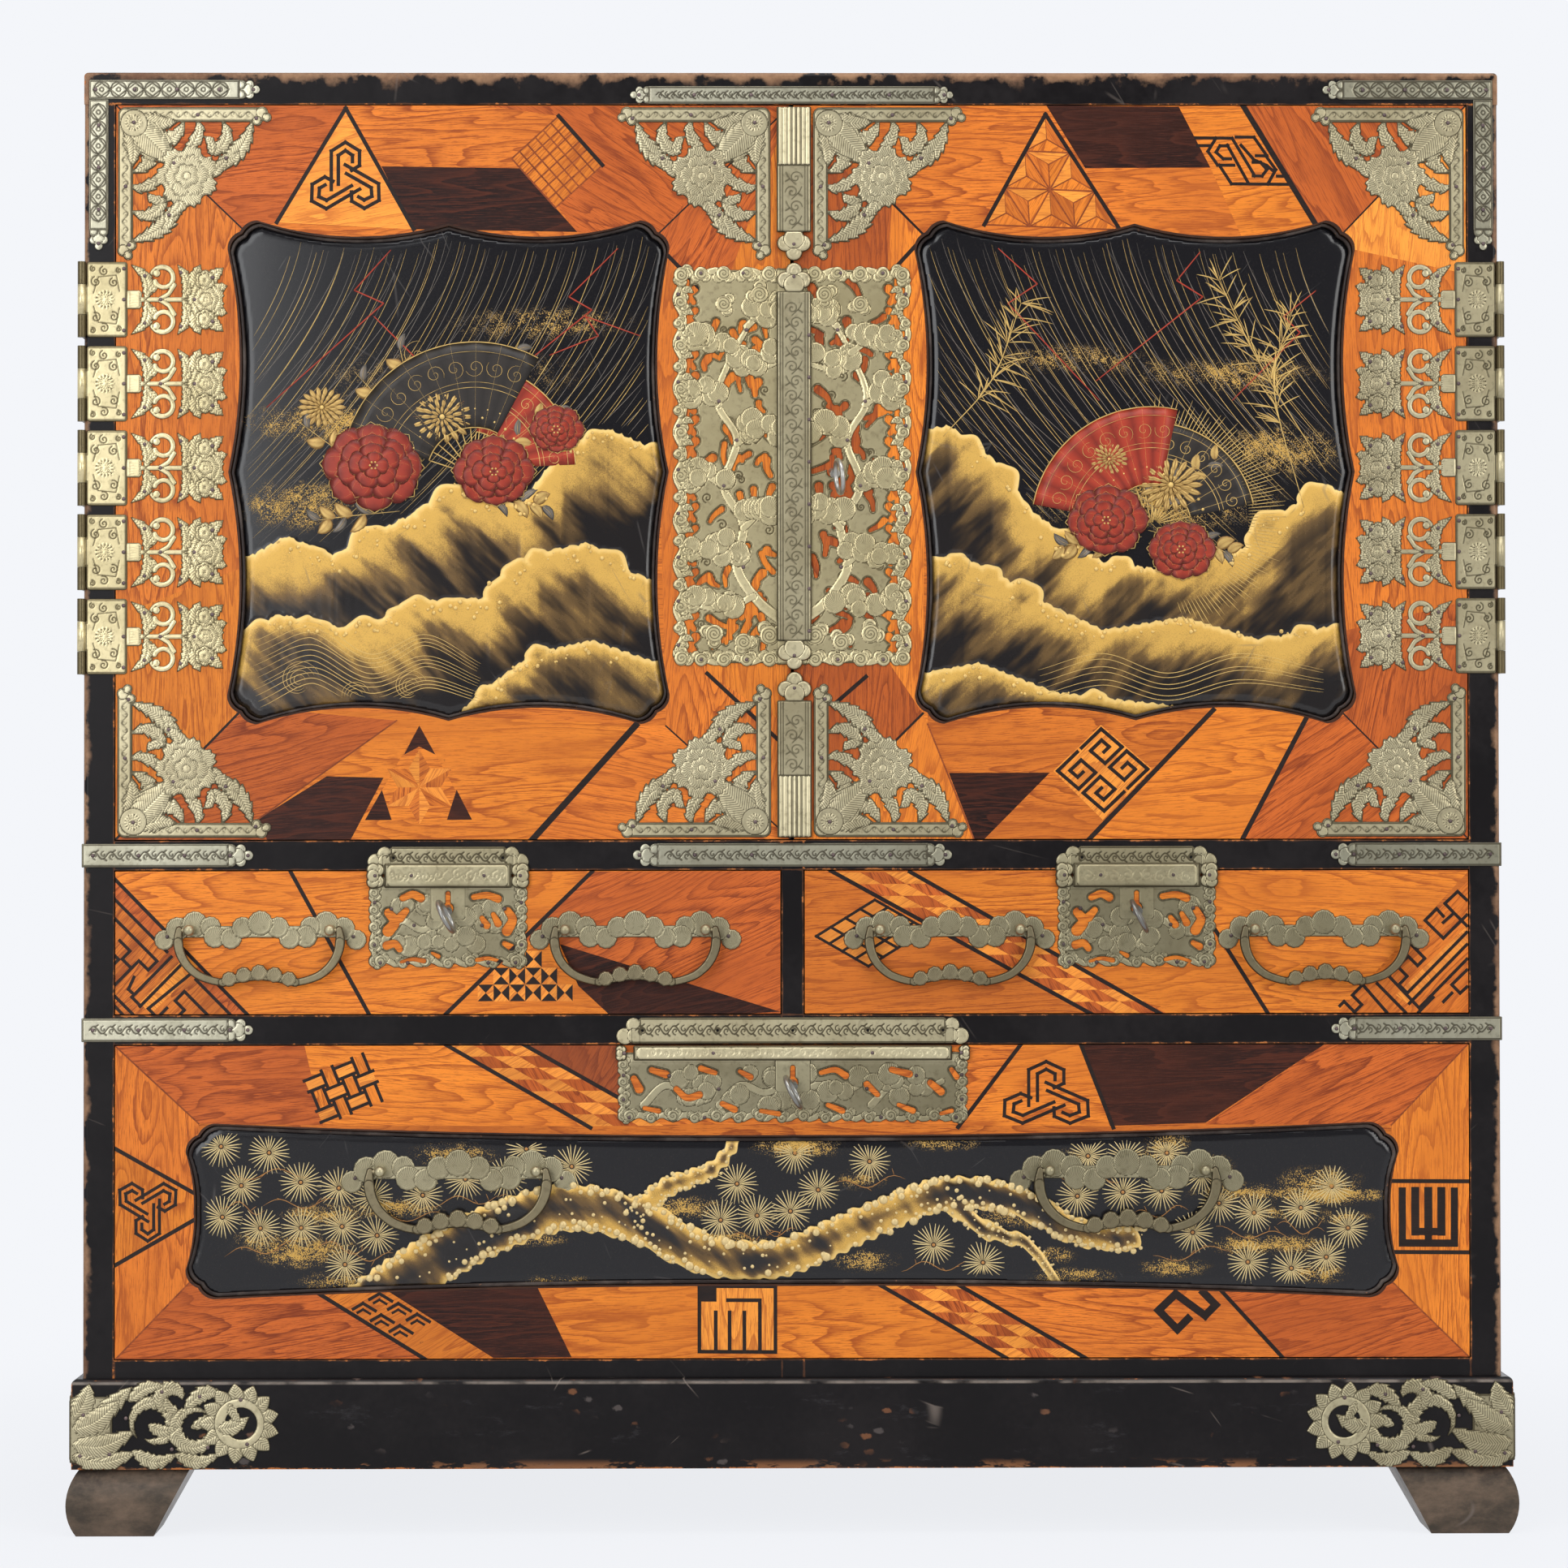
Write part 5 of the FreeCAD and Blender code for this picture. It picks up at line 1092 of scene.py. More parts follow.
def meetingStrip(length, low="plain", high="plain"):
    # A length of the strip between the doors, its foot at 0: fluted where it is plain at an end, chased elsewhere,
    # with a lobed finial at each end that says so.
    half = 10.75
    r = Relief(-half - 0.5, half + 0.5, -0.5, length + 0.5, 0.55)
    z0 = 18.0 if low == "lobed" else 0.0
    z1 = length - 18.0 if high == "lobed" else length
    for on, edge, way in ((low, z0, -1), (high, z1, 1)):
        if on == "lobed":
            r.disc(0, edge + way * 12.5, 5.2, 0.4, 1.4)
            for side in (-1, 1):
                r.disc(side * 5.4, edge + way * 7.0, 5.1, 0.4, 1.4)
                r.engrave(coil(side * 5.2, edge + way * 6.6, 3.0, 0.4, 0.3, side * way * 1.3, 16), 0.15, 0.34)
            r.disc(0, edge + way * 4.0, 6.5, 0.3, 1.4)
            r.engrave(coil(0, edge + way * 12.3, 2.6, 0.3, 0.3, way * 1.2, 14), 0.15, 0.34)
    r.box(-half + 0.2, half - 0.2, z0, z1, 0.6, 0.0)
    fluted = []
    if low == "plain":
        fluted.append((0.0, min(length * 0.38, 38.0)))
    if high == "plain":
        fluted.append((max(length * 0.62, length - 38.0), length))
    for f0, f1 in fluted:
        for x in np.linspace(-half + 2.2, half - 2.2, 7):
            r.stroke([(x, f0 + 1.0), (x, f1 - 1.0)], 1.05, lift=0.45, edge=0.9)
    a = fluted[0][1] if low == "plain" else z0
    b = fluted[-1][0] if high == "plain" else z1
    for x in (-half + 2.4, half - 2.4, -half + 4.0, half - 4.0):
        r.engrave([(x, a + 0.6), (x, b - 0.6)], 0.07, 0.3)
    r.engrave([(-half + 1.2, a), (half - 1.2, a)], 0.2, 0.4)
    r.engrave([(-half + 1.2, b), (half - 1.2, b)], 0.2, 0.4)
    for k in range(int((b - a - 4) / 9.0)):
        cz, way = a + 6.5 + 9.0 * k, 1 if k % 2 else -1
        r.engrave(coil(way * 1.2, cz, 4.0, 0.5, 0.25 - 0.25 * way, way * 1.35, 22), 0.06, 0.36)
        r.engrave(bow([(way * 1.2, cz - 4.4), (-way * 3.2, cz), (-way * 4.8, cz + 3.2)], 5), 0.06, 0.36)
        r.engrave(bow([(-way * 3.0, cz - 1.2), (-way * 5.0, cz - 2.4)], 4), 0.06, 0.5)
    return sheetSolid(r, thickness=2.3, bevel=1.1)


def standMount():
    # Leaves on the stand's corner: a sheaf of toothed leaves, two leafy rings and a wreath of pointed leaves.
    r = Relief(-0.5, 129.0, -27.0, 27.0, 0.52)
    r.box(-0.2, 26, -23.5, 17, 3.0, 0.0)
    for line, size, teeth in (([(2, -19), (20, -23), (41, -17)], 7.5, 7), ([(14, 0), (26, 12), (38, 23)], 6.6, 6),
                              ([(2, -12), (20, -13), (40, -4)], 8.5, 7),
                              ([(2, 4), (9, 14), (12, 25)], 7.5, 6), ([(2, -3), (16, 2), (31, 15)], 8.5, 7)):
        r.leaf(line, size, teeth, 0.26, 0.5)
    for cx, cz, radius, start, turns in ((51, 1, 13.5, 0.62, -0.95), (76, -3, 12.5, 0.12, 0.95),
                                         (62, 15, 8.0, 0.7, -0.7)):
        r.leaf(coil(cx, cz, radius, radius * 0.82, start, turns, 30), 5.6, 12, 0.3, 0.45, True, 0.55)
    for line, size in (([(38, -16), (52, -23), (66, -18)], 5.6), ([(36, 14), (46, 22), (58, 24)], 5.2),
                       ([(64, -18), (78, -23), (92, -18)], 5.2),
                       ([(70, 10), (82, 19), (94, 18)], 5.8), ([(48, 0), (56, -4), (66, -2)], 4.6),
                       ([(74, -2), (84, 2), (90, 0)], 4.6)):
        r.leaf(line, size, 6, 0.3, 0.4)
    cx, cz = 103.5, 0.5
    for k in range(13):
        a = 2 * math.pi * (k + 0.5) / 13
        c = np.array([math.cos(a), math.sin(a)])
        r.leaf([(cx + q * c[0], cz + q * c[1]) for q in (11.0, 18.0, 24.5)], 5.0, 0, 0.3, 0.4)
    r.disc(cx, cz, 15.5, 0.3, 2.0)
    r.hole(cx + 1, cz, 9.8)
    r.leaf([(cx - 13, cz - 3), (cx - 3, cz - 2), (cx + 6, cz + 4)], 5.6, 4, 0.3, 0.4)
    r.leaf([(cx - 6, cz + 12), (cx - 3, cz + 5), (cx + 1, cz + 1)], 3.4, 3, 0.3, 0.4)
    frameLine(r, 0.9, 0.08)
    return sheetSolid(r, thickness=1.0)


def pineBackplate(size):
    # The plate behind a bail: overlapping pine tufts, its middle between the posts at 0, 0.
    r = Relief(-67 * size, 67 * size, -14 * size, 14 * size, 0.5)
    r.stroke([(-54 * size, -1 * size), (54 * size, -1 * size)], 3.6 * size, lift=0.1)
    for way in (-1, 1):
        for x, z, radius in ((58.8, -6.0, 6.2), (50.8, 0.8, 7.2), (40.2, 3.8, 7.8), (30.6, 2.0, 6.4), (28, -4.0, 6.9),
                             (18, -5.0, 6.6), (10.9, 1.6, 6.6)):
            r.tuft(way * x * size, z * size, radius * size, ribs=13, lift=0.35, aim=0.25 + way * 0.03)
    r.tuft(0, 4.3 * size, 7.6 * size, ribs=13, lift=0.4)
    return sheetSolid(r, thickness=0.95)


def bailRing(size):
    # A bail seen from the front, pin axis at z = 0, rounded on both faces: the arms are a stroke that swells and
    # thins, the grip is five scallops with a groove in each. The pins run into the posts.
    s, head = size, 3.4     # head is a post's radius
    span = 43.0 * s
    eye = span + head + 2.5
    r = Relief(-58 * s, 58 * s, -37 * s, 4.5, 0.5)
    arm = bow([(eye, 0.4), (eye + 0.6 * s, -6 * s), (eye - 0.6 * s, -13.5 * s), (eye - 4.6 * s, -21 * s),
               (eye - 11.5 * s, -27.2 * s),
               (29.5 * s, -30.4 * s), (23.0 * s, -31.9 * s)], 5)
    for way in (-1, 1):
        r.stroke(arm[:7] * (way, 1), 2.2, 3.1 * s, 0.0)
        r.stroke(arm[6:] * (way, 1), 3.1 * s, 2.3 * s, 0.0)
    r.stroke(bow([(-22 * s, -31.7 * s), (-11 * s, -29.0 * s), (0, -27.8 * s), (11 * s, -29.0 * s),
                  (22 * s, -31.7 * s)], 5), 2.9 * s, lift=0.0)
    for x, z, radius in ((18.2, -29.8, 4.7), (9.4, -27.2, 4.9), (0, -25.9, 5.1)):
        for way in ((-1, 1) if x else (1,)):
            r.tuft(way * x * s, z * s, radius * s, ribs=9, lift=0.35)
    points, faces, values = sheetSolid(r, thickness=1.4, bevel=0.9)
    # both faces alike: the flat back gives way to the front turned over
    count = int(faces[0][0].max()) + 1
    rim = np.unique(faces[1][0])
    front = points[:count].copy()
    isRim = np.zeros(count, bool)
    isRim[rim[rim < count]] = True
    front[:, 2] = np.where(isRim, 0.0, front[:, 2])
    back = front * (1, 1, -1)
    number = np.arange(count) + count
    number[isRim] = np.arange(count)[isRim]
    quads = faces[0][0]
    solid = (np.vstack([front, back]), [(quads, True), (number[quads][:, ::-1], True)],
             {label: np.tile(array[:count], 2) for label, array in values.items()})
    ends = []
    for way in (-1, 1):
        line = np.linspace(way * (span - head * 0.6), way * (eye + 1.6), 6)
        path = np.stack([line, np.zeros(6), np.zeros(6)], 1)
        a = np.linspace(0, 2 * np.pi, 13)[:-1]
        ends.append(sweptAlong(path, np.tile([way * 1.0, 0, 0], (6, 1)), np.stack([np.cos(a), np.sin(a)], 1) * 1.2,
                               closed=False, up=(0, 0, 1)))
    ends = [(p, f, {"relief": np.full(len(p), 0.8)}) for p, f, _ in ends]
    return together([solid] + ends)


def ringQuads(around, layers):
    # the quads between rings of around points each, and the two steps round a ring
    k = np.arange(around)
    nxt = (k + 1) % around
    quads = np.vstack([np.stack([l * around + k, l * around + nxt, (l + 1) * around + nxt, (l + 1) * around + k], 1)
                       for l in range(layers - 1)])
    return quads, k, nxt


def turnedKnob(place, profile, around=20):
    # A profile of (radius, height) turned round an axis towards the front, closed at both ends.
    a = np.linspace(0, 2 * np.pi, around, endpoint=False)
    out = np.array([0.0, -1.0, 0.0])
    side = np.cross(out, (0.0, 0.0, 1.0))
    ring = np.cos(a)[:, None] * side + np.sin(a)[:, None] * np.cross(out, side)
    layers = np.vstack([np.asarray(place, float) + ring * r + out * h for r, h in profile])
    quads, k, _ = ringQuads(around, len(profile))
    faces = [(quads, True), (k[None, ::-1], False), (k[None, :] + (len(profile) - 1) * around, False)]
    return layers, faces, {"relief": np.full(len(layers), 0.75)}


# the metalwork in its places
places = dict(halfCase=435.0, doorTop=876.25, doorFoot=426.75, doorOuter=414.25, doorInner=13.0, hingeMiddle=654.0,
              hingePitch=51.8, pinX=436.2, pinY=-1.4, plateMiddle=654.9, smallDrawer=211.375, railOne=416.0,
              railTwo=309.0, armHeight=887, dropTop=881, topStrap=883.8, smallKeeper=407.3, longKeeper=300.3,
              standHalf=441.0, standMiddle=68.5, standFront=-6, nailFront=-1.0)
left, right, up, down = (-1, 0, 0), (1, 0, 0), (0, 0, 1), (0, 0, -1)
nailFront = places["nailFront"]


def makeDoorMetal():
    corner, leaf = cornerMount(), hingeLeaf()
    a = np.linspace(0, 2 * np.pi, 29)[:-1]
    circle = np.stack([np.cos(a), np.sin(a), 0 * a], 1)
    around = np.stack([-np.sin(a), np.cos(a), 0 * a], 1)
    tube = [(-1.2, -9.15), (0.0, -9.15), (0.0, 9.15), (-1.2, 9.15)]
    for name, side, inward in (("left_door", -1, right), ("right_door", 1, left)):
        outward = (-inward[0], 0, 0)
        x0, x1 = side * places["doorOuter"], side * places["doorInner"]
        mounts = [placed(corner, (x, 0, z), way, high) for x, way in ((x0, inward), (x1, outward))
                  for z, high in ((places["doorTop"], up), (places["doorFoot"], down))]
        meshObject(name + "_corner_mounts", together(mounts), "mountMetal", name, [name + "_mounts"])
        levels = [places["hingeMiddle"] + (k - 2) * places["hingePitch"] for k in range(5)]
        leaves = [placed(leaf, (side * places["halfCase"], 0, z), inward) for z in levels]
        for z in levels:
            path = circle * 2.5 + np.array([side * places["pinX"], places["pinY"], z])
            p, f, _ = sweptAlong(path, around, tube, closed=True, up=(0, 0, 1))
            leaves.append((p, f, {"relief": np.full(len(p), 0.8)}))
        meshObject(name + "_hinge_leaves", together(leaves), "yellowMetal" if side < 0 else "mountMetal", name,
                   [name + "_hinges"])
        plate = cloudPlate(3 if side < 0 else 8)
        if side > 0:
            keyHole(plate, 24.6, -3.1)
        meshObject(name + "_cloud_plate", placed(sheetSolid(plate), (0, 0, places["plateMiddle"]), outward),
                   "yellowMetal", name, [name + "_mounts"])
        nails = [(x + way[0] * u, nailFront, z + high[2] * -v, 0, -1, 0) for x, way in ((x0, inward), (x1, outward))
                 for z, high in ((places["doorTop"], up), (places["doorFoot"], down)) for u, v in mountNails]
        nails += [(side * (places["halfCase"] - u), nailFront, z + v, 0, -1, 0)
                  for z in levels for u, v in hingeNails]
        nails += [(side * x, nailFront, places["plateMiddle"] + z, 0, -1, 0)
                  for x, z in [(70, v) for v in range(-110, 120, 27)] + [(5.5, v) for v in range(-100, 110, 40)]
                  + [(30, -62), (42, -12), (34, 16), (45, 40), (28, 84), (30, 119), (56, 119), (28, -119),
                     (56, -119)]]
        meshObject(name + "_nail_heads", studs(nails), "nailMetal", name, [name + "_nails"])


def makeStrips():
    x = 1.25
    low, high = places["plateMiddle"] - 125.5, places["plateMiddle"] + 125.5
    parts = [placed(meetingStrip(251.0, low="lobed", high="lobed"), (x, -1.5, low)),
             placed(meetingStrip(places["doorTop"] - high - 0.6, low="lobed"), (x, -1.5, high + 0.6)),
             placed(meetingStrip(low - 0.6 - places["doorFoot"], high="lobed"), (x, -1.5, places["doorFoot"]))]
    meshObject("meeting_strip_lengths", together(parts), "mountMetal", "right_door", ["meeting_strips"])
    nails = [(x + 9.2, -3.6, z, 0, -1, 0) for z in np.arange(low + 24, high - 20, 26.0)]
    nails += [(x, -3.7, z, 0, -1, 0) for z in (low + 9, high - 9, high + 11, low - 11)]
    meshObject("meeting_strip_nails", studs(nails), "nailMetal", "right_door")


def makeCaseMetal():
    strap, turned = sheetSolid(bandPlate(107, 14.5)), sheetSolid(bandPlate(54, 14.5))
    arm = sheetSolid(bandPlate(106.6, 12, engraving="rings"))
    drop = sheetSolid(bandPlate(94.6, 12, engraving="rings"))
    parts, nails = [], []
    for side, inward in ((-1, right), (1, left)):
        x = side * places["halfCase"]
        for z in (places["railOne"], places["railTwo"]):
            parts.append(placed(strap, (x + side * 0.9, 0, z), inward))
            parts.append(placed(turned, (x, 0, z), (0, 1, 0), up, (side, 0, 0)))
            nails += [(x - side * u, nailFront, z, 0, -1, 0) for u in (6, 34, 62, 90, 101)]
            nails += [(x + side * 1.0, v, z, side, 0, 0) for v in (8, 34, 47)]
        parts.append(placed(arm, (x - side * 3, 0, places["armHeight"]), inward))
        parts.append(placed(drop, (x - side * 9, 0, places["dropTop"]), down, (side, 0, 0)))
        nails += [(x - side * (3 + u), nailFront, places["armHeight"], 0, -1, 0) for u in (4, 28, 54, 80, 101)]
        nails += [(x - side * 9, nailFront, places["dropTop"] - v, 0, -1, 0) for v in (16, 42, 68, 89)]
    parts.append(placed(sheetSolid(bandPlate(100, 14.5, True)), (0, 0, places["railOne"])))
    parts.append(placed(sheetSolid(bandPlate(101, 11, True)), (0, 0, places["topStrap"])))
    nails += [(u, nailFront, z, 0, -1, 0) for u in (-94, -60, -25, 25, 60, 94)
              for z in (places["railOne"], places["topStrap"])]
    meshObject("case_straps", together(parts), "brightMetal", "case", ["case_mounts"])
    keepers = [placed(keeperPlate(99, 14), (side * places["smallDrawer"], 0, places["smallKeeper"]))
               for side in (-1, 1)]
    keepers.append(placed(keeperPlate(216.5, 16), (0, 0, places["longKeeper"])))
    meshObject("rail_keepers", together(keepers), "mountMetal", "case", ["lock_keepers"])
    chasing, parts = sideLeafChasing(), []
    for side in (-1, 1):
        for k in range(-2, 3):
            z = places["hingeMiddle"] + k * places["hingePitch"]
            parts.append(placed(chasing, (side * (places["halfCase"] + 0.95), 0, z), (0, 1, 0), up, (side, 0, 0)))
            nails += [(side * (places["halfCase"] + 1.3), u, z + v, side, 0, 0) for u in (7.5, 33.3)
                      for v in (-18.8, 18.8)]
    meshObject("hinge_leaf_chasing", together(parts), "mountMetal", "case")
    stand, leaf = standMount(), standSideLeaf()
    standHalf, middle, front = (places[key] for key in ("standHalf", "standMiddle", "standFront"))
    parts = [placed(stand, (side * (standHalf + 0.9), front, middle), inward)
             for side, inward in ((-1, right), (1, left))]
    parts += [placed(leaf, (side * standHalf, front, middle), (0, 1, 0), up, (side, 0, 0)) for side in (-1, 1)]
    meshObject("stand_leaf_mounts", together(parts), "mountMetal", "case", ["stand_mounts"])
    nails += [(side * (standHalf + 0.5 - u), front - 1.1, middle + v, 0, -1, 0) for side in (-1, 1) for u, v in
              ((6, -19), (24, -18), (8, 6), (34, 4), (56, 20), (62, -15), (79, 17), (84, -14), (108, -12), (104, 15))]
    meshObject("case_nail_heads", studs(nails), "nailMetal", "case", ["case_nails"])


def sideLeafChasing():
    # The engraved face of a hinge's leaf on the case's side: a daisy in a ring, with scrolls in the corners.
    r = Relief(2.0, 39.0, -24.0, 24.0, 0.5)
    r.box(3.2, 37.6, -22.9, 22.9, 0.8, 0.1)
    r.daisy(20.4, 0, 9.0, 12, 0.15)
    r.engrave(coil(20.4, 0, 11.4, 11.4, 0, 1, 40), 0.2, 0.4)
    for u in (-1, 1):
        for v in (-1, 1):
            r.engrave(coil(20.4 + u * 10.5, v * 15.6, 4.4, 1.0, 0.25, u * v * 1.6, 24), 0.2, 0.4)
            r.engrave([(20.4 + u * 2, v * 14), (20.4, v * 19)], 0.2, 0.4)
    frameLine(r, 1.8, 0.18)
    return sheetSolid(r, thickness=0.5, bevel=0.3)


def standSideLeaf():
    # The leaves on the stand's side, carried round its corner.
    r = Relief(-0.8, 60.0, -26.0, 26.0, 0.6)
    r.box(-0.6, 16, -23.5, 18, 1.0, 0.1)
    for line, size, teeth in (([(6, -22), (26, -22), (44, -16)], 5.5, 6), ([(4, -10), (26, -8), (50, -2)], 7.0, 8),
                              ([(4, 2), (22, 8), (38, 18)], 6.5, 7), ([(4, 10), (10, 18), (12, 24)], 4.8, 4)):
        r.leaf(line, size, teeth, 0.3, 0.42)
    frameLine(r, 0.9, 0.08)
    return sheetSolid(r, thickness=1.0)


# plate gives the lock plate's width and height, pull the pulls' distance from the middle, height and scale
drawers = {name: dict(x=x, base=0.0, plate=(99, 56), top=401.0, stripZ=403.5, stripHeight=15.0, keyZ=383.4, seed=seed,
                      pull=(115.0, 370.2, 1.0))
           for name, x, seed in (("left_drawer", -places["smallDrawer"], 5),
                                 ("right_drawer", places["smallDrawer"], 9))}
drawers["long_drawer"] = dict(x=0.0, base=1.0, plate=(216.5, 45), top=295.0, stripZ=294.6, stripHeight=9.25,
                              keyZ=276.4, seed=14, pull=(205.0, 222.5, 1.11))


def makeDrawerMetal():
    knob = [(3.3, 0.8), (3.4, 2.3), (2.0, 2.7), (1.9, 5.0), (2.8, 5.8), (3.4, 7.6), (3.2, 9.3), (2.1, 10.8),
            (0.4, 11.3)]
    smallPlate, smallBail = pineBackplate(1.0), bailRing(1.0)
    for name, values in drawers.items():
        x, base, top, stripZ, (apart, z, size) = (values[key] for key in ("x", "base", "top", "stripZ", "pull"))
        width, height = values["plate"]
        plate = lockPlate(width, height, values["seed"])
        keyHole(plate, 0.0, values["keyZ"] - top)
        meshObject(name + "_lock_plate", placed(sheetSolid(plate), (x, 0, top)), "mountMetal", name,
                   [name + "_mounts"])
        meshObject(name + "_lock_strip", placed(raisedStrip(width + 1, values["stripHeight"]), (x, -1.35, stripZ)),
                   "mountMetal", name, [name + "_mounts"])
        plateSolid, ring = (smallPlate, smallBail) if size == 1.0 else (pineBackplate(size), bailRing(size))
        pulls, nails = [], []
        for side, way in (("left", -1), ("right", 1)):
            cx = x + way * apart
            pulls.append(placed(plateSolid, (cx, base, z)))
            for hand in (-1, 1):
                pulls.append(turnedKnob((cx + hand * 43.0 * size, base, z), knob))
                nails.append((cx + hand * 57 * size, base - 1.1, z - 4 * size, 0, -1, 0))
            meshObject(name + "_" + side + "_drop_handle", placed(ring, (cx, base - 8.0, z)), "bailMetal",
                       name + "_" + side + "_bail", [name + "_" + side + "_bail"])
        meshObject(name + "_pull_plates", together(pulls), "mountMetal", name, [name + "_mounts"])
        half = width / 2
        nails += [(x + way * u, nailFront, top - v, 0, -1, 0) for way in (-1, 1) for u, v in
                  ((half - 4.5, 14), (half - 4.5, height - 16), (half - 8, height - 5), (half * 0.5, height - 5),
                   (half * 0.42, height * 0.5), (half * 0.7, height * 0.32))]
        nails += [(x + way * u, -3.9, stripZ, 0, -1, 0) for way in (-1, 1) for u in (half - 5, half * 0.45)]
        meshObject(name + "_nail_heads", studs(nails), "nailMetal", name)


makeDoorMetal()
makeStrips()
makeCaseMetal()
makeDrawerMetal()
print("metalwork ready")


# inlaid fronts
# edge is no wood: the dark tone of the band round a panel's opening, painted shade where the face drops into it
woods = dict(orange=((0.68, 0.190, 0.024), (0.21, 0.036, 0.008)), amber=((0.78, 0.238, 0.026), (0.28, 0.052, 0.009)),
             yellow=((0.86, 0.320, 0.046), (0.42, 0.105, 0.018)), red=((0.55, 0.125, 0.022), (0.15, 0.024, 0.007)),
             brown=((0.30, 0.070, 0.018), (0.13, 0.026, 0.009)), ebony=((0.006, 0.004, 0.004), (0.075, 0.017, 0.007)),
             black=((0.013, 0.009, 0.008), (0.022, 0.012, 0.009)), edge=((0.060, 0.022, 0.011), (0.02, 0.01, 0.007)))


def veneerMaterial():
    # Veneers under old lacquer: light and dark tone come from the faces, the grain from the map named grain.
    shader, place = newMaterial("veneer", Coat_Weight=0.04, Coat_Roughness=0.16, Specular_IOR_Level=0.16)
    grain = put(place.tree, "ShaderNodeUVMap", uv_map="grain")[0]
    wood = placeGroup(woodFigure, Vector=grain, Rings=19.0)
    light = attribute(place, "lightTone", "Color")
    dark = attribute(place, "darkTone", "Color")
    colour = blendColour(wood[0] * 0.86, light, dark)
    streak = wood[1] * 0.92
    colour = blendColour(streak, colour, dark)
    broad = between(wood[2], 0.3, 0.72)
    colour = blendColour(broad * 0.62, colour, blendColour(0.5, light, dark))
    dull = placeGroup(grime, Vector=place, Scale=0.6)[0]
    colour = blendColour(dull * 0.16, colour, dark)
    spots = between(noise(place, 130.0, 3.0, 0.7), 0.73, 0.78)
    colour = blendColour(spots * 0.6, colour, (0.05, 0.018, 0.01, 1))
    rough = 0.34 + wood[1] * 0.1
    finishShader(shader, colour, rough, wood[1] + spots * -0.6, 0.16, 0.0004)


veneerMaterial()


def arcThrough(a, m, b, count=14):
    # Points on the circle arc from a through m to b, without b.
    a, m, b = (np.asarray(p, float) for p in (a, m, b))
    d = 2 * (a[0] * (m[1] - b[1]) + m[0] * (b[1] - a[1]) + b[0] * (a[1] - m[1]))
    if abs(d) < 1e-6:
        return a + (b - a) * np.linspace(0, 1, count, endpoint=False)[:, None]
    aa, mm2, bb = a @ a, m @ m, b @ b
    c = np.array([aa * (m[1] - b[1]) + mm2 * (b[1] - a[1]) + bb * (a[1] - m[1]),
                  aa * (b[0] - m[0]) + mm2 * (a[0] - b[0]) + bb * (m[0] - a[0])]) / d
    start, middle, end = (math.atan2(*(p - c)[::-1]) for p in (a, m, b))
    sweep = (end - start) % (2 * math.pi)
    if (middle - start) % (2 * math.pi) > sweep:
        sweep -= 2 * math.pi
    t = start + sweep * np.linspace(0, 1, count, endpoint=False)
    return c + np.linalg.norm(a - c) * np.stack([np.cos(t), np.sin(t)], 1)


def cartouche(halfWidth, halfHeight, inset=0.0, cusps=True, topDip=10.0, sideDip=7.5, middle=(0.0, 0.0)):
    # The lobed outline of a lacquer panel: bowed edges, and corners of two lobes each.
    a, b = halfWidth - inset, halfHeight - inset
    if cusps:
        top, topLow, side, sideLow = (0, b - 2), (a * 0.42, b - topDip), (a - 0.5, 0), (a - sideDip, b * 0.43)
    else:
        top, topLow = (0, b - topDip), (a * 0.5, b - topDip * 0.78)
        side, sideLow = (a - sideDip, 0), (a - sideDip * 0.8, b * 0.35)
    spans = [(top, topLow, (a - 18, b)), ((a - 18, b), (a - 12, b - 1.9), (a - 7.6, b - 7)),
             ((a - 7.6, b - 7), (a - 2.1, b - 11), (a, b - 18)), ((a, b - 18), sideLow, side)]
    quarter = np.vstack([arcThrough(*span) for span in spans])
    ends = [np.array([p]) for p in (side, (0, -(b - 2) if cusps else -(b - topDip)), (-side[0], 0))]
    flip = quarter[1:][::-1]
    whole = [quarter, ends[0], flip * (1, -1), ends[1], quarter[1:] * (-1, -1), ends[2], flip * (-1, 1)]
    return np.vstack(whole) + np.asarray(middle, float)


panelPlaces = dict(door=(211.125, 651.5, 134.5, 153.7), long=(0.0, 198.0, 371.0, 52.7))


def strip(a, b, width):
    # A straight line of inlay from a to b.
    a, b = np.asarray(a, float), np.asarray(b, float)
    d = (b - a) / np.linalg.norm(b - a)
    n = np.array([-d[1], d[0]]) * width / 2
    return np.array([a + n, b + n, b - n, a - n])


def lines(points, width=5.0, wood="black"):
    # Lines of inlay that follow the points, lapped at the corners.
    made = []
    for a, b in zip(points[:-1], points[1:]):
        a, b = np.asarray(a, float), np.asarray(b, float)
        d = (b - a) / np.linalg.norm(b - a) * width / 2
        made.append((strip(a - d, b + d, width), wood, 0))
    return made


def inBox(a, b, c, points):
    # Unit square points laid into the parallelogram with corner a and sides to b and c.
    a, b, c = (np.asarray(p, float) for p in (a, b, c))
    return [a + (b - a) * u + (c - a) * v for u, v in points]


def chequer(a, b, c, across, along, pair=("yellow", "red"), angle=0):
    made = []
    for i in range(across):
        for j in range(along):
            u0, u1, v0, v1 = i / across, (i + 1) / across, j / along, (j + 1) / along
            cell = np.array(inBox(a, b, c, [(u0, v0), (u1, v0), (u1, v1), (u0, v1)]))
            made.append((cell, pair[(i + j) % 2], angle + 90 * ((i + j) % 2)))
    return made


def grid(a, b, c, across, along, width=2.0, wood="brown"):
    made = []
    for k in range(across + 1):
        made += lines(inBox(a, b, c, [(k / across, 0), (k / across, 1)]), width, wood)
    for k in range(along + 1):
        made += lines(inBox(a, b, c, [(0, k / along), (1, k / along)]), width, wood)
    return made


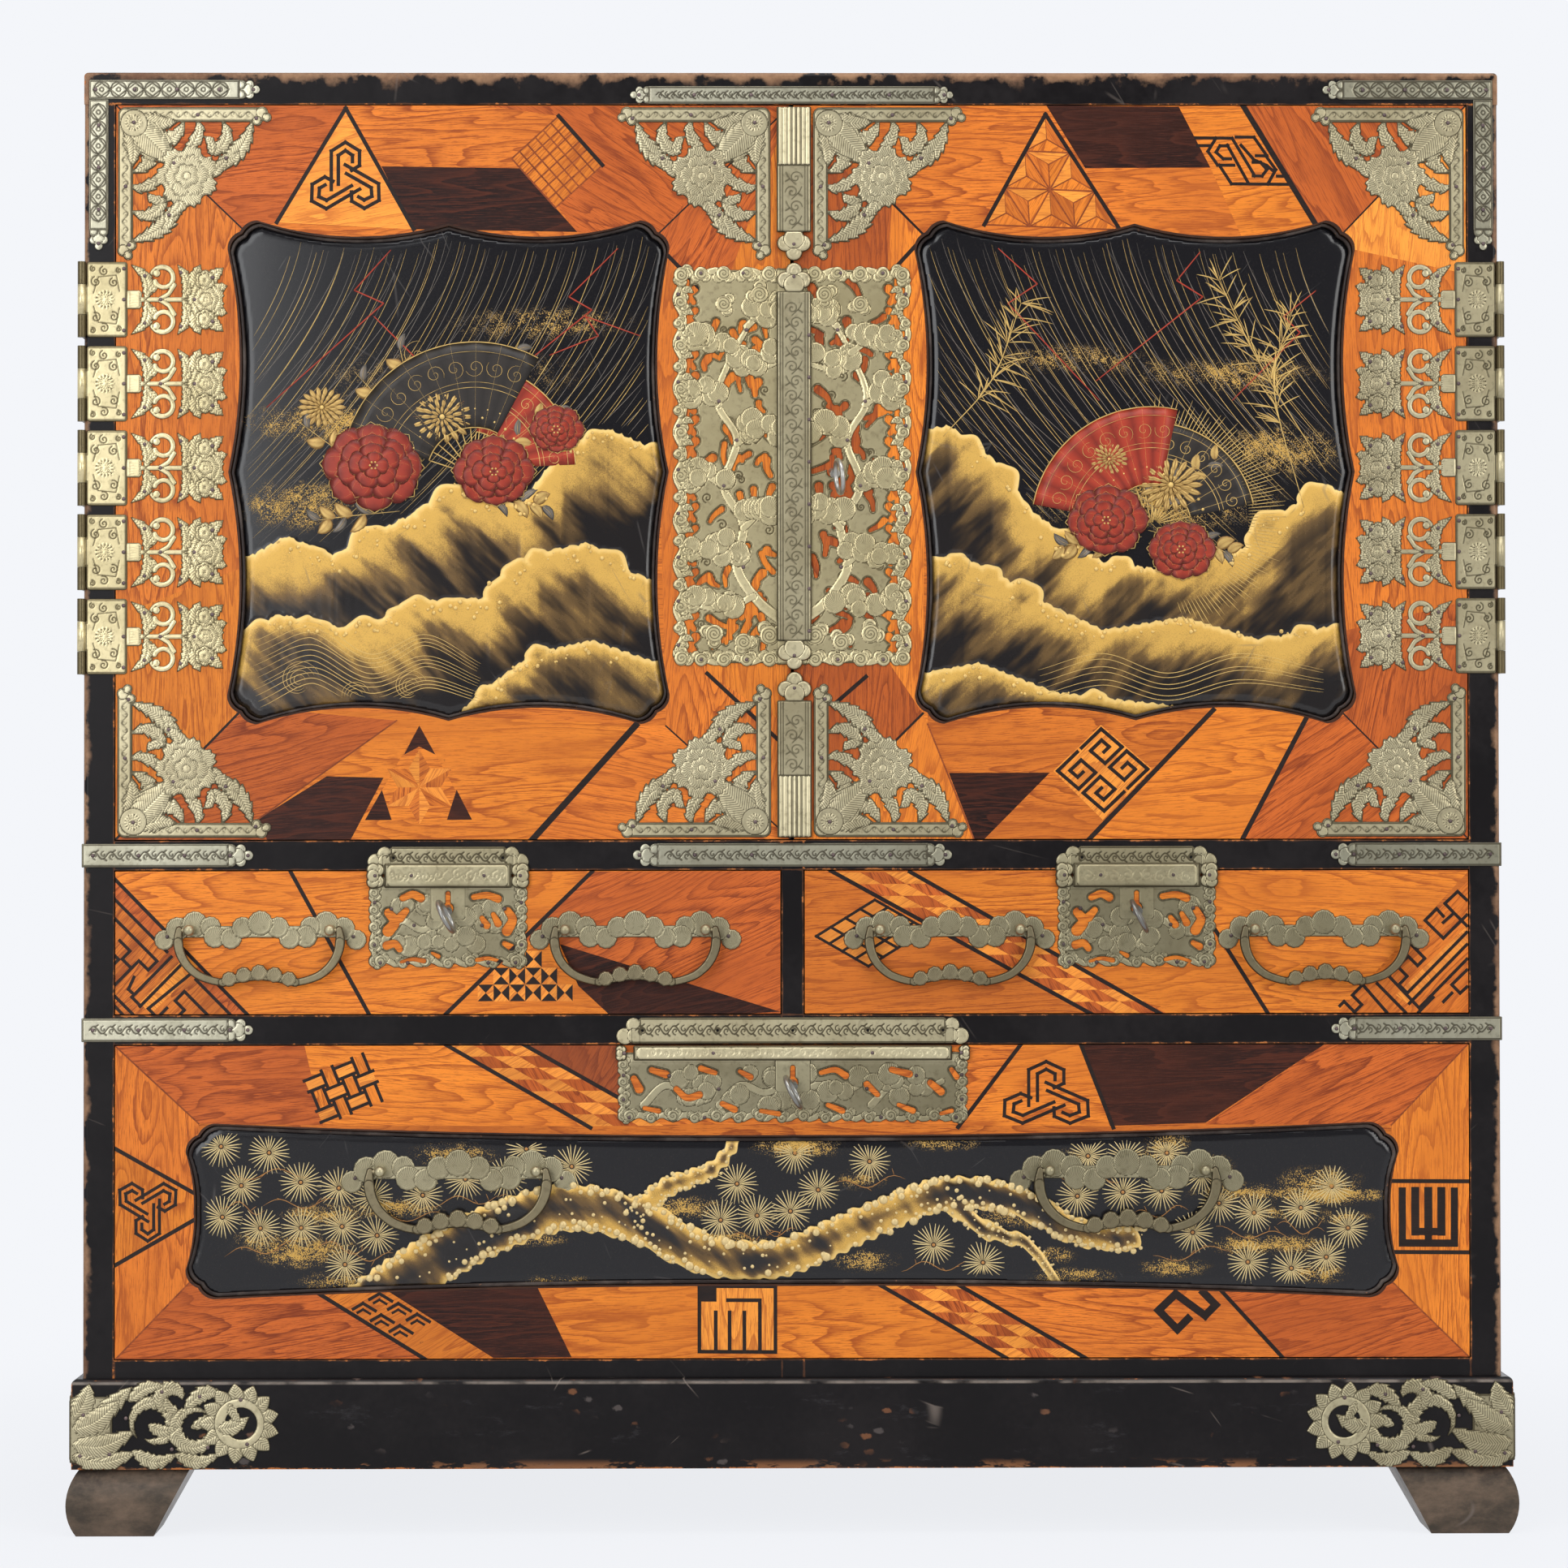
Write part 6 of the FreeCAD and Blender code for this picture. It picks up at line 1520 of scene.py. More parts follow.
def ringKnot(x, y, radius, turn=0.0, wide=1.0, width=4.5):
    # Hooks round a middle: each runs out, turns like a hexagon and comes back, and passes its neighbour.
    made = []
    hooks = ([(-0.29, -0.17), (-0.29, 0.62), (0.0, 0.80), (0.29, 0.62), (0.29, 0.32), (0.13, 0.22)],
             [(-0.145, -0.06), (-0.145, 0.53), (0.0, 0.63), (0.145, 0.53), (0.145, 0.40)])
    for k in range(3):
        a = math.radians(turn + 120 * k)
        for hook in hooks:
            path = [(x + wide * radius * (u * math.cos(a) + v * math.sin(a)),
                     y + radius * (u * math.sin(a) - v * math.cos(a)))
                    for u, v in hook]
            made += lines(path, width)
    return made


def doubleKnot():
    # two six-sided hooks, one in the other, between two bars
    made = []
    for path in ([(1474, 169.5), (1519, 169.5), (1547, 216)],
                 [(1519, 169.5), (1499, 169.5), (1489, 186), (1501, 203), (1521, 203)],
                 [(1514, 179), (1504, 179), (1499, 187), (1508, 195), (1517, 195)], [(1513, 178), (1539, 225)],
                 [(1524, 168), (1546, 168), (1562, 191), (1549, 191)],
                 [(1530, 178), (1546, 196), (1562, 203), (1569, 209)],
                 [(1503, 203), (1518, 226), (1589, 226)], [(1545, 216), (1556, 216), (1562, 208), (1554, 199),
                                                           (1545, 199)],
                 [(1538, 226), (1563, 226), (1573, 208), (1560, 190)], [(1476, 179), (1492, 179)],
                 [(1575, 216), (1588, 216)]):
        made += lines(path, 4.0)
    return made


def fret(paths, x, y, scale):
    made = []
    for path in paths:
        made += lines([(x + u / scale, y + v / scale) for u, v in path], 4.0)
    return made


def hempLeaf(apex, low, high, rows=2):
    # Hemp leaf pattern in a triangle: it is split into smaller ones, each with three lines to its middle.
    apex, low, high = (np.asarray(p, float) for p in (apex, low, high))
    made = [(np.array([apex, high, low]), "yellow", 20)]

    def corner(i, j):
        return apex + (low - apex) * i / rows + (high - low) * j / rows
    for i in range(rows):
        for j in range(i + 1):
            cells = [(corner(i, j), corner(i + 1, j), corner(i + 1, j + 1))]
            if j < i:
                cells.append((corner(i, j), corner(i, j + 1), corner(i + 1, j + 1)))
            for cell in cells:
                centre = sum(cell) / 3
                for k in range(3):
                    a, b = cell[k], cell[(k + 1) % 3]
                    made.append((np.array([a, b, centre]), ("yellow", "amber", "orange")[k], 60 * k))
                    made += lines([a, centre], 1.6, "brown")
                for k in range(3):
                    made += lines([cell[k], cell[(k + 1) % 3]], 2.0, "brown")
    return made


def star(x, y, radius):
    # Six-pointed star of split rhombs on black.
    made = []
    for k in range(6):
        a = [math.radians(60 * k + t) for t in (-30, 0, 30)]
        tip = (x + radius * math.sin(a[1]), y - radius * math.cos(a[1]))
        near = [(x + radius * 0.577 * math.sin(t), y - radius * 0.577 * math.cos(t)) for t in (a[0], a[2])]
        made.append((np.array([(x, y), near[0], tip]), "yellow", 60 * k))
        made.append((np.array([(x, y), tip, near[1]]), "orange", 60 * k + 30))
    return made


def pinwheel(a, b, c, across, along):
    # Squares split crosswise into four, dark and light by turns.
    made = []
    for i in range(across):
        for j in range(along):
            u, v, du, dv = i / across, j / along, 1 / across, 1 / along
            q = inBox(a, b, c, [(u, v), (u + du, v), (u + du, v + dv), (u, v + dv), (u + du / 2, v + dv / 2)])
            for k in range(4):
                made.append((np.array([q[k], q[(k + 1) % 4], q[4]]), ("black", "yellow")[(k + i + j) % 2], 45))
    return made


def keyFret(a, b, c):
    # Four square key coils, one in each quarter of a parallelogram, each the mirror of its neighbour.
    made = []
    unit = [(0.045, 0.455), (0.045, 0.045), (0.455, 0.045), (0.455, 0.40), (0.17, 0.40), (0.17, 0.17), (0.32, 0.17),
            (0.32, 0.28)]
    for du, dv in ((0, 0), (1, 0), (0, 1), (1, 1)):
        turned = [(abs(du - u), abs(dv - v)) for u, v in unit]
        made += lines(inBox(a, b, c, turned), 4.5)
    return made


def basket(at, across, down):
    # Basket weave: bars by turns along and across, each with a line on both long sides that runs to its neighbours.
    made = []
    for i in range(4):
        for j in range(3):
            middle = np.array(at, float) + i * np.array(across) + j * np.array(down)
            along, aside = (across, down) if (i + j) % 2 == 0 else (down, across)
            along, aside = np.array(along, float), np.array(aside, float)
            turn = math.degrees(math.atan2(-along[1], along[0]))
            cell = [middle + s * along * 0.5 + t * aside * 0.36 for s, t in ((-1, -1), (1, -1), (1, 1), (-1, 1))]
            made.append((np.array(cell), ("yellow", "amber")[(i + j) % 2], turn))
            for t in (-0.36, 0.36):
                made += lines([middle - along * 0.54 + aside * t, middle + along * 0.54 + aside * t], 4.0)
    return made


def roofs(apexes, arms):
    # Nested roof angles under each apex.
    made = []
    for x, y in apexes:
        for k, width in enumerate((4.0, 3.2)):
            size, fall = 1.0 - 0.45 * k, 7.5 * k
            made += lines([(x + size * arms[0][0], y + fall + size * arms[0][1]), (x, y + fall),
                           (x + size * arms[1][0], y + fall + size * arms[1][1])], width)
    return made


def veneerSheet(name, body, drawn, rect, hole, veneers, rim=None):
    # A flat sheet cut along every line of the drawing; each piece takes the last veneer of the list that covers it.
    # drawn gives the drawing's corners (left, right, top at each end, foot at each end); rect is its place in mm.
    xl, xr, (tl, tr), (bl, br) = drawn
    x0, x1, z0, z1 = rect

    def onFront(points):
        p = np.asarray(points, float)
        t = (p[:, 0] - xl) / (xr - xl)
        top, foot = tl + (tr - tl) * t, bl + (br - bl) * t
        return np.stack([x0 + (x1 - x0) * t, z1 - (z1 - z0) * (p[:, 1] - top) / (foot - top)], 1)
    shapes = [(onFront(points), wood, angle) for points, wood, angle in veneers]
    # rim is a band in the tone edge round the opening: painted shade
    shapes += [(rim, "edge", 0)] if rim is not None else []
    border = np.array([(x0, z0), (x1, z0), (x1, z1), (x0, z1)])
    loops = [border] + ([hole] if hole is not None else []) + [s[0] for s in shapes]
    spots, edges = [], []
    for loop in loops:
        start = len(spots)
        spots += [Vector((float(x), float(z))) for x, z in loop]
        edges += [(start + k, start + (k + 1) % len(loop)) for k in range(len(loop))]
    found = geometry.delaunay_2d_cdt(spots, edges, [], 0, 1e-4)
    flat = np.array([tuple(p) for p in found[0]])
    tris = np.array([tuple(f) for f in found[2]], int)
    area = np.cross(flat[tris[:, 1]] - flat[tris[:, 0]], flat[tris[:, 2]] - flat[tris[:, 0]])
    tris = np.where((area < 0)[:, None], tris[:, ::-1], tris)[np.abs(area) > 1e-5]
    middle = flat[tris].mean(1)

    def covers(loop):
        inside = np.zeros(len(middle), bool)
        for (ax, az), (bx, bz) in zip(loop, np.roll(loop, -1, 0)):
            if az != bz:
                inside ^= ((az > middle[:, 1]) != (bz > middle[:, 1])) & \
                          (middle[:, 0] < ax + (middle[:, 1] - az) * (bx - ax) / (bz - az))
        return inside
    keep = covers(border)
    if hole is not None:
        keep &= ~covers(hole)
    tris, middle = tris[keep], middle[keep]
    chance = np.random.default_rng(len(veneers))
    light, dark = np.zeros((len(tris), 4)), np.zeros((len(tris), 4))
    light[:, 3] = dark[:, 3] = 1
    angle, shift = np.zeros(len(tris)), np.zeros((len(tris), 2))
    for loop, wood, turn in [(border, "orange", 0)] + shapes:
        here = covers(loop)
        tone = chance.uniform(0.86, 1.12)
        light[here, :3] = np.array(woods[wood][0]) * tone
        dark[here, :3] = np.array(woods[wood][1]) * tone
        angle[here] = math.radians(turn)
        shift[here] = chance.uniform(-40, 40, 2)
    used, renumbered = np.unique(tris, return_inverse=True)
    tris = renumbered.reshape(-1, 3)
    flat = flat[used]
    pairs = np.concatenate([tris[:, [k, (k + 1) % 3]] for k in range(3)])
    key = pairs.min(1).astype(np.int64) * len(flat) + pairs.max(1)
    _, first, times = np.unique(key, return_index=True, return_counts=True)
    rim = pairs[first[times == 1]]
    n = len(flat)
    front = np.stack([flat[:, 0], np.full(n, -0.2), flat[:, 1]], 1)
    back = np.stack([flat[:, 0], np.zeros(n), flat[:, 1]], 1)
    walls = np.stack([rim[:, 1], rim[:, 0], rim[:, 0] + n, rim[:, 1] + n], 1)
    faces = [(tris, False), (tris[:, ::-1] + n, False), (walls, False)]
    corner = flat[tris] / 10.0
    c, s = np.cos(angle)[:, None], np.sin(angle)[:, None]
    u = corner[:, :, 0] * c + corner[:, :, 1] * s + shift[:, :1]
    v = -corner[:, :, 0] * s + corner[:, :, 1] * c + shift[:, 1:]
    uv = np.stack([u, v], 2)
    uv = np.concatenate([uv.reshape(-1, 2), uv[:, ::-1].reshape(-1, 2), np.zeros((len(walls) * 4, 2))])
    piece = meshObject(name, (np.vstack([front, back]), faces, {}), "veneer", body, uv=uv)
    for label, values in (("lightTone", light), ("darkTone", dark)):
        made = piece.data.attributes.new(label, "FLOAT_COLOR", "FACE")
        edge = np.tile(np.array([[0.02, 0.012, 0.01, 1.0]]), (len(walls), 1))
        made.data.foreach_set("color", np.concatenate([values, values, edge]).astype(np.float32).ravel())


# the drawers' corner frets, in steps of about a quarter of a drawing unit
leftFret = ([(12, 118), (250, 356)], [(12, 205), (205, 398), (165, 438), (122, 396)],
            [(35, 305), (82, 352), (46, 388), (88, 430)],
            [(12, 372), (30, 390), (12, 408)], [(122, 396), (12, 506)], [(270, 380), (90, 560), (128, 598)],
            [(100, 470), (75, 525), (100, 548)],
            [(335, 395), (128, 602)], [(378, 440), (165, 612), (205, 652)], [(382, 482), (552, 652)],
            [(330, 535), (447, 652)],
            [(330, 535), (288, 577), (330, 619), (297, 652)], [(250, 610), (222, 638)], [(12, 555), (110, 652)],
            [(12, 600), (62, 652)])
rightFret = ([(633, 118), (590, 78), (528, 135), (570, 178), (633, 240)], [(560, 190), (520, 225)],
             [(488, 160), (432, 215), (520, 300), (633, 190)],
             [(488, 160), (520, 195)], [(390, 255), (340, 305), (390, 355), (440, 305)],
             [(390, 355), (430, 395), (395, 430), (350, 385), (300, 435)],
             [(300, 435), (345, 480), (305, 520), (345, 560), (633, 272)],
             [(260, 480), (255, 478), (402, 630), (633, 399)], [(633, 330), (355, 608)],
             [(200, 515), (335, 650)], [(130, 520), (80, 570), (125, 615), (90, 650)], [(130, 520), (245, 650)],
             [(20, 620), (40, 600), (80, 640)],
             [(633, 450), (560, 520), (600, 560), (633, 530)], [(520, 600), (560, 560)], [(470, 580), (400, 650)])


def leftDoorVeneers():
    v = [([(142, 130), (974, 138), (845, 255), (806, 299), (302, 288), (240, 228)], "orange", 2),
         ([(142, 130), (240, 228), (302, 288), (301, 872), (243, 932), (142, 1035)], "orange", 90),
         ([(974, 138), (845, 255), (806, 299), (820, 898), (856, 933), (974, 1037)], "orange", 86),
         ([(142, 1035), (243, 932), (301, 872), (820, 898), (856, 933), (974, 1037)], "amber", 1),
         ([(142, 130), (425, 133), (340, 276), (302, 288), (240, 228)], "red", 4),
         ([(243, 932), (301, 872), (301, 700), (142, 760), (142, 1035)], "amber", 90),
         ([(824, 322), (806, 299), (845, 255), (974, 138), (974, 475)], "red", 62),
         ([(688, 148), (600, 135), (974, 138), (845, 255), (806, 299), (711, 291), (686, 259), (742, 209)], "red",
          150),
         ([(142, 1035), (243, 932), (301, 872), (488, 890), (318, 1010), (329, 1036)], "red", 12),
         ([(783, 897), (655, 1037), (974, 1037), (856, 933), (820, 898)], "orange", 172),
         ([(974, 138), (974, 900), (871, 834), (871, 620), (880, 400)], "amber", 92),
         ([(469, 208), (640, 212), (711, 291), (509, 286)], "ebony", 0),
         ([(425, 136), (509, 286), (340, 276)], "yellow", 10),
         ([(688, 148), (742, 209), (686, 259), (630, 200)], "amber", 45),
         ([(402, 958), (472, 960), (431, 1037), (329, 1037), (318, 1010)], "ebony", 4),
         ([(516, 896), (581, 1012), (449, 1012)], "amber", 0),
         ([(516, 896), (536, 932), (516, 922), (497, 932)], "ebony", 0),
         ([(449, 1012), (470, 975), (482, 1012)], "ebony", 0), ([(581, 1012), (562, 975), (550, 1012)], "ebony", 0)]
    v += ringKnot(424.6, 226, 60) + lines([(425, 136), (340, 276)]) + lines([(425, 136), (509, 286)])
    v += grid((688, 148), (742, 209), (630, 200), 6, 6, 2.0) + lines([(688, 148), (742, 209)], 5)
    v += star(516, 972, 46) + lines([(783, 897), (655, 1037)], 8) + lines([(824, 322), (892, 393)], 5)
    v += lines([(871, 834), (974, 930)], 5) + lines([(318, 1010), (488, 890)], 2, "brown")
    v += lines([(240, 228), (302, 288)], 2) + lines([(142, 1035), (301, 872)],
                                                    3) + lines([(820, 898), (974, 1037)], 2)
    return v + lines([(142, 130), (240, 228)], 2) + lines([(806, 299), (974, 138)], 2)


def rightDoorVeneers():
    v = [([(975, 134), (1808, 127), (1714, 227), (1655, 287), (1141, 296), (1098, 253)], "orange", 1),
         ([(975, 134), (1098, 253), (1141, 296), (1135, 882), (1090, 927), (975, 1037)], "red", 88),
         ([(1808, 127), (1714, 227), (1655, 287), (1646, 871), (1710, 932), (1808, 1033)], "orange", 92),
         ([(975, 1037), (1090, 927), (1135, 882), (1646, 871), (1710, 932), (1808, 1033)], "amber", 4),
         ([(1714, 227), (1808, 127), (1808, 335), (1640, 300), (1655, 287)], "yellow", 84),
         ([(1532, 130), (1808, 127), (1714, 227), (1655, 287), (1622, 275)], "red", 118),
         ([(1453, 131), (1532, 131), (1622, 275), (1530, 290), (1492, 206)], "amber", 4),
         ([(1289, 131), (1453, 131), (1492, 206), (1337, 208)], "ebony", 0),
         ([(975, 1037), (1090, 927), (1135, 882), (1141, 895), (1198, 1037)], "amber", 80),
         ([(1141, 895), (1141, 870), (1494, 876), (1339, 1037), (1198, 1037)], "orange", 3),
         ([(1608, 887), (1529, 1036), (1808, 1033), (1710, 932), (1646, 871)], "red", 35),
         ([(1646, 871), (1808, 1033), (1808, 740), (1646, 780)], "red", 80),
         ([(1135, 882), (1141, 296), (1098, 253), (1080, 500), (1080, 800)], "amber", 90),
         ([(1167, 955), (1292, 954), (1210, 1037), (1199, 1037)], "ebony", 0),
         ([(1355, 895), (1418, 949), (1357, 1012), (1296, 952)], "yellow", 45)]
    v += hempLeaf((1288, 142), (1212, 279), (1380, 284), 3) + lines([(1288, 142),
                                                                     (1212, 279)]) + lines([(1288, 142), (1380, 284)])
    v += doubleKnot() + lines([(1532, 128), (1622, 275)], 7)
    v += keyFret((1355, 895), (1418, 949), (1296, 952)) + lines([(1494, 876), (1339, 1037)], 6)
    v += lines([(1608, 887), (1529, 1036)], 6) + lines([(1141, 895), (1198, 1037)], 2, "brown")
    v += lines([(1065, 837), (1027, 870)], 5) + lines([(1098, 253), (1141, 296)],
                                                      3) + lines([(1090, 927), (1135, 882)], 3)
    v += lines([(1655, 287), (1808, 127)], 2) + lines([(1646, 871), (1808, 1033)], 2)
    return v + lines([(1145, 286), (1100, 335)], 5)


def leftDrawerVeneers():
    v = [([(142, 1074), (357, 1075), (454, 1248), (304, 1248), (142, 1084)], "amber", 2),
         ([(357, 1075), (729, 1079), (548, 1249), (454, 1248)], "amber", 5),
         ([(729, 1079), (961, 1080), (961, 1248), (548, 1249)], "red", 24),
         ([(689, 1165), (961, 1246), (891, 1250), (751, 1250), (712, 1215)], "ebony", 14),
         ([(689, 1165), (712, 1215), (751, 1250), (548, 1250), (640, 1160)], "amber", 0),
         ([(142, 1084), (304, 1248), (142, 1248)], "orange", 45)]
    v += pinwheel((588, 1213), (705, 1213), (588, 1233), 6, 1) + pinwheel((607, 1193), (686, 1193), (607, 1213), 4, 1)
    v += pinwheel((627, 1173), (667, 1173), (627, 1193), 2, 1)
    v += [([(142, 1084), (304, 1248), (282, 1248), (142, 1106)], "red", 45),
          ([(230, 1176), (172, 1234), (186, 1248), (244, 1190)], "yellow", 135)]
    v += lines([(142, 1084), (304, 1248)], 4.5)
    v += lines([(357, 1075), (454, 1248)]) + lines([(729, 1079), (548, 1249)])
    return v + fret(leftFret, 138, 1076, 3.706)


def rightDrawerVeneers():
    v = [([(988, 1078), (1117, 1077), (1420, 1248), (988, 1248)], "orange", 3),
         ([(1117, 1077), (1447, 1090), (1557, 1248), (1420, 1248)], "amber", 2),
         ([(1447, 1076), (1803, 1076), (1641, 1248), (1557, 1248)], "amber", 178),
         ([(1803, 1086), (1641, 1248), (1803, 1248)], "orange", 45)]
    v += chequer((1025, 1078), (1117, 1077), (1339, 1248), 3, 12, ("yellow", "red"), 30)
    v += lines([(1117, 1077), (1425, 1248)]) + lines([(1020, 1076), (1339, 1248)])
    v += [([(1002, 1155), (1074, 1111), (1138, 1147), (1064, 1192)], "yellow", 30)]
    v += grid((1074, 1111), (1138, 1147), (1002, 1155), 4, 4, 3.4, "black")
    v += lines([(1447, 1076), (1557, 1248)])
    v += [([(1803, 1140), (1803, 1160), (1728, 1235), (1714, 1225)], "yellow", 135)]
    return v + fret(rightFret, 1640, 1080, 3.924)


def longDrawerVeneers():
    v = [([(140, 1290), (1799, 1284), (1703, 1384), (243, 1386)], "orange", 1),
         ([(140, 1290), (243, 1386), (241, 1572), (140, 1678)], "orange", 90),
         ([(1799, 1284), (1703, 1384), (1694, 1565), (1799, 1666)], "amber", 90),
         ([(140, 1678), (241, 1572), (1694, 1565), (1799, 1666)], "orange", 2),
         ([(140, 1290), (372, 1289), (395, 1388), (243, 1386)], "red", 5),
         ([(560, 1288), (719, 1388), (395, 1388), (372, 1289)], "amber", 176),
         ([(640, 1288), (758, 1353), (758, 1288)], "brown", 60),
         ([(1249, 1287), (1322, 1286), (1360, 1386), (1174, 1386)], "amber", 3),
         ([(1322, 1286), (1625, 1284), (1475, 1382), (1358, 1386)], "ebony", 2),
         ([(1625, 1284), (1799, 1284), (1703, 1384), (1475, 1384)], "red", 22),
         ([(139, 1416), (236, 1471), (236, 1505), (139, 1562)], "amber", 90),
         ([(140, 1678), (241, 1572), (373, 1584), (519, 1674)], "red", 8),
         ([(373, 1584), (457, 1580), (603, 1672), (519, 1674)], "amber", 28),
         ([(457, 1580), (651, 1573), (699, 1671), (603, 1672)], "ebony", 3),
         ([(651, 1573), (1061, 1570), (1234, 1671), (699, 1671)], "amber", 2),
         ([(1156, 1570), (1481, 1572), (1572, 1670), (1332, 1671)], "orange", 176),
         ([(1481, 1572), (1694, 1565), (1799, 1666), (1572, 1670)], "red", 14)]
    v += chequer((548, 1289), (640, 1288), (719, 1388), 3, 7, ("yellow", "red"), 30)
    v += lines([(544, 1288), (722, 1390)]) + lines([(640, 1288), (765, 1358)])
    v += chequer((1061, 1571), (1156, 1571), (1234, 1671), 3, 7, ("yellow", "red"), 30)
    v += lines([(1059, 1571), (1236, 1672)]) + lines([(1156, 1571), (1334, 1672)])
    v += lines([(139, 1416), (240, 1473)]) + lines([(139, 1562),
                                                    (240, 1503)]) + ringKnot(181, 1489, 52, 180, 0.95, 4.0)
    v += basket((384.8, 1336), (18.7, -7.7), (7.6, 18.6)) + lines([(1249, 1287),
                                                                   (1172, 1388)]) + lines([(1322, 1286), (1362, 1388)])
    v += ringKnot(1280, 1352, 55, 0, 1.35, 4.2) + lines([(1699, 1452),
                                                         (1799, 1452)]) + lines([(1699, 1538), (1799, 1538)])
    v += lines([(1716, 1464), (1716, 1527), (1780, 1527), (1780, 1464)], 9)
    for x in (1732, 1748, 1764):
        v += lines([(x, 1464), (x, 1513)], 10)
    v += lines([(1732, 1513), (1764, 1513)], 9) + lines([(1748, 1513), (1748, 1526)],
                                                        9) + lines([(373, 1584), (523, 1676)])
    v += roofs([(464, 1594), (487, 1606), (510, 1619), (444, 1606), (466, 1620), (489, 1633)], ((-12, 7), (15, 9)))
    v += lines([(1481, 1572), (1574, 1672)])
    v += [([(855, 1583), (948, 1583), (948, 1663), (855, 1663)], "yellow", 90)]
    v += lines([(855, 1583), (948, 1583), (948, 1663), (855, 1663), (855, 1583)], 4.6)
    v += [([(855, 1583), (876, 1583), (876, 1602), (855, 1602)], "black", 0)]
    v += lines([(890, 1600), (929, 1600), (929, 1663)], 4.6)
    for x in (875, 892, 910):
        v += lines([(x, 1615), (x, 1663)], 4.6)
    v += lines([(1453, 1620), (1440, 1633), (1417, 1610), (1438, 1590), (1474, 1616), (1487, 1603), (1472, 1588)],
               9.5)
    v += lines([(140, 1290), (243, 1386)], 2, "brown") + lines([(140, 1678), (241, 1572)], 2, "brown")
    return v + lines([(1799, 1284), (1703, 1384)], 2, "brown") + lines([(1694, 1565), (1799, 1666)], 2, "brown")


px, pz, pw, ph = panelPlaces["door"]
lx, lz, lw, lh = panelPlaces["long"]
drawerShape = dict(cusps=False, topDip=7.5, sideDip=5.0)
veneerSheet("left_door_inlay", "left_door", (142, 974, (130, 138), (1035, 1037)), (-415.25, -1.0, 425.75, 877.25),
            cartouche(pw, ph, -0.05, middle=(-px, pz)), leftDoorVeneers(), cartouche(pw, ph, -1.3, middle=(-px, pz)))
veneerSheet("right_door_inlay", "right_door", (976, 1808, (134, 127), (1037, 1033)), (1.0, 415.25, 425.75, 877.25),
            cartouche(pw, ph, -0.05, middle=(px, pz)), rightDoorVeneers(), cartouche(pw, ph, -1.3, middle=(px, pz)))
veneerSheet("left_drawer_inlay", "left_drawer", (142, 961, (1074, 1080), (1248, 1248)),
            (-415.25, -7.5, 318.75, 406.25),
            None, leftDrawerVeneers())
veneerSheet("right_drawer_inlay", "right_drawer", (988, 1803, (1076, 1074), (1248, 1246)),
            (7.5, 415.25, 318.75, 406.25),
            None, rightDrawerVeneers())
veneerSheet("long_drawer_inlay", "long_drawer", (141, 1798, (1291, 1286), (1676, 1664)),
            (-415.25, 415.25, 107.75, 299.25),
            cartouche(lw, lh, -0.05, middle=(lx, lz), **drawerShape), longDrawerVeneers(),
            cartouche(lw, lh, -1.1, middle=(lx, lz), **drawerShape))
print("inlaid fronts ready")


# lacquer pictures: clouds, hills, waves, rain, pine and flowers in gold
goldTone = dict(gold=(0.60, 0.355, 0.075, 1), pale=(0.84, 0.61, 0.23, 1), deep=(0.17, 0.095, 0.028, 1),
                red=(0.52, 0.028, 0.012, 1), grey=(0.085, 0.075, 0.07, 1), black=(0.0065, 0.006, 0.0075, 1))


def picturedLacquer(name, hills, streak, slant):
    # each hill's attribute is the depth in mm below its rim: gold there, fading to black dust over the fade length
    shader, place = newMaterial(name, Coat_Weight=0.1, Coat_Roughness=0.08, Specular_IOR_Level=0.35)
    grains = noise(place, 1500.0, 2.0, 0.6)
    clots = noise(stretched(place, (1.0, 1.0, 1.0 / streak)), 130.0, 4.0, 0.62)
    turned = stretched(place, (1.0, 1.0, 1.0), turn=(0, slant, 0))
    wide = between(noise(stretched(turned, (1.0, 1.0, 0.22)), 62.0, 3.0, 0.55), 0.34, 0.7)
    broad = between(noise(place, 17.0, 2.0), 0.36, 0.64)
    length = 0.16 + (wide + 0.25) * (broad + 0.35)
    colour = blendColour(between(grains, 0.6, 0.72), goldTone["black"], (0.02, 0.016, 0.013, 1))
    mist = attribute(place, "mist")
    level = grains * 0.62 + clots * 0.38 - mist * 0.17
    dust = 1.0 - between(level, 0.37, 0.43)
    dust = dust * between(mist, 0.04, 0.3)
    colour = blendColour(dust * 0.85, colour, goldTone["gold"])
    shine = dust
    for label, fade in hills:
        depth = attribute(place, label)
        inside = between(depth, -0.15, 0.35)
        share = highest(depth, 0.0) / (fade * length)
        body = 0.37 ** (share * share)
        body = calc("MULTIPLY", body, 0.8 + clots * 0.4, clamp=True)
        sprinkle = calc("MULTIPLY", body, 0.6 + grains * 0.8, clamp=True)
        tone = blendColour(between(sprinkle, 0.0, 0.55, False), (0.012, 0.01, 0.01, 1), goldTone["deep"])
        tone = blendColour(between(sprinkle, 0.45, 1.0), tone, goldTone["gold"])
        bright = 1.0 - between(depth, 0.3, 4.0)
        tone = blendColour(bright * 0.6, tone, goldTone["pale"])
        colour = blendColour(inside, colour, tone)
        shine = shine * (1.0 - inside) + inside * sprinkle
    marks = placeGroup(scratches, Vector=place, Amount=0.35)[0]
    colour = blendColour(marks, colour, (0.1, 0.09, 0.085, 1))
    join(shine * 0.35, shader.inputs["Metallic"])
    finishShader(shader, colour, 0.2 + shine * 0.28, dust * 0.4 + shine * grains, 0.3, 0.0004)


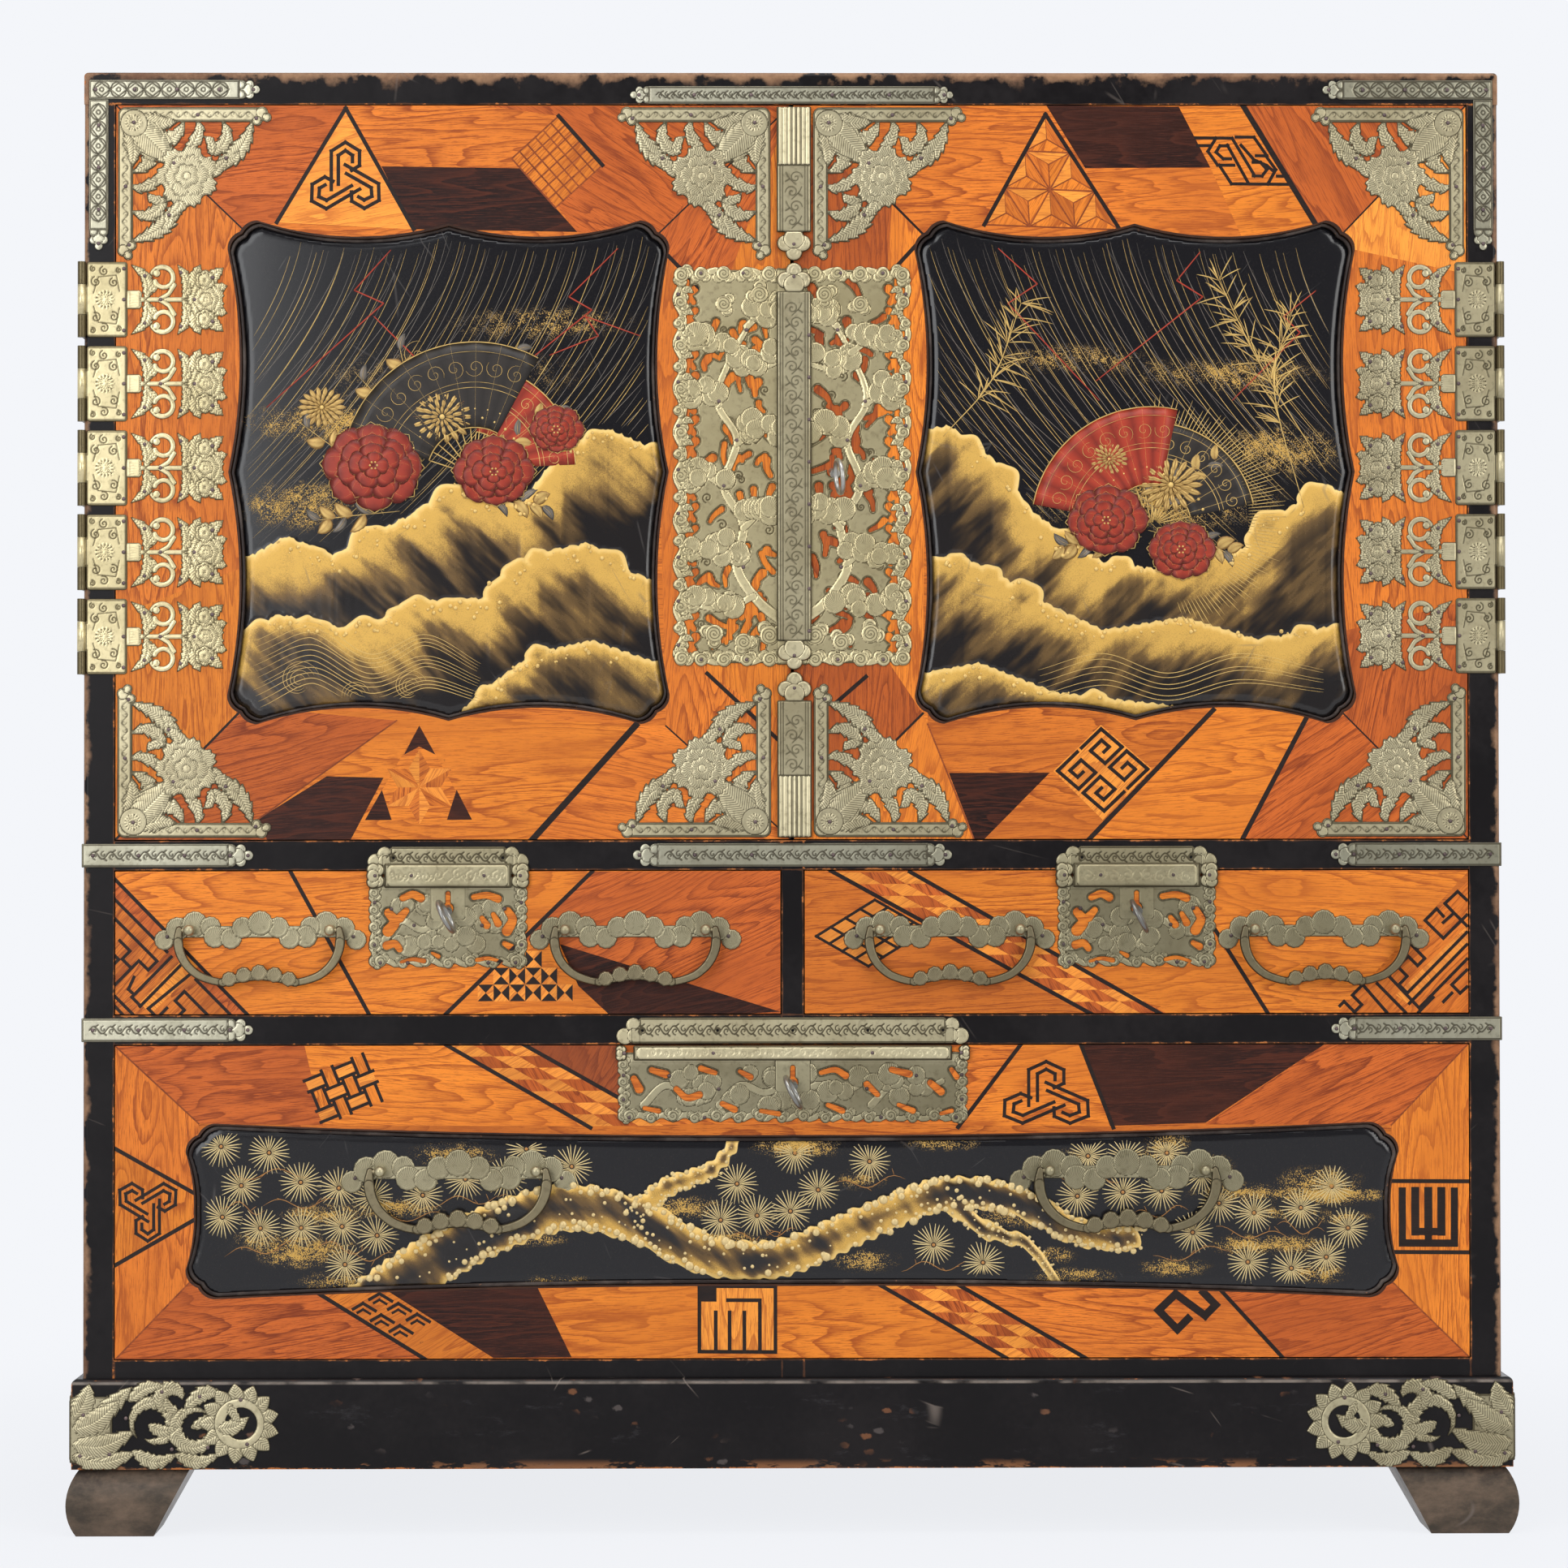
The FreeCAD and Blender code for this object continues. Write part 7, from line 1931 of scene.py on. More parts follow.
def goldLacquer(name, light, dark, metallic):
    # raised strokes: light on the ridge and painted shade towards the rim by the attribute relief, rubbed by noise
    shader, place = newMaterial(name, Metallic=metallic, Specular_IOR_Level=0.3)
    rise = attribute(place, "relief")
    rubbed = noise(place, 160.0, 4.0, 0.65)
    colour = blendColour(between(rise, 0.2, 1.05), dark, light)
    colour = blendColour(between(rubbed, 0.52, 0.75) * 0.55, colour, dark)
    finishShader(shader, colour, 0.28 + rubbed * 0.25, noise(place, 1200.0, 2.0), 0.15, 0.0003)


grounds = dict(leftPicture=((("hillA", 30.0), ("hillB", 34.0), ("hillC", 26.0)), 1.0, 0.8),
               rightPicture=((("hillA", 32.0), ("hillB", 30.0), ("hillC", 22.0)), 1.0, -0.8),
               longPicture=((("hillA", 9.0),), 0.5, 0.8))
# each stroke finish: the lit tone of a ridge, the painted-shade tone of a rim, and the metallic share
strokes = dict(goldWork=((0.66, 0.45, 0.15, 1), (0.22, 0.12, 0.035, 1), 0.4),
               redWork=((0.42, 0.045, 0.020, 1), (0.10, 0.008, 0.005, 1), 0.0),
               darkWork=((0.030, 0.024, 0.020, 1), (0.010, 0.008, 0.007, 1), 0.0),
               needleWork=((0.66, 0.52, 0.26, 1), (0.40, 0.29, 0.12, 1), 0.4),
               greyWork=((0.20, 0.17, 0.14, 1), (0.05, 0.045, 0.04, 1), 0.4),
               knobWork=((0.62, 0.47, 0.22, 1), (0.40, 0.27, 0.10, 1), 0.3),
               twigWork=((0.42, 0.20, 0.06, 1), (0.16, 0.07, 0.025, 1), 0.4))
for name, values in grounds.items():
    picturedLacquer(name, *values)
for name, values in strokes.items():
    goldLacquer(name, *values)


def sampled(relief, values):
    # a grid of values read between its corners: the bilinear mean of the four round each point
    def read(x, z):
        u = np.clip((np.asarray(x, float) - relief.xs[0]) / relief.step, 0, len(relief.xs) - 1.001)
        v = np.clip((np.asarray(z, float) - relief.zs[0]) / relief.step, 0, len(relief.zs) - 1.001)
        i, j = u.astype(int), v.astype(int)
        u, v = u - i, v - j
        low = values[j, i] * (1 - u) + values[j, i + 1] * u
        return low * (1 - v) + (values[j + 1, i] * (1 - u) + values[j + 1, i + 1] * u) * v
    return read


class Picture:
    # strokes on a panel: everything is gathered by material and laid on the panel's own surface

    def __init__(self, surface, rim, hills):
        self.surface, self.rim, self.hills = surface, rim, hills
        self.made = {}

    def free(self, points, margin=3.0, over=False):
        x, z = points[:, 0], points[:, 1]
        ok = self.rim(x, z) < -margin
        if not over:
            for hill in self.hills:
                ok &= hill(x, z) < -0.6
        return ok

    def add(self, kind, points, faces, relief):
        self.made.setdefault(kind, []).append((points, faces, {"relief": relief}))

    def line(self, points, width=0.4, kind="goldWork", height=0.16, taper=0.35, over=False, margin=3.0):
        # a prism along the points, thinned to taper at its ends; parts that are hidden by hills are left out
        points = np.asarray(points, float)
        ok = self.free(points, margin, over)
        cuts = np.nonzero(np.diff(ok.astype(int)))[0] + 1
        for part, good in zip(np.split(points, cuts), np.split(ok, cuts)):
            if good[0] and len(part) > 2:
                n = len(part)
                d = np.gradient(part, axis=0)
                d /= np.maximum(np.linalg.norm(d, axis=1)[:, None], 1e-9)
                side = np.stack([-d[:, 1], d[:, 0]], 1)
                t = np.linspace(0, 1, n)
                half = (width / 2 * (taper + (1 - taper) * np.sin(np.pi * t) ** 0.6))[:, None]
                rows = [part - side * half, part, part + side * half]
                lift = [-0.12, height, -0.12]
                solid = [np.stack([r[:, 0], self.surface(r[:, 0], r[:, 1]) - h, r[:, 1]], 1)
                         for r, h in zip(rows, lift)]
                k = np.arange(n - 1)
                quads = np.concatenate([np.stack([a * n + k, a * n + k + 1, b * n + k + 1, b * n + k], 1)
                                        for a, b in ((0, 1), (1, 2), (2, 0))])
                ends = np.array([[0, n, 2 * n], [n - 1, 3 * n - 1, 2 * n - 1]])
                # the attribute relief is 1 along the middle and 0.3 at the sides: painted shade across the line
                self.add(kind, np.vstack(solid), [(quads, True), (ends, False)],
                         np.concatenate([np.full(n, 0.3), np.ones(n), np.full(n, 0.3)]))

    def leafSolid(self, kind, spots, rise, n, across, tone):
        # a closed leaf: n rows of points over the panel's surface by rise, its back 0.3 mm inside it
        ground = self.surface(spots[:, 0], spots[:, 1])
        front = np.stack([spots[:, 0], ground - rise, spots[:, 1]], 1)
        back = np.stack([spots[:, 0], ground + 0.3, spots[:, 1]], 1)
        i, j = np.meshgrid(np.arange(n - 1), np.arange(across - 1), indexing="ij")
        a = (i * across + j).ravel()
        quads = np.stack([a, a + 1, a + across + 1, a + across], 1)
        m = n * across
        border = np.concatenate([np.arange(across), np.arange(1, n) * across + across - 1,
                                 (n - 1) * across + np.arange(across - 2, -1, -1), np.arange(n - 2, 0, -1) * across])
        after = np.roll(border, -1)
        walls = np.stack([after, border, border + m, after + m], 1)
        faces = [(quads, True), (quads[:, ::-1] + m, False), (walls, False)]
        edge1, edge2 = front[quads[0, 1]] - front[quads[0, 0]], front[quads[0, 3]] - front[quads[0, 0]]
        if np.cross(edge1, edge2)[1] > 0:
            faces = [(f[:, ::-1], s) for f, s in faces]
        # tone goes to the attribute relief on the front: painted shade for the gold finishes
        self.add(kind, np.vstack([front, back]), faces, np.concatenate([tone, np.zeros(m)]))

    def fan(self, x, z, radius, aim, spread, folds, kind="redWork", lift=0.45):
        # an open folding fan: pleats between two arcs, ribs to the pivot, gold rims, arcs and dots on the paper
        low = 0.36      # the paper's inner edge as a share of the radius
        angles = aim + spread * np.linspace(-0.5, 0.5, folds + 1)
        rays = np.stack([np.cos(angles), np.sin(angles)], 1)
        reach = radius * np.linspace(low, 1.0, 7)
        spots = (np.array([x, z]) + rays[:, None, :] * reach[None, :, None]).reshape(-1, 2)
        # every other pleat stands higher and lighter, the rest lower with painted shade by the attribute relief
        pleatRiseAndShade = np.repeat(np.where(np.arange(folds + 1) % 2, 1.0, 0.3), 7)
        self.leafSolid(kind, spots, lift * (0.5 + 0.5 * pleatRiseAndShade), folds + 1, 7, 0.35 + 0.55 * pleatRiseAndShade)
        fine = aim + spread * np.linspace(-0.5, 0.5, 60)
        for share, width in ((1.0, 1.3), (0.93, 0.6), (0.70, 0.6), (0.66, 0.9), (low, 1.2)):
            self.line(np.array([x, z]) + radius * share * np.stack([np.cos(fine), np.sin(fine)], 1), width,
                      "goldWork", lift + 0.25, 0.9, True)
        for ray in rays[::2]:
            self.line(np.array([x, z]) + ray * (radius * np.linspace(0.04, low, 6))[:, None], 1.1, "goldWork", 0.4,
                      0.8, True)
        for ray in rays[1::2]:
            self.line(np.array([x, z]) + ray * (radius * np.linspace(low, 1.0, 8))[:, None], 0.5, "goldWork",
                      lift + 0.2, 0.8, True)
        for a in aim + spread * np.linspace(-0.44, 0.44, folds // 2):
            curl = coil(x + 0.81 * radius * math.cos(a), z + 0.81 * radius * math.sin(a), 0.075 * radius, 0.4, a, 1.5)
            self.line(curl, 0.8, "goldWork", lift + 0.3, 0.4, True)
            self.dots([(x + 0.5 * radius * math.cos(a), z + 0.5 * radius * math.sin(a), 1.0)], "goldWork", 1.1)

    def petal(self, line, width, kind="goldWork", height=0.7, full=0.55, over=True, blunt=0.75, base=0.0):
        # a domed leaf along a line: half width times sin(pi u^k), its height a parabola across
        line = np.asarray(line, float)
        if not self.free(line, 3.5, over).all():
            return
        n, across = len(line), 5
        u = np.linspace(0.0, 1.0, n)
        half = width * np.sin(np.pi * np.clip(u, 0.001, 0.999) ** (math.log(0.5) / math.log(full))) ** blunt + 0.05
        d = np.gradient(line, axis=0)
        d /= np.linalg.norm(d, axis=1)[:, None]
        side = np.stack([-d[:, 1], d[:, 0]], 1)
        v = np.linspace(-1, 1, across)
        spots = (line[:, None, :] + side[:, None, :] * (half[:, None] * v)[:, :, None]).reshape(-1, 2)
        crease = 1 - v ** 2 - 0.35 * (np.abs(v) < 0.01)
        rise = (height * crease[None, :] * np.sin(np.pi * np.clip(u, 0.03, 0.97))[:, None] ** 0.5).ravel()
        # the attribute relief follows the height: painted shade at the petal's rim and crease, light on its ridge
        self.leafSolid(kind, spots, rise + base, n, across, 0.1 + 0.9 * rise / height)

    def dots(self, places, kind="goldWork", height=0.7):
        places = np.asarray(places, float)
        places = places[self.free(places[:, :2], 4.0, True)]
        for radius in np.unique(np.round(places[:, 2], 1)):
            some = places[np.round(places[:, 2], 1) == radius]
            ground = self.surface(some[:, 0], some[:, 1])
            solid = studs([(x, y, z, 0, -1, 0) for (x, z, _), y in zip(some, ground)], max(radius, 0.3),
                          height * max(radius, 0.3), 8)
            self.add(kind, solid[0], solid[1], np.ones(len(solid[0])))

    def chrysanthemum(self, x, z, radius, base=0.5):
        # three rings of narrow petals, each with a dark line down its middle
        for ring, (low, high, some) in enumerate(((0.45, 1.0, 18), (0.25, 0.72, 15), (0.08, 0.42, 12))):
            for k in range(some):
                a = 2 * math.pi * (k + 0.5 * ring) / some
                c = np.array([math.cos(a), math.sin(a) * 0.85])
                s = np.linspace(low, high, 6)[:, None] * radius
                width = radius * 0.085 * (1.25 - 0.25 * ring)
                self.petal(np.array([x, z]) + s * c, width, "goldWork", base + 0.35 * ring)
                self.line(np.array([x, z]) + s[1:5] * c, 0.4, "twigWork", base + 0.05 + 0.35 * ring, 0.4, True)
        self.dots([(x, z, radius * 0.1)], "goldWork")

    def peony(self, x, z, radius):
        # ruffled round petals in four rings, each with a gold contour and gold veins
        for ring, (low, high, some, wide) in enumerate(((0.34, 1.0, 8, 0.36), (0.20, 0.76, 7, 0.30),
                                                        (0.06, 0.54, 5, 0.26), (0.0, 0.32, 4, 0.17))):
            for k in range(some):
                a = 2 * math.pi * (k + 0.45 * ring) / some + 0.3 * ring + 0.06 * math.sin(5 * k + x)
                c, q = np.array([math.cos(a), math.sin(a) * 0.86]), np.array([-math.sin(a), math.cos(a) * 0.86])
                s = np.linspace(low, high * (1 + 0.05 * math.sin(7 * k + z)), 9)[:, None] * radius
                line, over = np.array([x, z]) + s * c, 1.0 + 0.4 * ring
                self.petal(line, wide * radius, "redWork", 0.6, 0.62, True, 0.5, over)
                u = np.linspace(0.06, 0.96, 14)[:, None]
                bulge = wide * radius * np.sin(np.pi * u ** (math.log(0.5) / math.log(0.62))) ** 0.5
                spine = line[0] + (line[-1] - line[0]) * u
                for share, width in ((1.0, 0.95), (0.5, 0.45), (-0.5, 0.45), (-1.0, 0.95)):
                    vein = spine + share * bulge * q
                    vein = vein if abs(share) == 1 else vein[4:-2]
                    self.line(vein, width, "goldWork", over + 0.15 + 0.6 * (1 - share ** 2), 0.5, True)
                frill = 0.05 * radius * c * np.cos(np.linspace(-1.5, 1.5, 7) * 3)[:, None]
                cap = line[-1] + np.linspace(-0.52, 0.52, 7)[:, None] * wide * radius * q + frill
                self.line(cap, 0.95, "goldWork", over + 0.2, 0.6, True)
        eye = [(x + 2.2 * math.cos(a), z + 2.2 * math.sin(a), 1.0) for a in np.arange(0, 6.2, 1.05)]
        self.dots(eye, "goldWork", 3.4)

    def leafSpray(self, root, tip, count, lean):
        # a bent stem with leaves by turns on both sides, every third of them grey
        stem = bow([root, ((root[0] + tip[0]) / 2 + lean, (root[1] + tip[1]) / 2), tip], 12)
        self.line(stem, 0.8, "goldWork", 0.3, 0.4, True)
        for k in range(count):
            spot = stem[int((0.25 + 0.75 * k / count) * (len(stem) - 1))]
            d = np.array(tip, float) - np.array(root, float)
            a = math.atan2(d[1], d[0]) + (0.75 if k % 2 else -0.75)
            length = 15 * (1 - 0.3 * k / count)
            t = np.linspace(0, 1, 7)[:, None]
            bend = np.array([-math.sin(a), math.cos(a)]) * (0.12 * length) * np.sin(np.pi * t)
            leaf = spot + t * length * np.array([math.cos(a), math.sin(a)]) + bend
            self.petal(leaf, 3.0 * (0.9 + 0.2 * (k % 3)), "goldWork" if k % 3 else "greyWork", 0.5, 0.42)
            self.line(leaf[:-1], 0.4, "twigWork" if k % 3 else "goldWork", 0.55, 0.4, True)

    def bamboo(self, root, tip, seed, bend=8.0):
        # a thin culm with tufts of narrow pointed leaves that hang to one side
        chance = np.random.default_rng(seed)
        middle = ((root[0] + tip[0]) / 2 - bend, (root[1] + tip[1]) / 2 + bend)
        culm = bow([root, middle, tip], 16)
        self.line(culm, 1.1, "goldWork", 0.4, 0.4, True)
        for share in np.linspace(0.35, 1.0, 9):
            spot = culm[int(share * (len(culm) - 1))]
            for _ in range(6):
                a = math.atan2(tip[1] - root[1], tip[0] - root[0]) + chance.uniform(-1.5, 1.3)
                length = chance.uniform(9, 24)
                t = np.linspace(0, 1, 8)[:, None]
                line = spot + t * length * np.array([math.cos(a),
                                                     math.sin(a)]) + np.array([0, -0.14 * length]) * t ** 2
                self.line(line, 1.15, "goldWork", 0.3, 0.05, True)

    def needles(self, x, z, radius, count=22, seed=0, turn=0.0):
        chance = np.random.default_rng(seed)
        for k in range(count):
            a = turn + 2 * math.pi * (k + chance.uniform(-0.2, 0.2)) / count
            c = np.array([math.cos(a), math.sin(a)])
            s = np.linspace(0.12, chance.uniform(0.88, 1.0), 5)[:, None] * radius
            self.line(np.array([x, z]) + s * c, 1.15, "needleWork", 0.22, 0.45, True, 2.0)
        self.dots([(x, z, 1.1)], "twigWork", 0.5)

    def finish(self, name, body, middle):
        for kind, parts in self.made.items():
            points, faces, values = together(parts)
            points = points + np.array([middle[0], 0.0, middle[1]])
            meshObject(name + "_" + kind, (points, faces, values), kind, body)


def lobesAlong(points, seed, count, low, high):
    # puffs of rock on a rim line
    chance = np.random.default_rng(seed)
    xs, zs = np.array(sorted(points)).T
    made = []
    for _ in range(count):
        x, r = chance.uniform(xs[0], xs[-1]), chance.uniform(low, high)
        made.append((x, np.interp(x, xs, zs) - r * chance.uniform(0.2, 0.9), r))
    return made


def hillBelow(points, lumps=1.4, pitch=7.0, seed=0.0, lobes=()):
    # depth below a rim line z(x): knobbly like clouds, the lumps are |sin|
    xs, zs = np.array(sorted(points)).T

    def depth(x, z):
        rim = np.interp(x, xs, zs)
        rim = rim + lumps * (np.abs(np.sin(np.pi * x / pitch + seed + 0.8 * np.sin(x * 0.11 + seed))) - 0.4)
        rim = rim + 0.5 * lumps * np.abs(np.sin(np.pi * x / (pitch * 0.43) + 2 * seed))
        slope = (np.interp(x + 1, xs, zs) - np.interp(x - 1, xs, zs)) / 2
        down = (rim - z) / np.sqrt(1 + slope ** 2)
        for cx, cz, r in lobes:
            puff = r * (1 + 0.05 * np.sin(5 * np.arctan2(z - cz, x - cx) + cx))
            down = np.maximum(down, puff - np.hypot(x - cx, (z - cz) * 1.1))
        return down
    return depth


def cloudMist(x, z, spots):
    # soft bands of gold dust: sums of flat bell shapes at (x, z, half length, half height, strength)
    total = np.zeros(np.shape(x))
    for cx, cz, a, b, strength in spots:
        total += strength * np.exp(-((x - cx) / a) ** 2 - ((z - cz) / b) ** 2)
    return np.clip(total, 0, 1)


def panelGround(name, body, node, material, middle, outline, hills, mist, size, step, crown, depth=8.4, cushion=3.6):
    # the domed ground: depth less crown (x / a)^2, rolled off at the rim, hills raised by 0.9 mm below their rims
    r = Relief(-size[0], size[0], -size[1], size[1], step)
    r.gap = outlineGap(r.x, r.z, outline)
    extra = {"mist": mist(r.x, r.z)}
    for label, hill in zip(("hillA", "hillB", "hillC"), hills):
        down = hill(r.x, r.z)
        extra[label] = down
        swell = 1.1 * ease(down / 4.0) - 0.5 * ease((down - 8) / 30)
        r.lift = np.where(down > 0, swell, r.lift)
    sheet = 3.0

    def bent(x):
        return depth - sheet - crown * (x / size[0]) ** 2
    solid = placed(sheetSolid(r, sheet, cushion, bent, extra), (middle[0], depth + 0.5, middle[1]))
    meshObject(name, solid, material, body, (node,))
    roll = ease(-r.gap / cushion)
    out = sheet * (0.62 + 0.38 * roll) + r.lift * roll + bent(r.x)
    fields = [sampled(r, extra[label]) for label in ("hillA", "hillB", "hillC") if label in extra]
    return Picture(sampled(r, depth + 0.5 - out), sampled(r, r.gap), fields)


def lipRing(name, body, outline, middle, high, low, half=1.1, stands=()):
    # a rounded bead along the opening
    path = np.stack([outline[:, 0], np.zeros(len(outline)), outline[:, 1]], 1)
    tangents = np.roll(path, -1, 0) - np.roll(path, 1, 0)
    top = [(half * math.cos(a), high - 1.3 + 1.3 * math.sin(a)) for a in np.linspace(0, math.pi, 9)]
    profile = np.array(top + [(-half, low), (half, low)])
    points, faces, _ = sweptAlong(path, tangents, profile)
    points = points + np.array([middle[0], 0.0, middle[1]])
    solid = (points, faces, {"relief": np.ones(len(points))})
    meshObject(name, solid, "lipLacquer", body, stands)


def rain(picture, starts, lean, fall, seed, kind=("goldWork", "goldWork", "greyWork"), curve=1.6):
    chance = np.random.default_rng(seed)
    t = np.linspace(0, 1, 40)
    for k, x0 in enumerate(starts):
        x0 = x0 + chance.uniform(-2.5, 2.5)
        reach = chance.uniform(0.7, 1.0)
        u = chance.uniform(0.0, 0.12) + t * reach
        x = x0 + lean * u ** curve
        z = 156 - fall * u ** 0.92 + 5 * np.sin(3 * u + k * 0.05)
        picture.line(np.stack([x, z], 1), chance.uniform(0.4, 0.72), kind[k % len(kind)], 0.12, 0.3)


def flowingLines(picture, path, count):
    # a wave: lines side by side that follow one another and draw together at the end
    path = bow(path, 14)
    d = np.gradient(path, axis=0)
    d /= np.linalg.norm(d, axis=1)[:, None]
    side = np.stack([-d[:, 1], d[:, 0]], 1)
    t = np.linspace(0, 1, len(path))[:, None]
    for k in range(count):
        picture.line(path + side * k * -3.8 * (1 - 0.55 * t), 0.8, "goldWork", 0.14, 0.3, True)


def doorPicture(side, x0, rims, mist):
    # The ground of a door's picture; each rim is its points, then hillBelow's and lobesAlong's values.
    hills = [hillBelow(line, *shape, lobesAlong(line, *lobes)) for line, shape, lobes in rims]
    ground = panelGround(side + "_door_picture", side + "_door", side + "_door_panel", side + "Picture", (x0, pz),
                         cartouche(pw, ph, 2.3), hills, lambda x, z: cloudMist(x, z, mist), (133, 152), 1.4, 2.6)
    return ground, hills


def lightning(picture, paths):
    for path in paths:
        line = np.vstack([np.linspace(a, b, 6) for a, b in zip(path[:-1], path[1:])])
        picture.line(line, 1.35, "redWork", 0.3, 0.7)


def hillDots(picture, hills, spans, above, seed):
    # Gold grains a little below each hill's rim; spans gives the heights that are searched for it.
    chance = np.random.default_rng(seed)
    spots = []
    for x in np.arange(-118, 120, 5.0):
        for hill, (low, high) in zip(hills, spans):
            if chance.random() < 0.55:
                zs = np.linspace(low, high + above, 60)
                d = hill(np.full(60, x), zs)
                z = zs[np.argmin(np.abs(d - chance.uniform(2, 9)))]
                spots += [(x + chance.uniform(-3, 3), z + chance.uniform(-3, 2), chance.choice([0.7, 1.0, 1.4]))
                          for _ in range(2)]
    picture.dots(spots)


def leftPicture():
    rims = [([(-140, -62), (-100, -40), (-70, -52), (-30, -30), (10, -14), (44, -20), (70, 14), (98, 26), (140, 8)],
             (1.6, 6.5, 0.7), (1, 15, 7, 17)),
            ([(-140, -104), (-104, -88), (-60, -98), (-16, -80), (24, -78), (56, -50), (86, -44), (112, -62),
              (140, -72)],
             (1.5, 7.5, 2.1), (2, 13, 7, 16)),
            ([(-140, -170), (-6, -160), (22, -134), (52, -112), (88, -104), (140, -122)],
             (1.4, 6.0, 4.0), (3, 8, 6, 13))]
    mist = [(-60, 30, 60, 10, 0.55), (60, 92, 50, 9, 0.35), (-90, -20, 30, 12, 0.6), (0, 60, 80, 16, 0.25)]
    p, hills = doorPicture("left", -px, rims, mist)
    rain(p, np.linspace(-92, 300, 84), -150, 210, 3)
    rain(p, np.linspace(-60, 250, 26), -175, 200, 8, ("greyWork",))
    lightning(p, ([(104, 138), (74, 108), (88, 100), (36, 58)], [(-30, 143), (-58, 112), (-40, 104), (-112, 40)],
                  [(-46, 96), (-10, 60)], [(118, 84), (84, 96), (92, 84), (62, 72)]))
    for k in range(3):
        flowingLines(p, [(-120, -104 - 15 * k), (-84, -92 - 14 * k), (-48, -112 - 12 * k), (-14, -100 - 13 * k),
                         (20, -118 - 9 * k)], 4)
    for x, z, r in ((-92, -128, 13), (-58, -138, 10), (-24, -132, 11)):
        for q in np.linspace(0.3, 1.0, 4):
            p.line(coil(x, z, r * q, r * q * 0.55, 0.05, 0.8, 26), 0.5, "goldWork", 0.2, 0.3, True)
    p.fan(16, -2, 82, 1.95, 1.75, 18, "darkWork", lift=1.0)
    p.fan(14, 2, 64, 0.74, 1.4, 12, lift=0.25)
    for a, z in ((-66, -6), (-46, 24), (-20, 60), (10, 56), (40, 20), (70, 8)):
        p.line(coil(a, z + 12, 9, 1.2, 0.2, 1.25 if a < 0 else -1.25, 30), 0.6, "goldWork", 0.25, 0.3, True)
    for root, tip, lean in (((-40, -26), (-96, 34), 10), ((-30, -24), (-84, -30), -4), ((6, 10), (-32, 84), -8),
                            ((0, 20), (44, 82), 8), ((20, -6), (74, 44), -6), ((10, -14), (62, -22), 6),
                            ((-20, 10), (-58, 62), 4)):
        p.leafSpray(root, tip, 7, lean)
    p.peony(-46, 4, 31)
    p.chrysanthemum(-4, 34, 20, 1.3)
    p.peony(28, 0, 25)
    p.chrysanthemum(-78, 40, 15)
    p.peony(66, 26, 17)
    hillDots(p, hills, ((-60, 40), (-100, -20), (-150, -90)), 20, 5)
    p.finish("left_picture", "left_door", (-px, pz))


def rightPicture():
    rims = [([(-140, 24), (-114, 28), (-88, 8), (-62, -26), (-20, -56), (24, -62), (66, -48), (96, -22), (118, -8),
              (140, -20)],
             (1.6, 7.0, 0.2), (11, 15, 7, 16)),
            ([(-140, -58), (-106, -52), (-66, -76), (-20, -98), (30, -90), (76, -104), (140, -92)],
             (1.4, 6.5, 1.4), (12, 12, 6, 14)),
            ([(-140, -126), (-96, -118), (-50, -136), (0, -142), (60, -148), (140, -160)],
             (1.3, 6.0, 3.0), (13, 7, 6, 11))]
    mist = [(60, 60, 50, 9, 0.4), (-40, 70, 40, 8, 0.35), (90, 14, 30, 12, 0.6), (10, -20, 60, 14, 0.5)]
    p, hills = doorPicture("right", px, rims, mist)
    rain(p, np.linspace(-300, 100, 88), 165, 225, 13, curve=1.5)
    rain(p, np.linspace(-240, 60, 24), 180, 200, 18, ("greyWork",))
    lightning(p, ([(-84, 138), (-60, 116), (-78, 104), (-22, 44)], [(44, 140), (26, 118), (42, 108), (-24, 56)],
                  [(112, 112), (92, 96), (102, 86), (60, 44)]))
    p.bamboo((118, 0), (52, 118), 3)
    p.bamboo((104, -22), (96, 96), 4, 14)
    p.bamboo((-118, 22), (-70, 104), 6, -6)
    for k in range(84):
        a = math.radians(-72 + 1.9 * k)
        c = np.array([math.cos(a), math.sin(a) * 0.86])
        s = np.linspace(64, 84 + 5 * math.sin(k * 1.7), 5)[:, None]
        p.line(np.array([6.0, -28.0]) + s * c, 0.8, "goldWork", 0.22, 0.2, True)
    p.fan(10, -34, 74, 2.15, 1.6, 16, lift=1.0)
    p.fan(12, -32, 62, 0.95, 1.5, 14, "darkWork", lift=0.25)
    for root, tip, lean in (((0, -34), (-54, 6), 8), ((4, -40), (-50, -46), -4), ((10, -30), (58, 12), -8),
                            ((8, -36), (62, -52), 6), ((4, -30), (0, 34), 6)):
        p.leafSpray(root, tip, 8, lean)
    p.peony(-18, -30, 25)
    p.chrysanthemum(22, -8, 20, 1.3)
    p.peony(28, -48, 21)
    p.chrysanthemum(-16, 8, 13, 1.3)
    for k in range(3):
        flowingLines(p, [(-60, -122 - 8 * k), (-20, -112 - 8 * k), (20, -124 - 7 * k), (64, -112 - 8 * k),
                         (116, -122 - 6 * k)], 2)
    hillDots(p, hills, ((-60, 40), (-100, -40), (-150, -105)), 10, 9)
    p.finish("right_picture", "right_door", (px, pz))


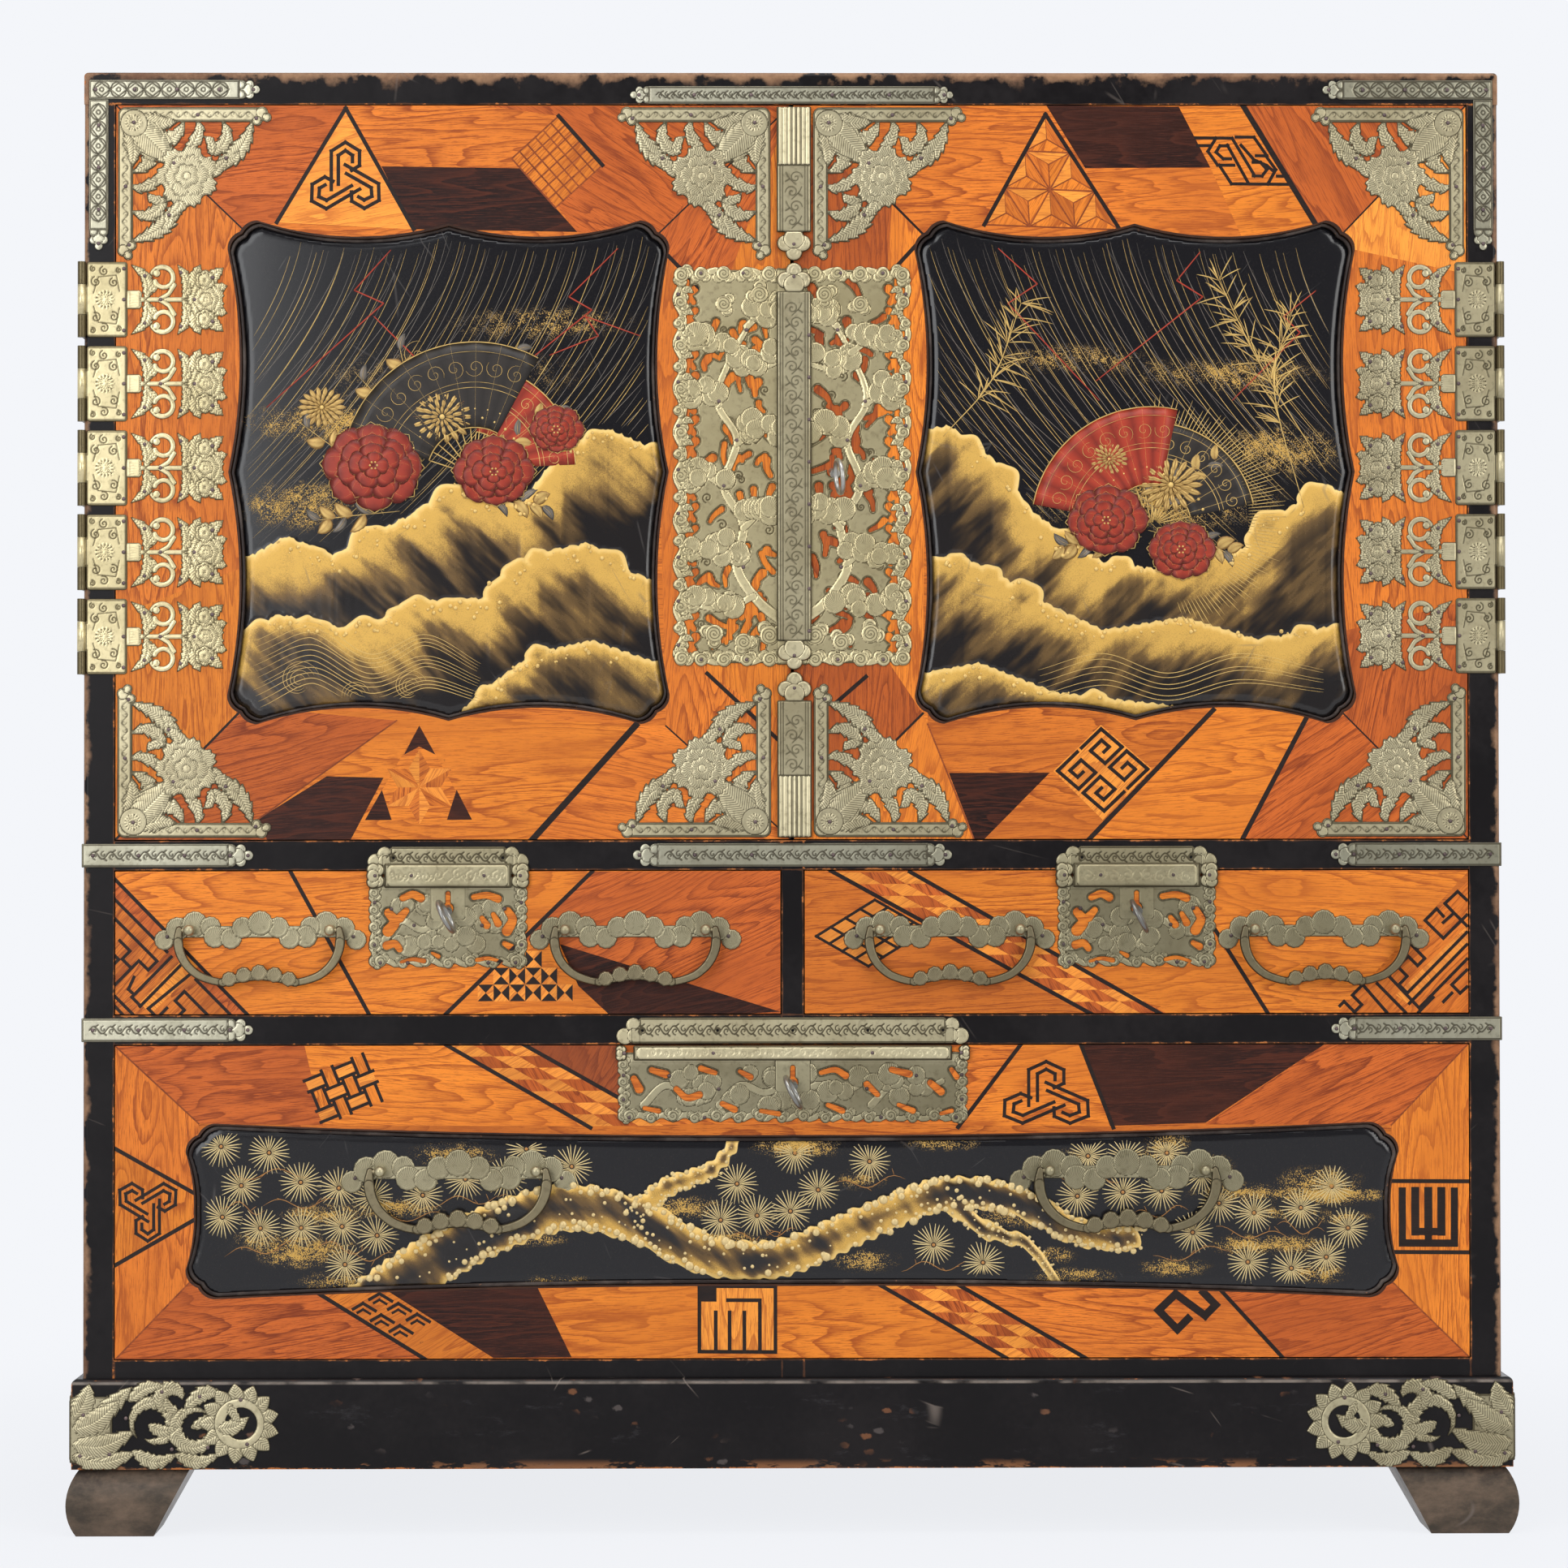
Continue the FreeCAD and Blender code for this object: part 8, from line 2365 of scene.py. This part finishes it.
def longPicture():
    outline = cartouche(lw, lh, 2.3, **drawerShape)
    trunk = bow([(-262, -60), (-226, -34), (-186, -12), (-140, 2), (-96, -6), (-56, -26), (-10, -30), (44, -8),
                 (92, 10),
                 (136, 6), (176, -14), (214, -18)], 10)
    limb = bow([(92, 10), (118, -12), (146, -22), (166, -50)], 8)
    fork = bow([(-98, -5), (-78, 14), (-48, 26), (-30, 52)], 8)
    both = [(trunk, 17.0, 7.5), (limb, 6.5, 2.4), (fork, 7.5, 3.0)]
    ground = Relief(-2, 2, -2, 2, 1.0)

    def bark(x, z):
        # half width of trunk and limbs less the distance to their axes
        x, z = np.asarray(x, float), np.asarray(z, float)
        ground.x, ground.z = np.atleast_2d(x), np.atleast_2d(z)
        best = np.full(ground.x.shape, -99.0)
        for line, r0, r1 in both:
            w = (slice(None), slice(None))
            wave = 1.1 * np.sin(ground.x * 0.55 + ground.z * 0.4)
            best = np.maximum(best, -ground.lineGap(line[::3], w, r0, r1) + wave * (r0 > 6))
        return best.reshape(np.shape(x))

    def mist(x, z):
        chance = np.random.default_rng(2)
        spots = [(chance.uniform(-350, 350), chance.uniform(-44, 44), chance.uniform(10, 26), chance.uniform(3, 7),
                  chance.uniform(0.35, 0.7)) for _ in range(40)]
        return cloudMist(x, z, spots)
    p = panelGround("long_drawer_picture", "long_drawer", "long_drawer_panel", "longPicture", (lx, lz), outline,
                    [bark],
                    mist, (370, 52), 1.3, 0.0, 10.5, 3.4)
    chance = np.random.default_rng(4)
    places = []
    for _ in range(900):
        x, z = chance.uniform(-352, 352), chance.uniform(-44, 44)
        group = math.sin(x * 0.034 + 0.6) * 16
        if abs(z - group) < 26 and bark(np.array([x]), np.array([z]))[0] < -10.0:
            if all(math.hypot(x - a, z - b) > 20 for a, b in places) and len(places) < 54:
                places.append((x, z))
    for k, (x, z) in enumerate(places):
        p.needles(x, z, 13.6, 27, k, 0.1 * k)
    for k, (x, z) in enumerate(places[::2]):
        a = chance.uniform(-0.5, 0.5)
        t = np.linspace(0, 1, 14)
        length = chance.uniform(28, 52)
        line = np.stack([x - length / 2 + length * t, z - 13 + 3 * np.sin(9 * t + k) + a * length * (t - 0.5) * 0.4],
                        1)
        p.line(line, 0.9, "twigWork", 0.25, 0.3)
        for s in (3, 6, 9, 11):
            q = line[s] + np.linspace(0, 1, 4)[:, None] * np.array([chance.uniform(-4, 4), chance.uniform(-5, 5)])
            p.line(q, 0.7, "twigWork", 0.2, 0.3)
    knobs = []
    for line, r0, r1 in both:
        d = np.gradient(line, axis=0)
        d /= np.linalg.norm(d, axis=1)[:, None]
        for k in range(len(line)):
            half = r0 + (r1 - r0) * k / len(line)
            for way in (-1, 1):
                for share, size, odds in ((0.86, 2.4, 0.8), (0.68, 1.9, 0.62), (0.3, 1.0, 0.45)):
                    if chance.random() < odds:
                        off = half * share * way + chance.uniform(-1.2, 1.2)
                        knobs.append((line[k][0] - d[k][1] * off + chance.uniform(-1.5, 1.5),
                                      line[k][1] + d[k][0] * off,
                                      size * min(1, half / 9) * chance.choice([0.6, 0.8, 1.0, 1.2])))
    p.dots(knobs, "knobWork", 0.45)
    p.finish("long_picture", "long_drawer", (lx, lz))


leftPicture()
rightPicture()
longPicture()
for way, side in ((-1, "left"), (1, "right")):
    lipRing(side + "_door_lip_ring", side + "_door", cartouche(pw, ph, 1.3), (way * px, pz), -0.9, -9.4,
            stands=(side + "_door_lip",))
lipRing("long_drawer_lip_ring", "long_drawer", cartouche(lw, lh, 1.5, **drawerShape), (lx, lz), -0.3, -11.8, 1.3)
print("lacquer pictures ready")


# finishes of the frame's own pieces
nodeFinish = dict(case_sides="stileLacquer", case_top="topLacquer", front_rails="railLacquer",
                  drawer_divider="railLacquer", case_bottom="railLacquer", stand_frame="standLacquer",
                  stand_feet="footLacquer", case_back="backWood", dust_boards="paleWood", inner_shelf="paleWood",
                  left_door_frame="doorWood", right_door_frame="doorWood", door_lock_case="lockIron",
                  door_bolt="lockIron", hinge_pins="lockIron", hinge_side_leaves="yellowMetal")
for drawer in ("left_drawer", "right_drawer", "long_drawer"):
    nodeFinish.update({drawer + "_front": "doorWood", drawer + "_box": "paleWood", drawer + "_lock_case": "lockIron",
                       drawer + "_bolt": "lockIron", drawer + "_key": "keySteel"})
nodeFinish.update(door_key="keySteel")
fallback = (("nails", "nailMetal"), ("bail", "bailMetal"), ("panel", "lipLacquer"), ("lip", "lipLacquer"))
for node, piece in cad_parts.items():
    finish = nodeFinish.get(node) or next((f for word, f in fallback if word in node), "mountMetal")
    piece.data.materials.clear()
    piece.data.materials.append(materials[finish])

# floor, light and camera
studio = dict(background=(0.905, 0.92, 0.955, 1), floorTint=(0.80, 0.81, 0.84, 1), floorGlow=0.9,
              ambient=(0.62, 0.64, 0.68, 1), ambientStrength=0.42, roomStrength=0.25, roomFrom=(-0.25, -0.75),
              floorRadius=9.0, floorSides=96, fullGlow=(0.45, 1.15))


def seenRays(tree):
    # 1 for rays that show the stage itself: from the camera, off gloss or through glass
    path = put(tree, "ShaderNodeLightPath")
    seen = highest(path["Is Camera Ray"], path["Is Glossy Ray"])
    return highest(seen, path["Is Transmission Ray"]), path["Is Camera Ray"]


def makeStage():
    world = bpy.data.worlds.new("studio")
    bpy.context.scene.world = world
    world.use_nodes = True
    tree = world.node_tree
    tree.nodes.clear()
    seen, fromCamera = seenRays(tree)
    plain = put(tree, "ShaderNodeBackground", {0: studio["background"], 1: 1.0})[0]
    lit = put(tree, "ShaderNodeBackground", {0: studio["ambient"], 1: studio["ambientStrength"]})[0]
    # the room in front of the chest, away from the backdrop, is dim: gloss shows it at the fronts
    way = put(tree, "ShaderNodeSeparateXYZ", {0: put(tree, "ShaderNodeTexCoord")["Generated"]})[1]
    front = between(way, *studio["roomFrom"]) * (1.0 - fromCamera)
    dim = put(tree, "ShaderNodeBackground", {0: studio["ambient"], 1: studio["roomStrength"]})[0]
    plain = put(tree, "ShaderNodeMixShader", {0: front, 1: plain, 2: dim})[0]
    mixed = put(tree, "ShaderNodeMixShader", {0: seen, 1: lit, 2: plain})[0]
    put(tree, "ShaderNodeOutputWorld", {0: mixed})

    sides = studio["floorSides"]
    angle = np.linspace(0, 2 * np.pi, sides + 1)[:-1]
    ring = np.stack([np.cos(angle), np.sin(angle), 0 * angle], 1) * studio["floorRadius"]
    mesh = bpy.data.meshes.new("floor")
    mesh.from_pydata(ring.tolist(), [], [list(range(sides))])
    floor = bpy.data.objects.new("floor", mesh)
    bpy.context.scene.collection.objects.link(floor)
    material = bpy.data.materials.new("paleFloor")
    material.use_nodes = True
    tree = material.node_tree
    tree.nodes.clear()
    seen, fromCamera = seenRays(tree)
    paper = put(tree, "ShaderNodeBsdfDiffuse", {0: studio["floorTint"]})[0]
    glow = put(tree, "ShaderNodeEmission", {0: studio["background"], 1: 1.0})[0]
    # all glow far out, so that the floor meets the background unseen
    place = put(tree, "ShaderNodeNewGeometry")["Position"]
    away = put(tree, "ShaderNodeVectorMath", {0: place}, operation="LENGTH")["Value"]
    far = between(away, *studio["fullGlow"])
    share = studio["floorGlow"] + far * (1.0 - studio["floorGlow"])
    share = seen * share
    put(tree, "ShaderNodeOutputMaterial", {0: put(tree, "ShaderNodeMixShader", {0: share, 1: paper, 2: glow})[0]})
    mesh.materials.append(material)


lamps = dict(
    left=dict(place=(-1.75, -3.2, 1.45), aim=(-0.1, -0.2, 0.45), size=(1.9, 2.3), power=66.0,
              tint=(0.97, 0.985, 1.0)),
    right=dict(place=(2.3, -2.9, 1.5), aim=(0.1, -0.2, 0.45), size=(1.5, 2.0), power=50.0, tint=(1.0, 0.99, 0.97)),
    top=dict(place=(0.0, -1.3, 3.2), aim=(0.0, -0.1, 0.5), size=(2.6, 1.6), power=46.0, tint=(1.0, 1.0, 1.0)),
    back=dict(place=(0.3, 3.2, 2.2), aim=(0.0, 0.1, 0.45), size=(2.4, 1.8), power=40.0, tint=(1.0, 1.0, 1.0)))


def makeLamps():
    for name, lamp in lamps.items():
        light = bpy.data.lights.new(name, "AREA")
        light.shape = "RECTANGLE"
        light.size, light.size_y = lamp["size"]
        light.energy = lamp["power"]
        light.color = lamp["tint"]
        thing = bpy.data.objects.new(name, light)
        thing.location = lamp["place"]
        aim = Vector(lamp["aim"]) - Vector(lamp["place"])
        thing.rotation_euler = aim.to_track_quat("-Z", "Y").to_euler()
        bpy.context.scene.collection.objects.link(thing)


view = dict(across=-0.0293, height=0.4142, distance=2.8, tilt=0.0162, yaw=-0.0086, roll=0.00107, focus=5617.5,
            frame=1932)


def makeCamera():
    camera = bpy.data.cameras.new("camera")
    camera.sensor_width = 36.0
    camera.lens = view["focus"] * 36.0 / view["frame"]
    camera.clip_start, camera.clip_end = 0.05, 60.0
    thing = bpy.data.objects.new("camera", camera)
    thing.location = (view["across"], faceY - view["distance"], view["height"])
    thing.rotation_euler = (math.pi / 2 + view["tilt"], view["roll"], view["yaw"])
    bpy.context.scene.collection.objects.link(thing)
    bpy.context.scene.camera = thing


makeStage()
makeLamps()
makeCamera()
scene = bpy.context.scene
scene.view_settings.view_transform = "Standard"
print("stage, light and camera ready")
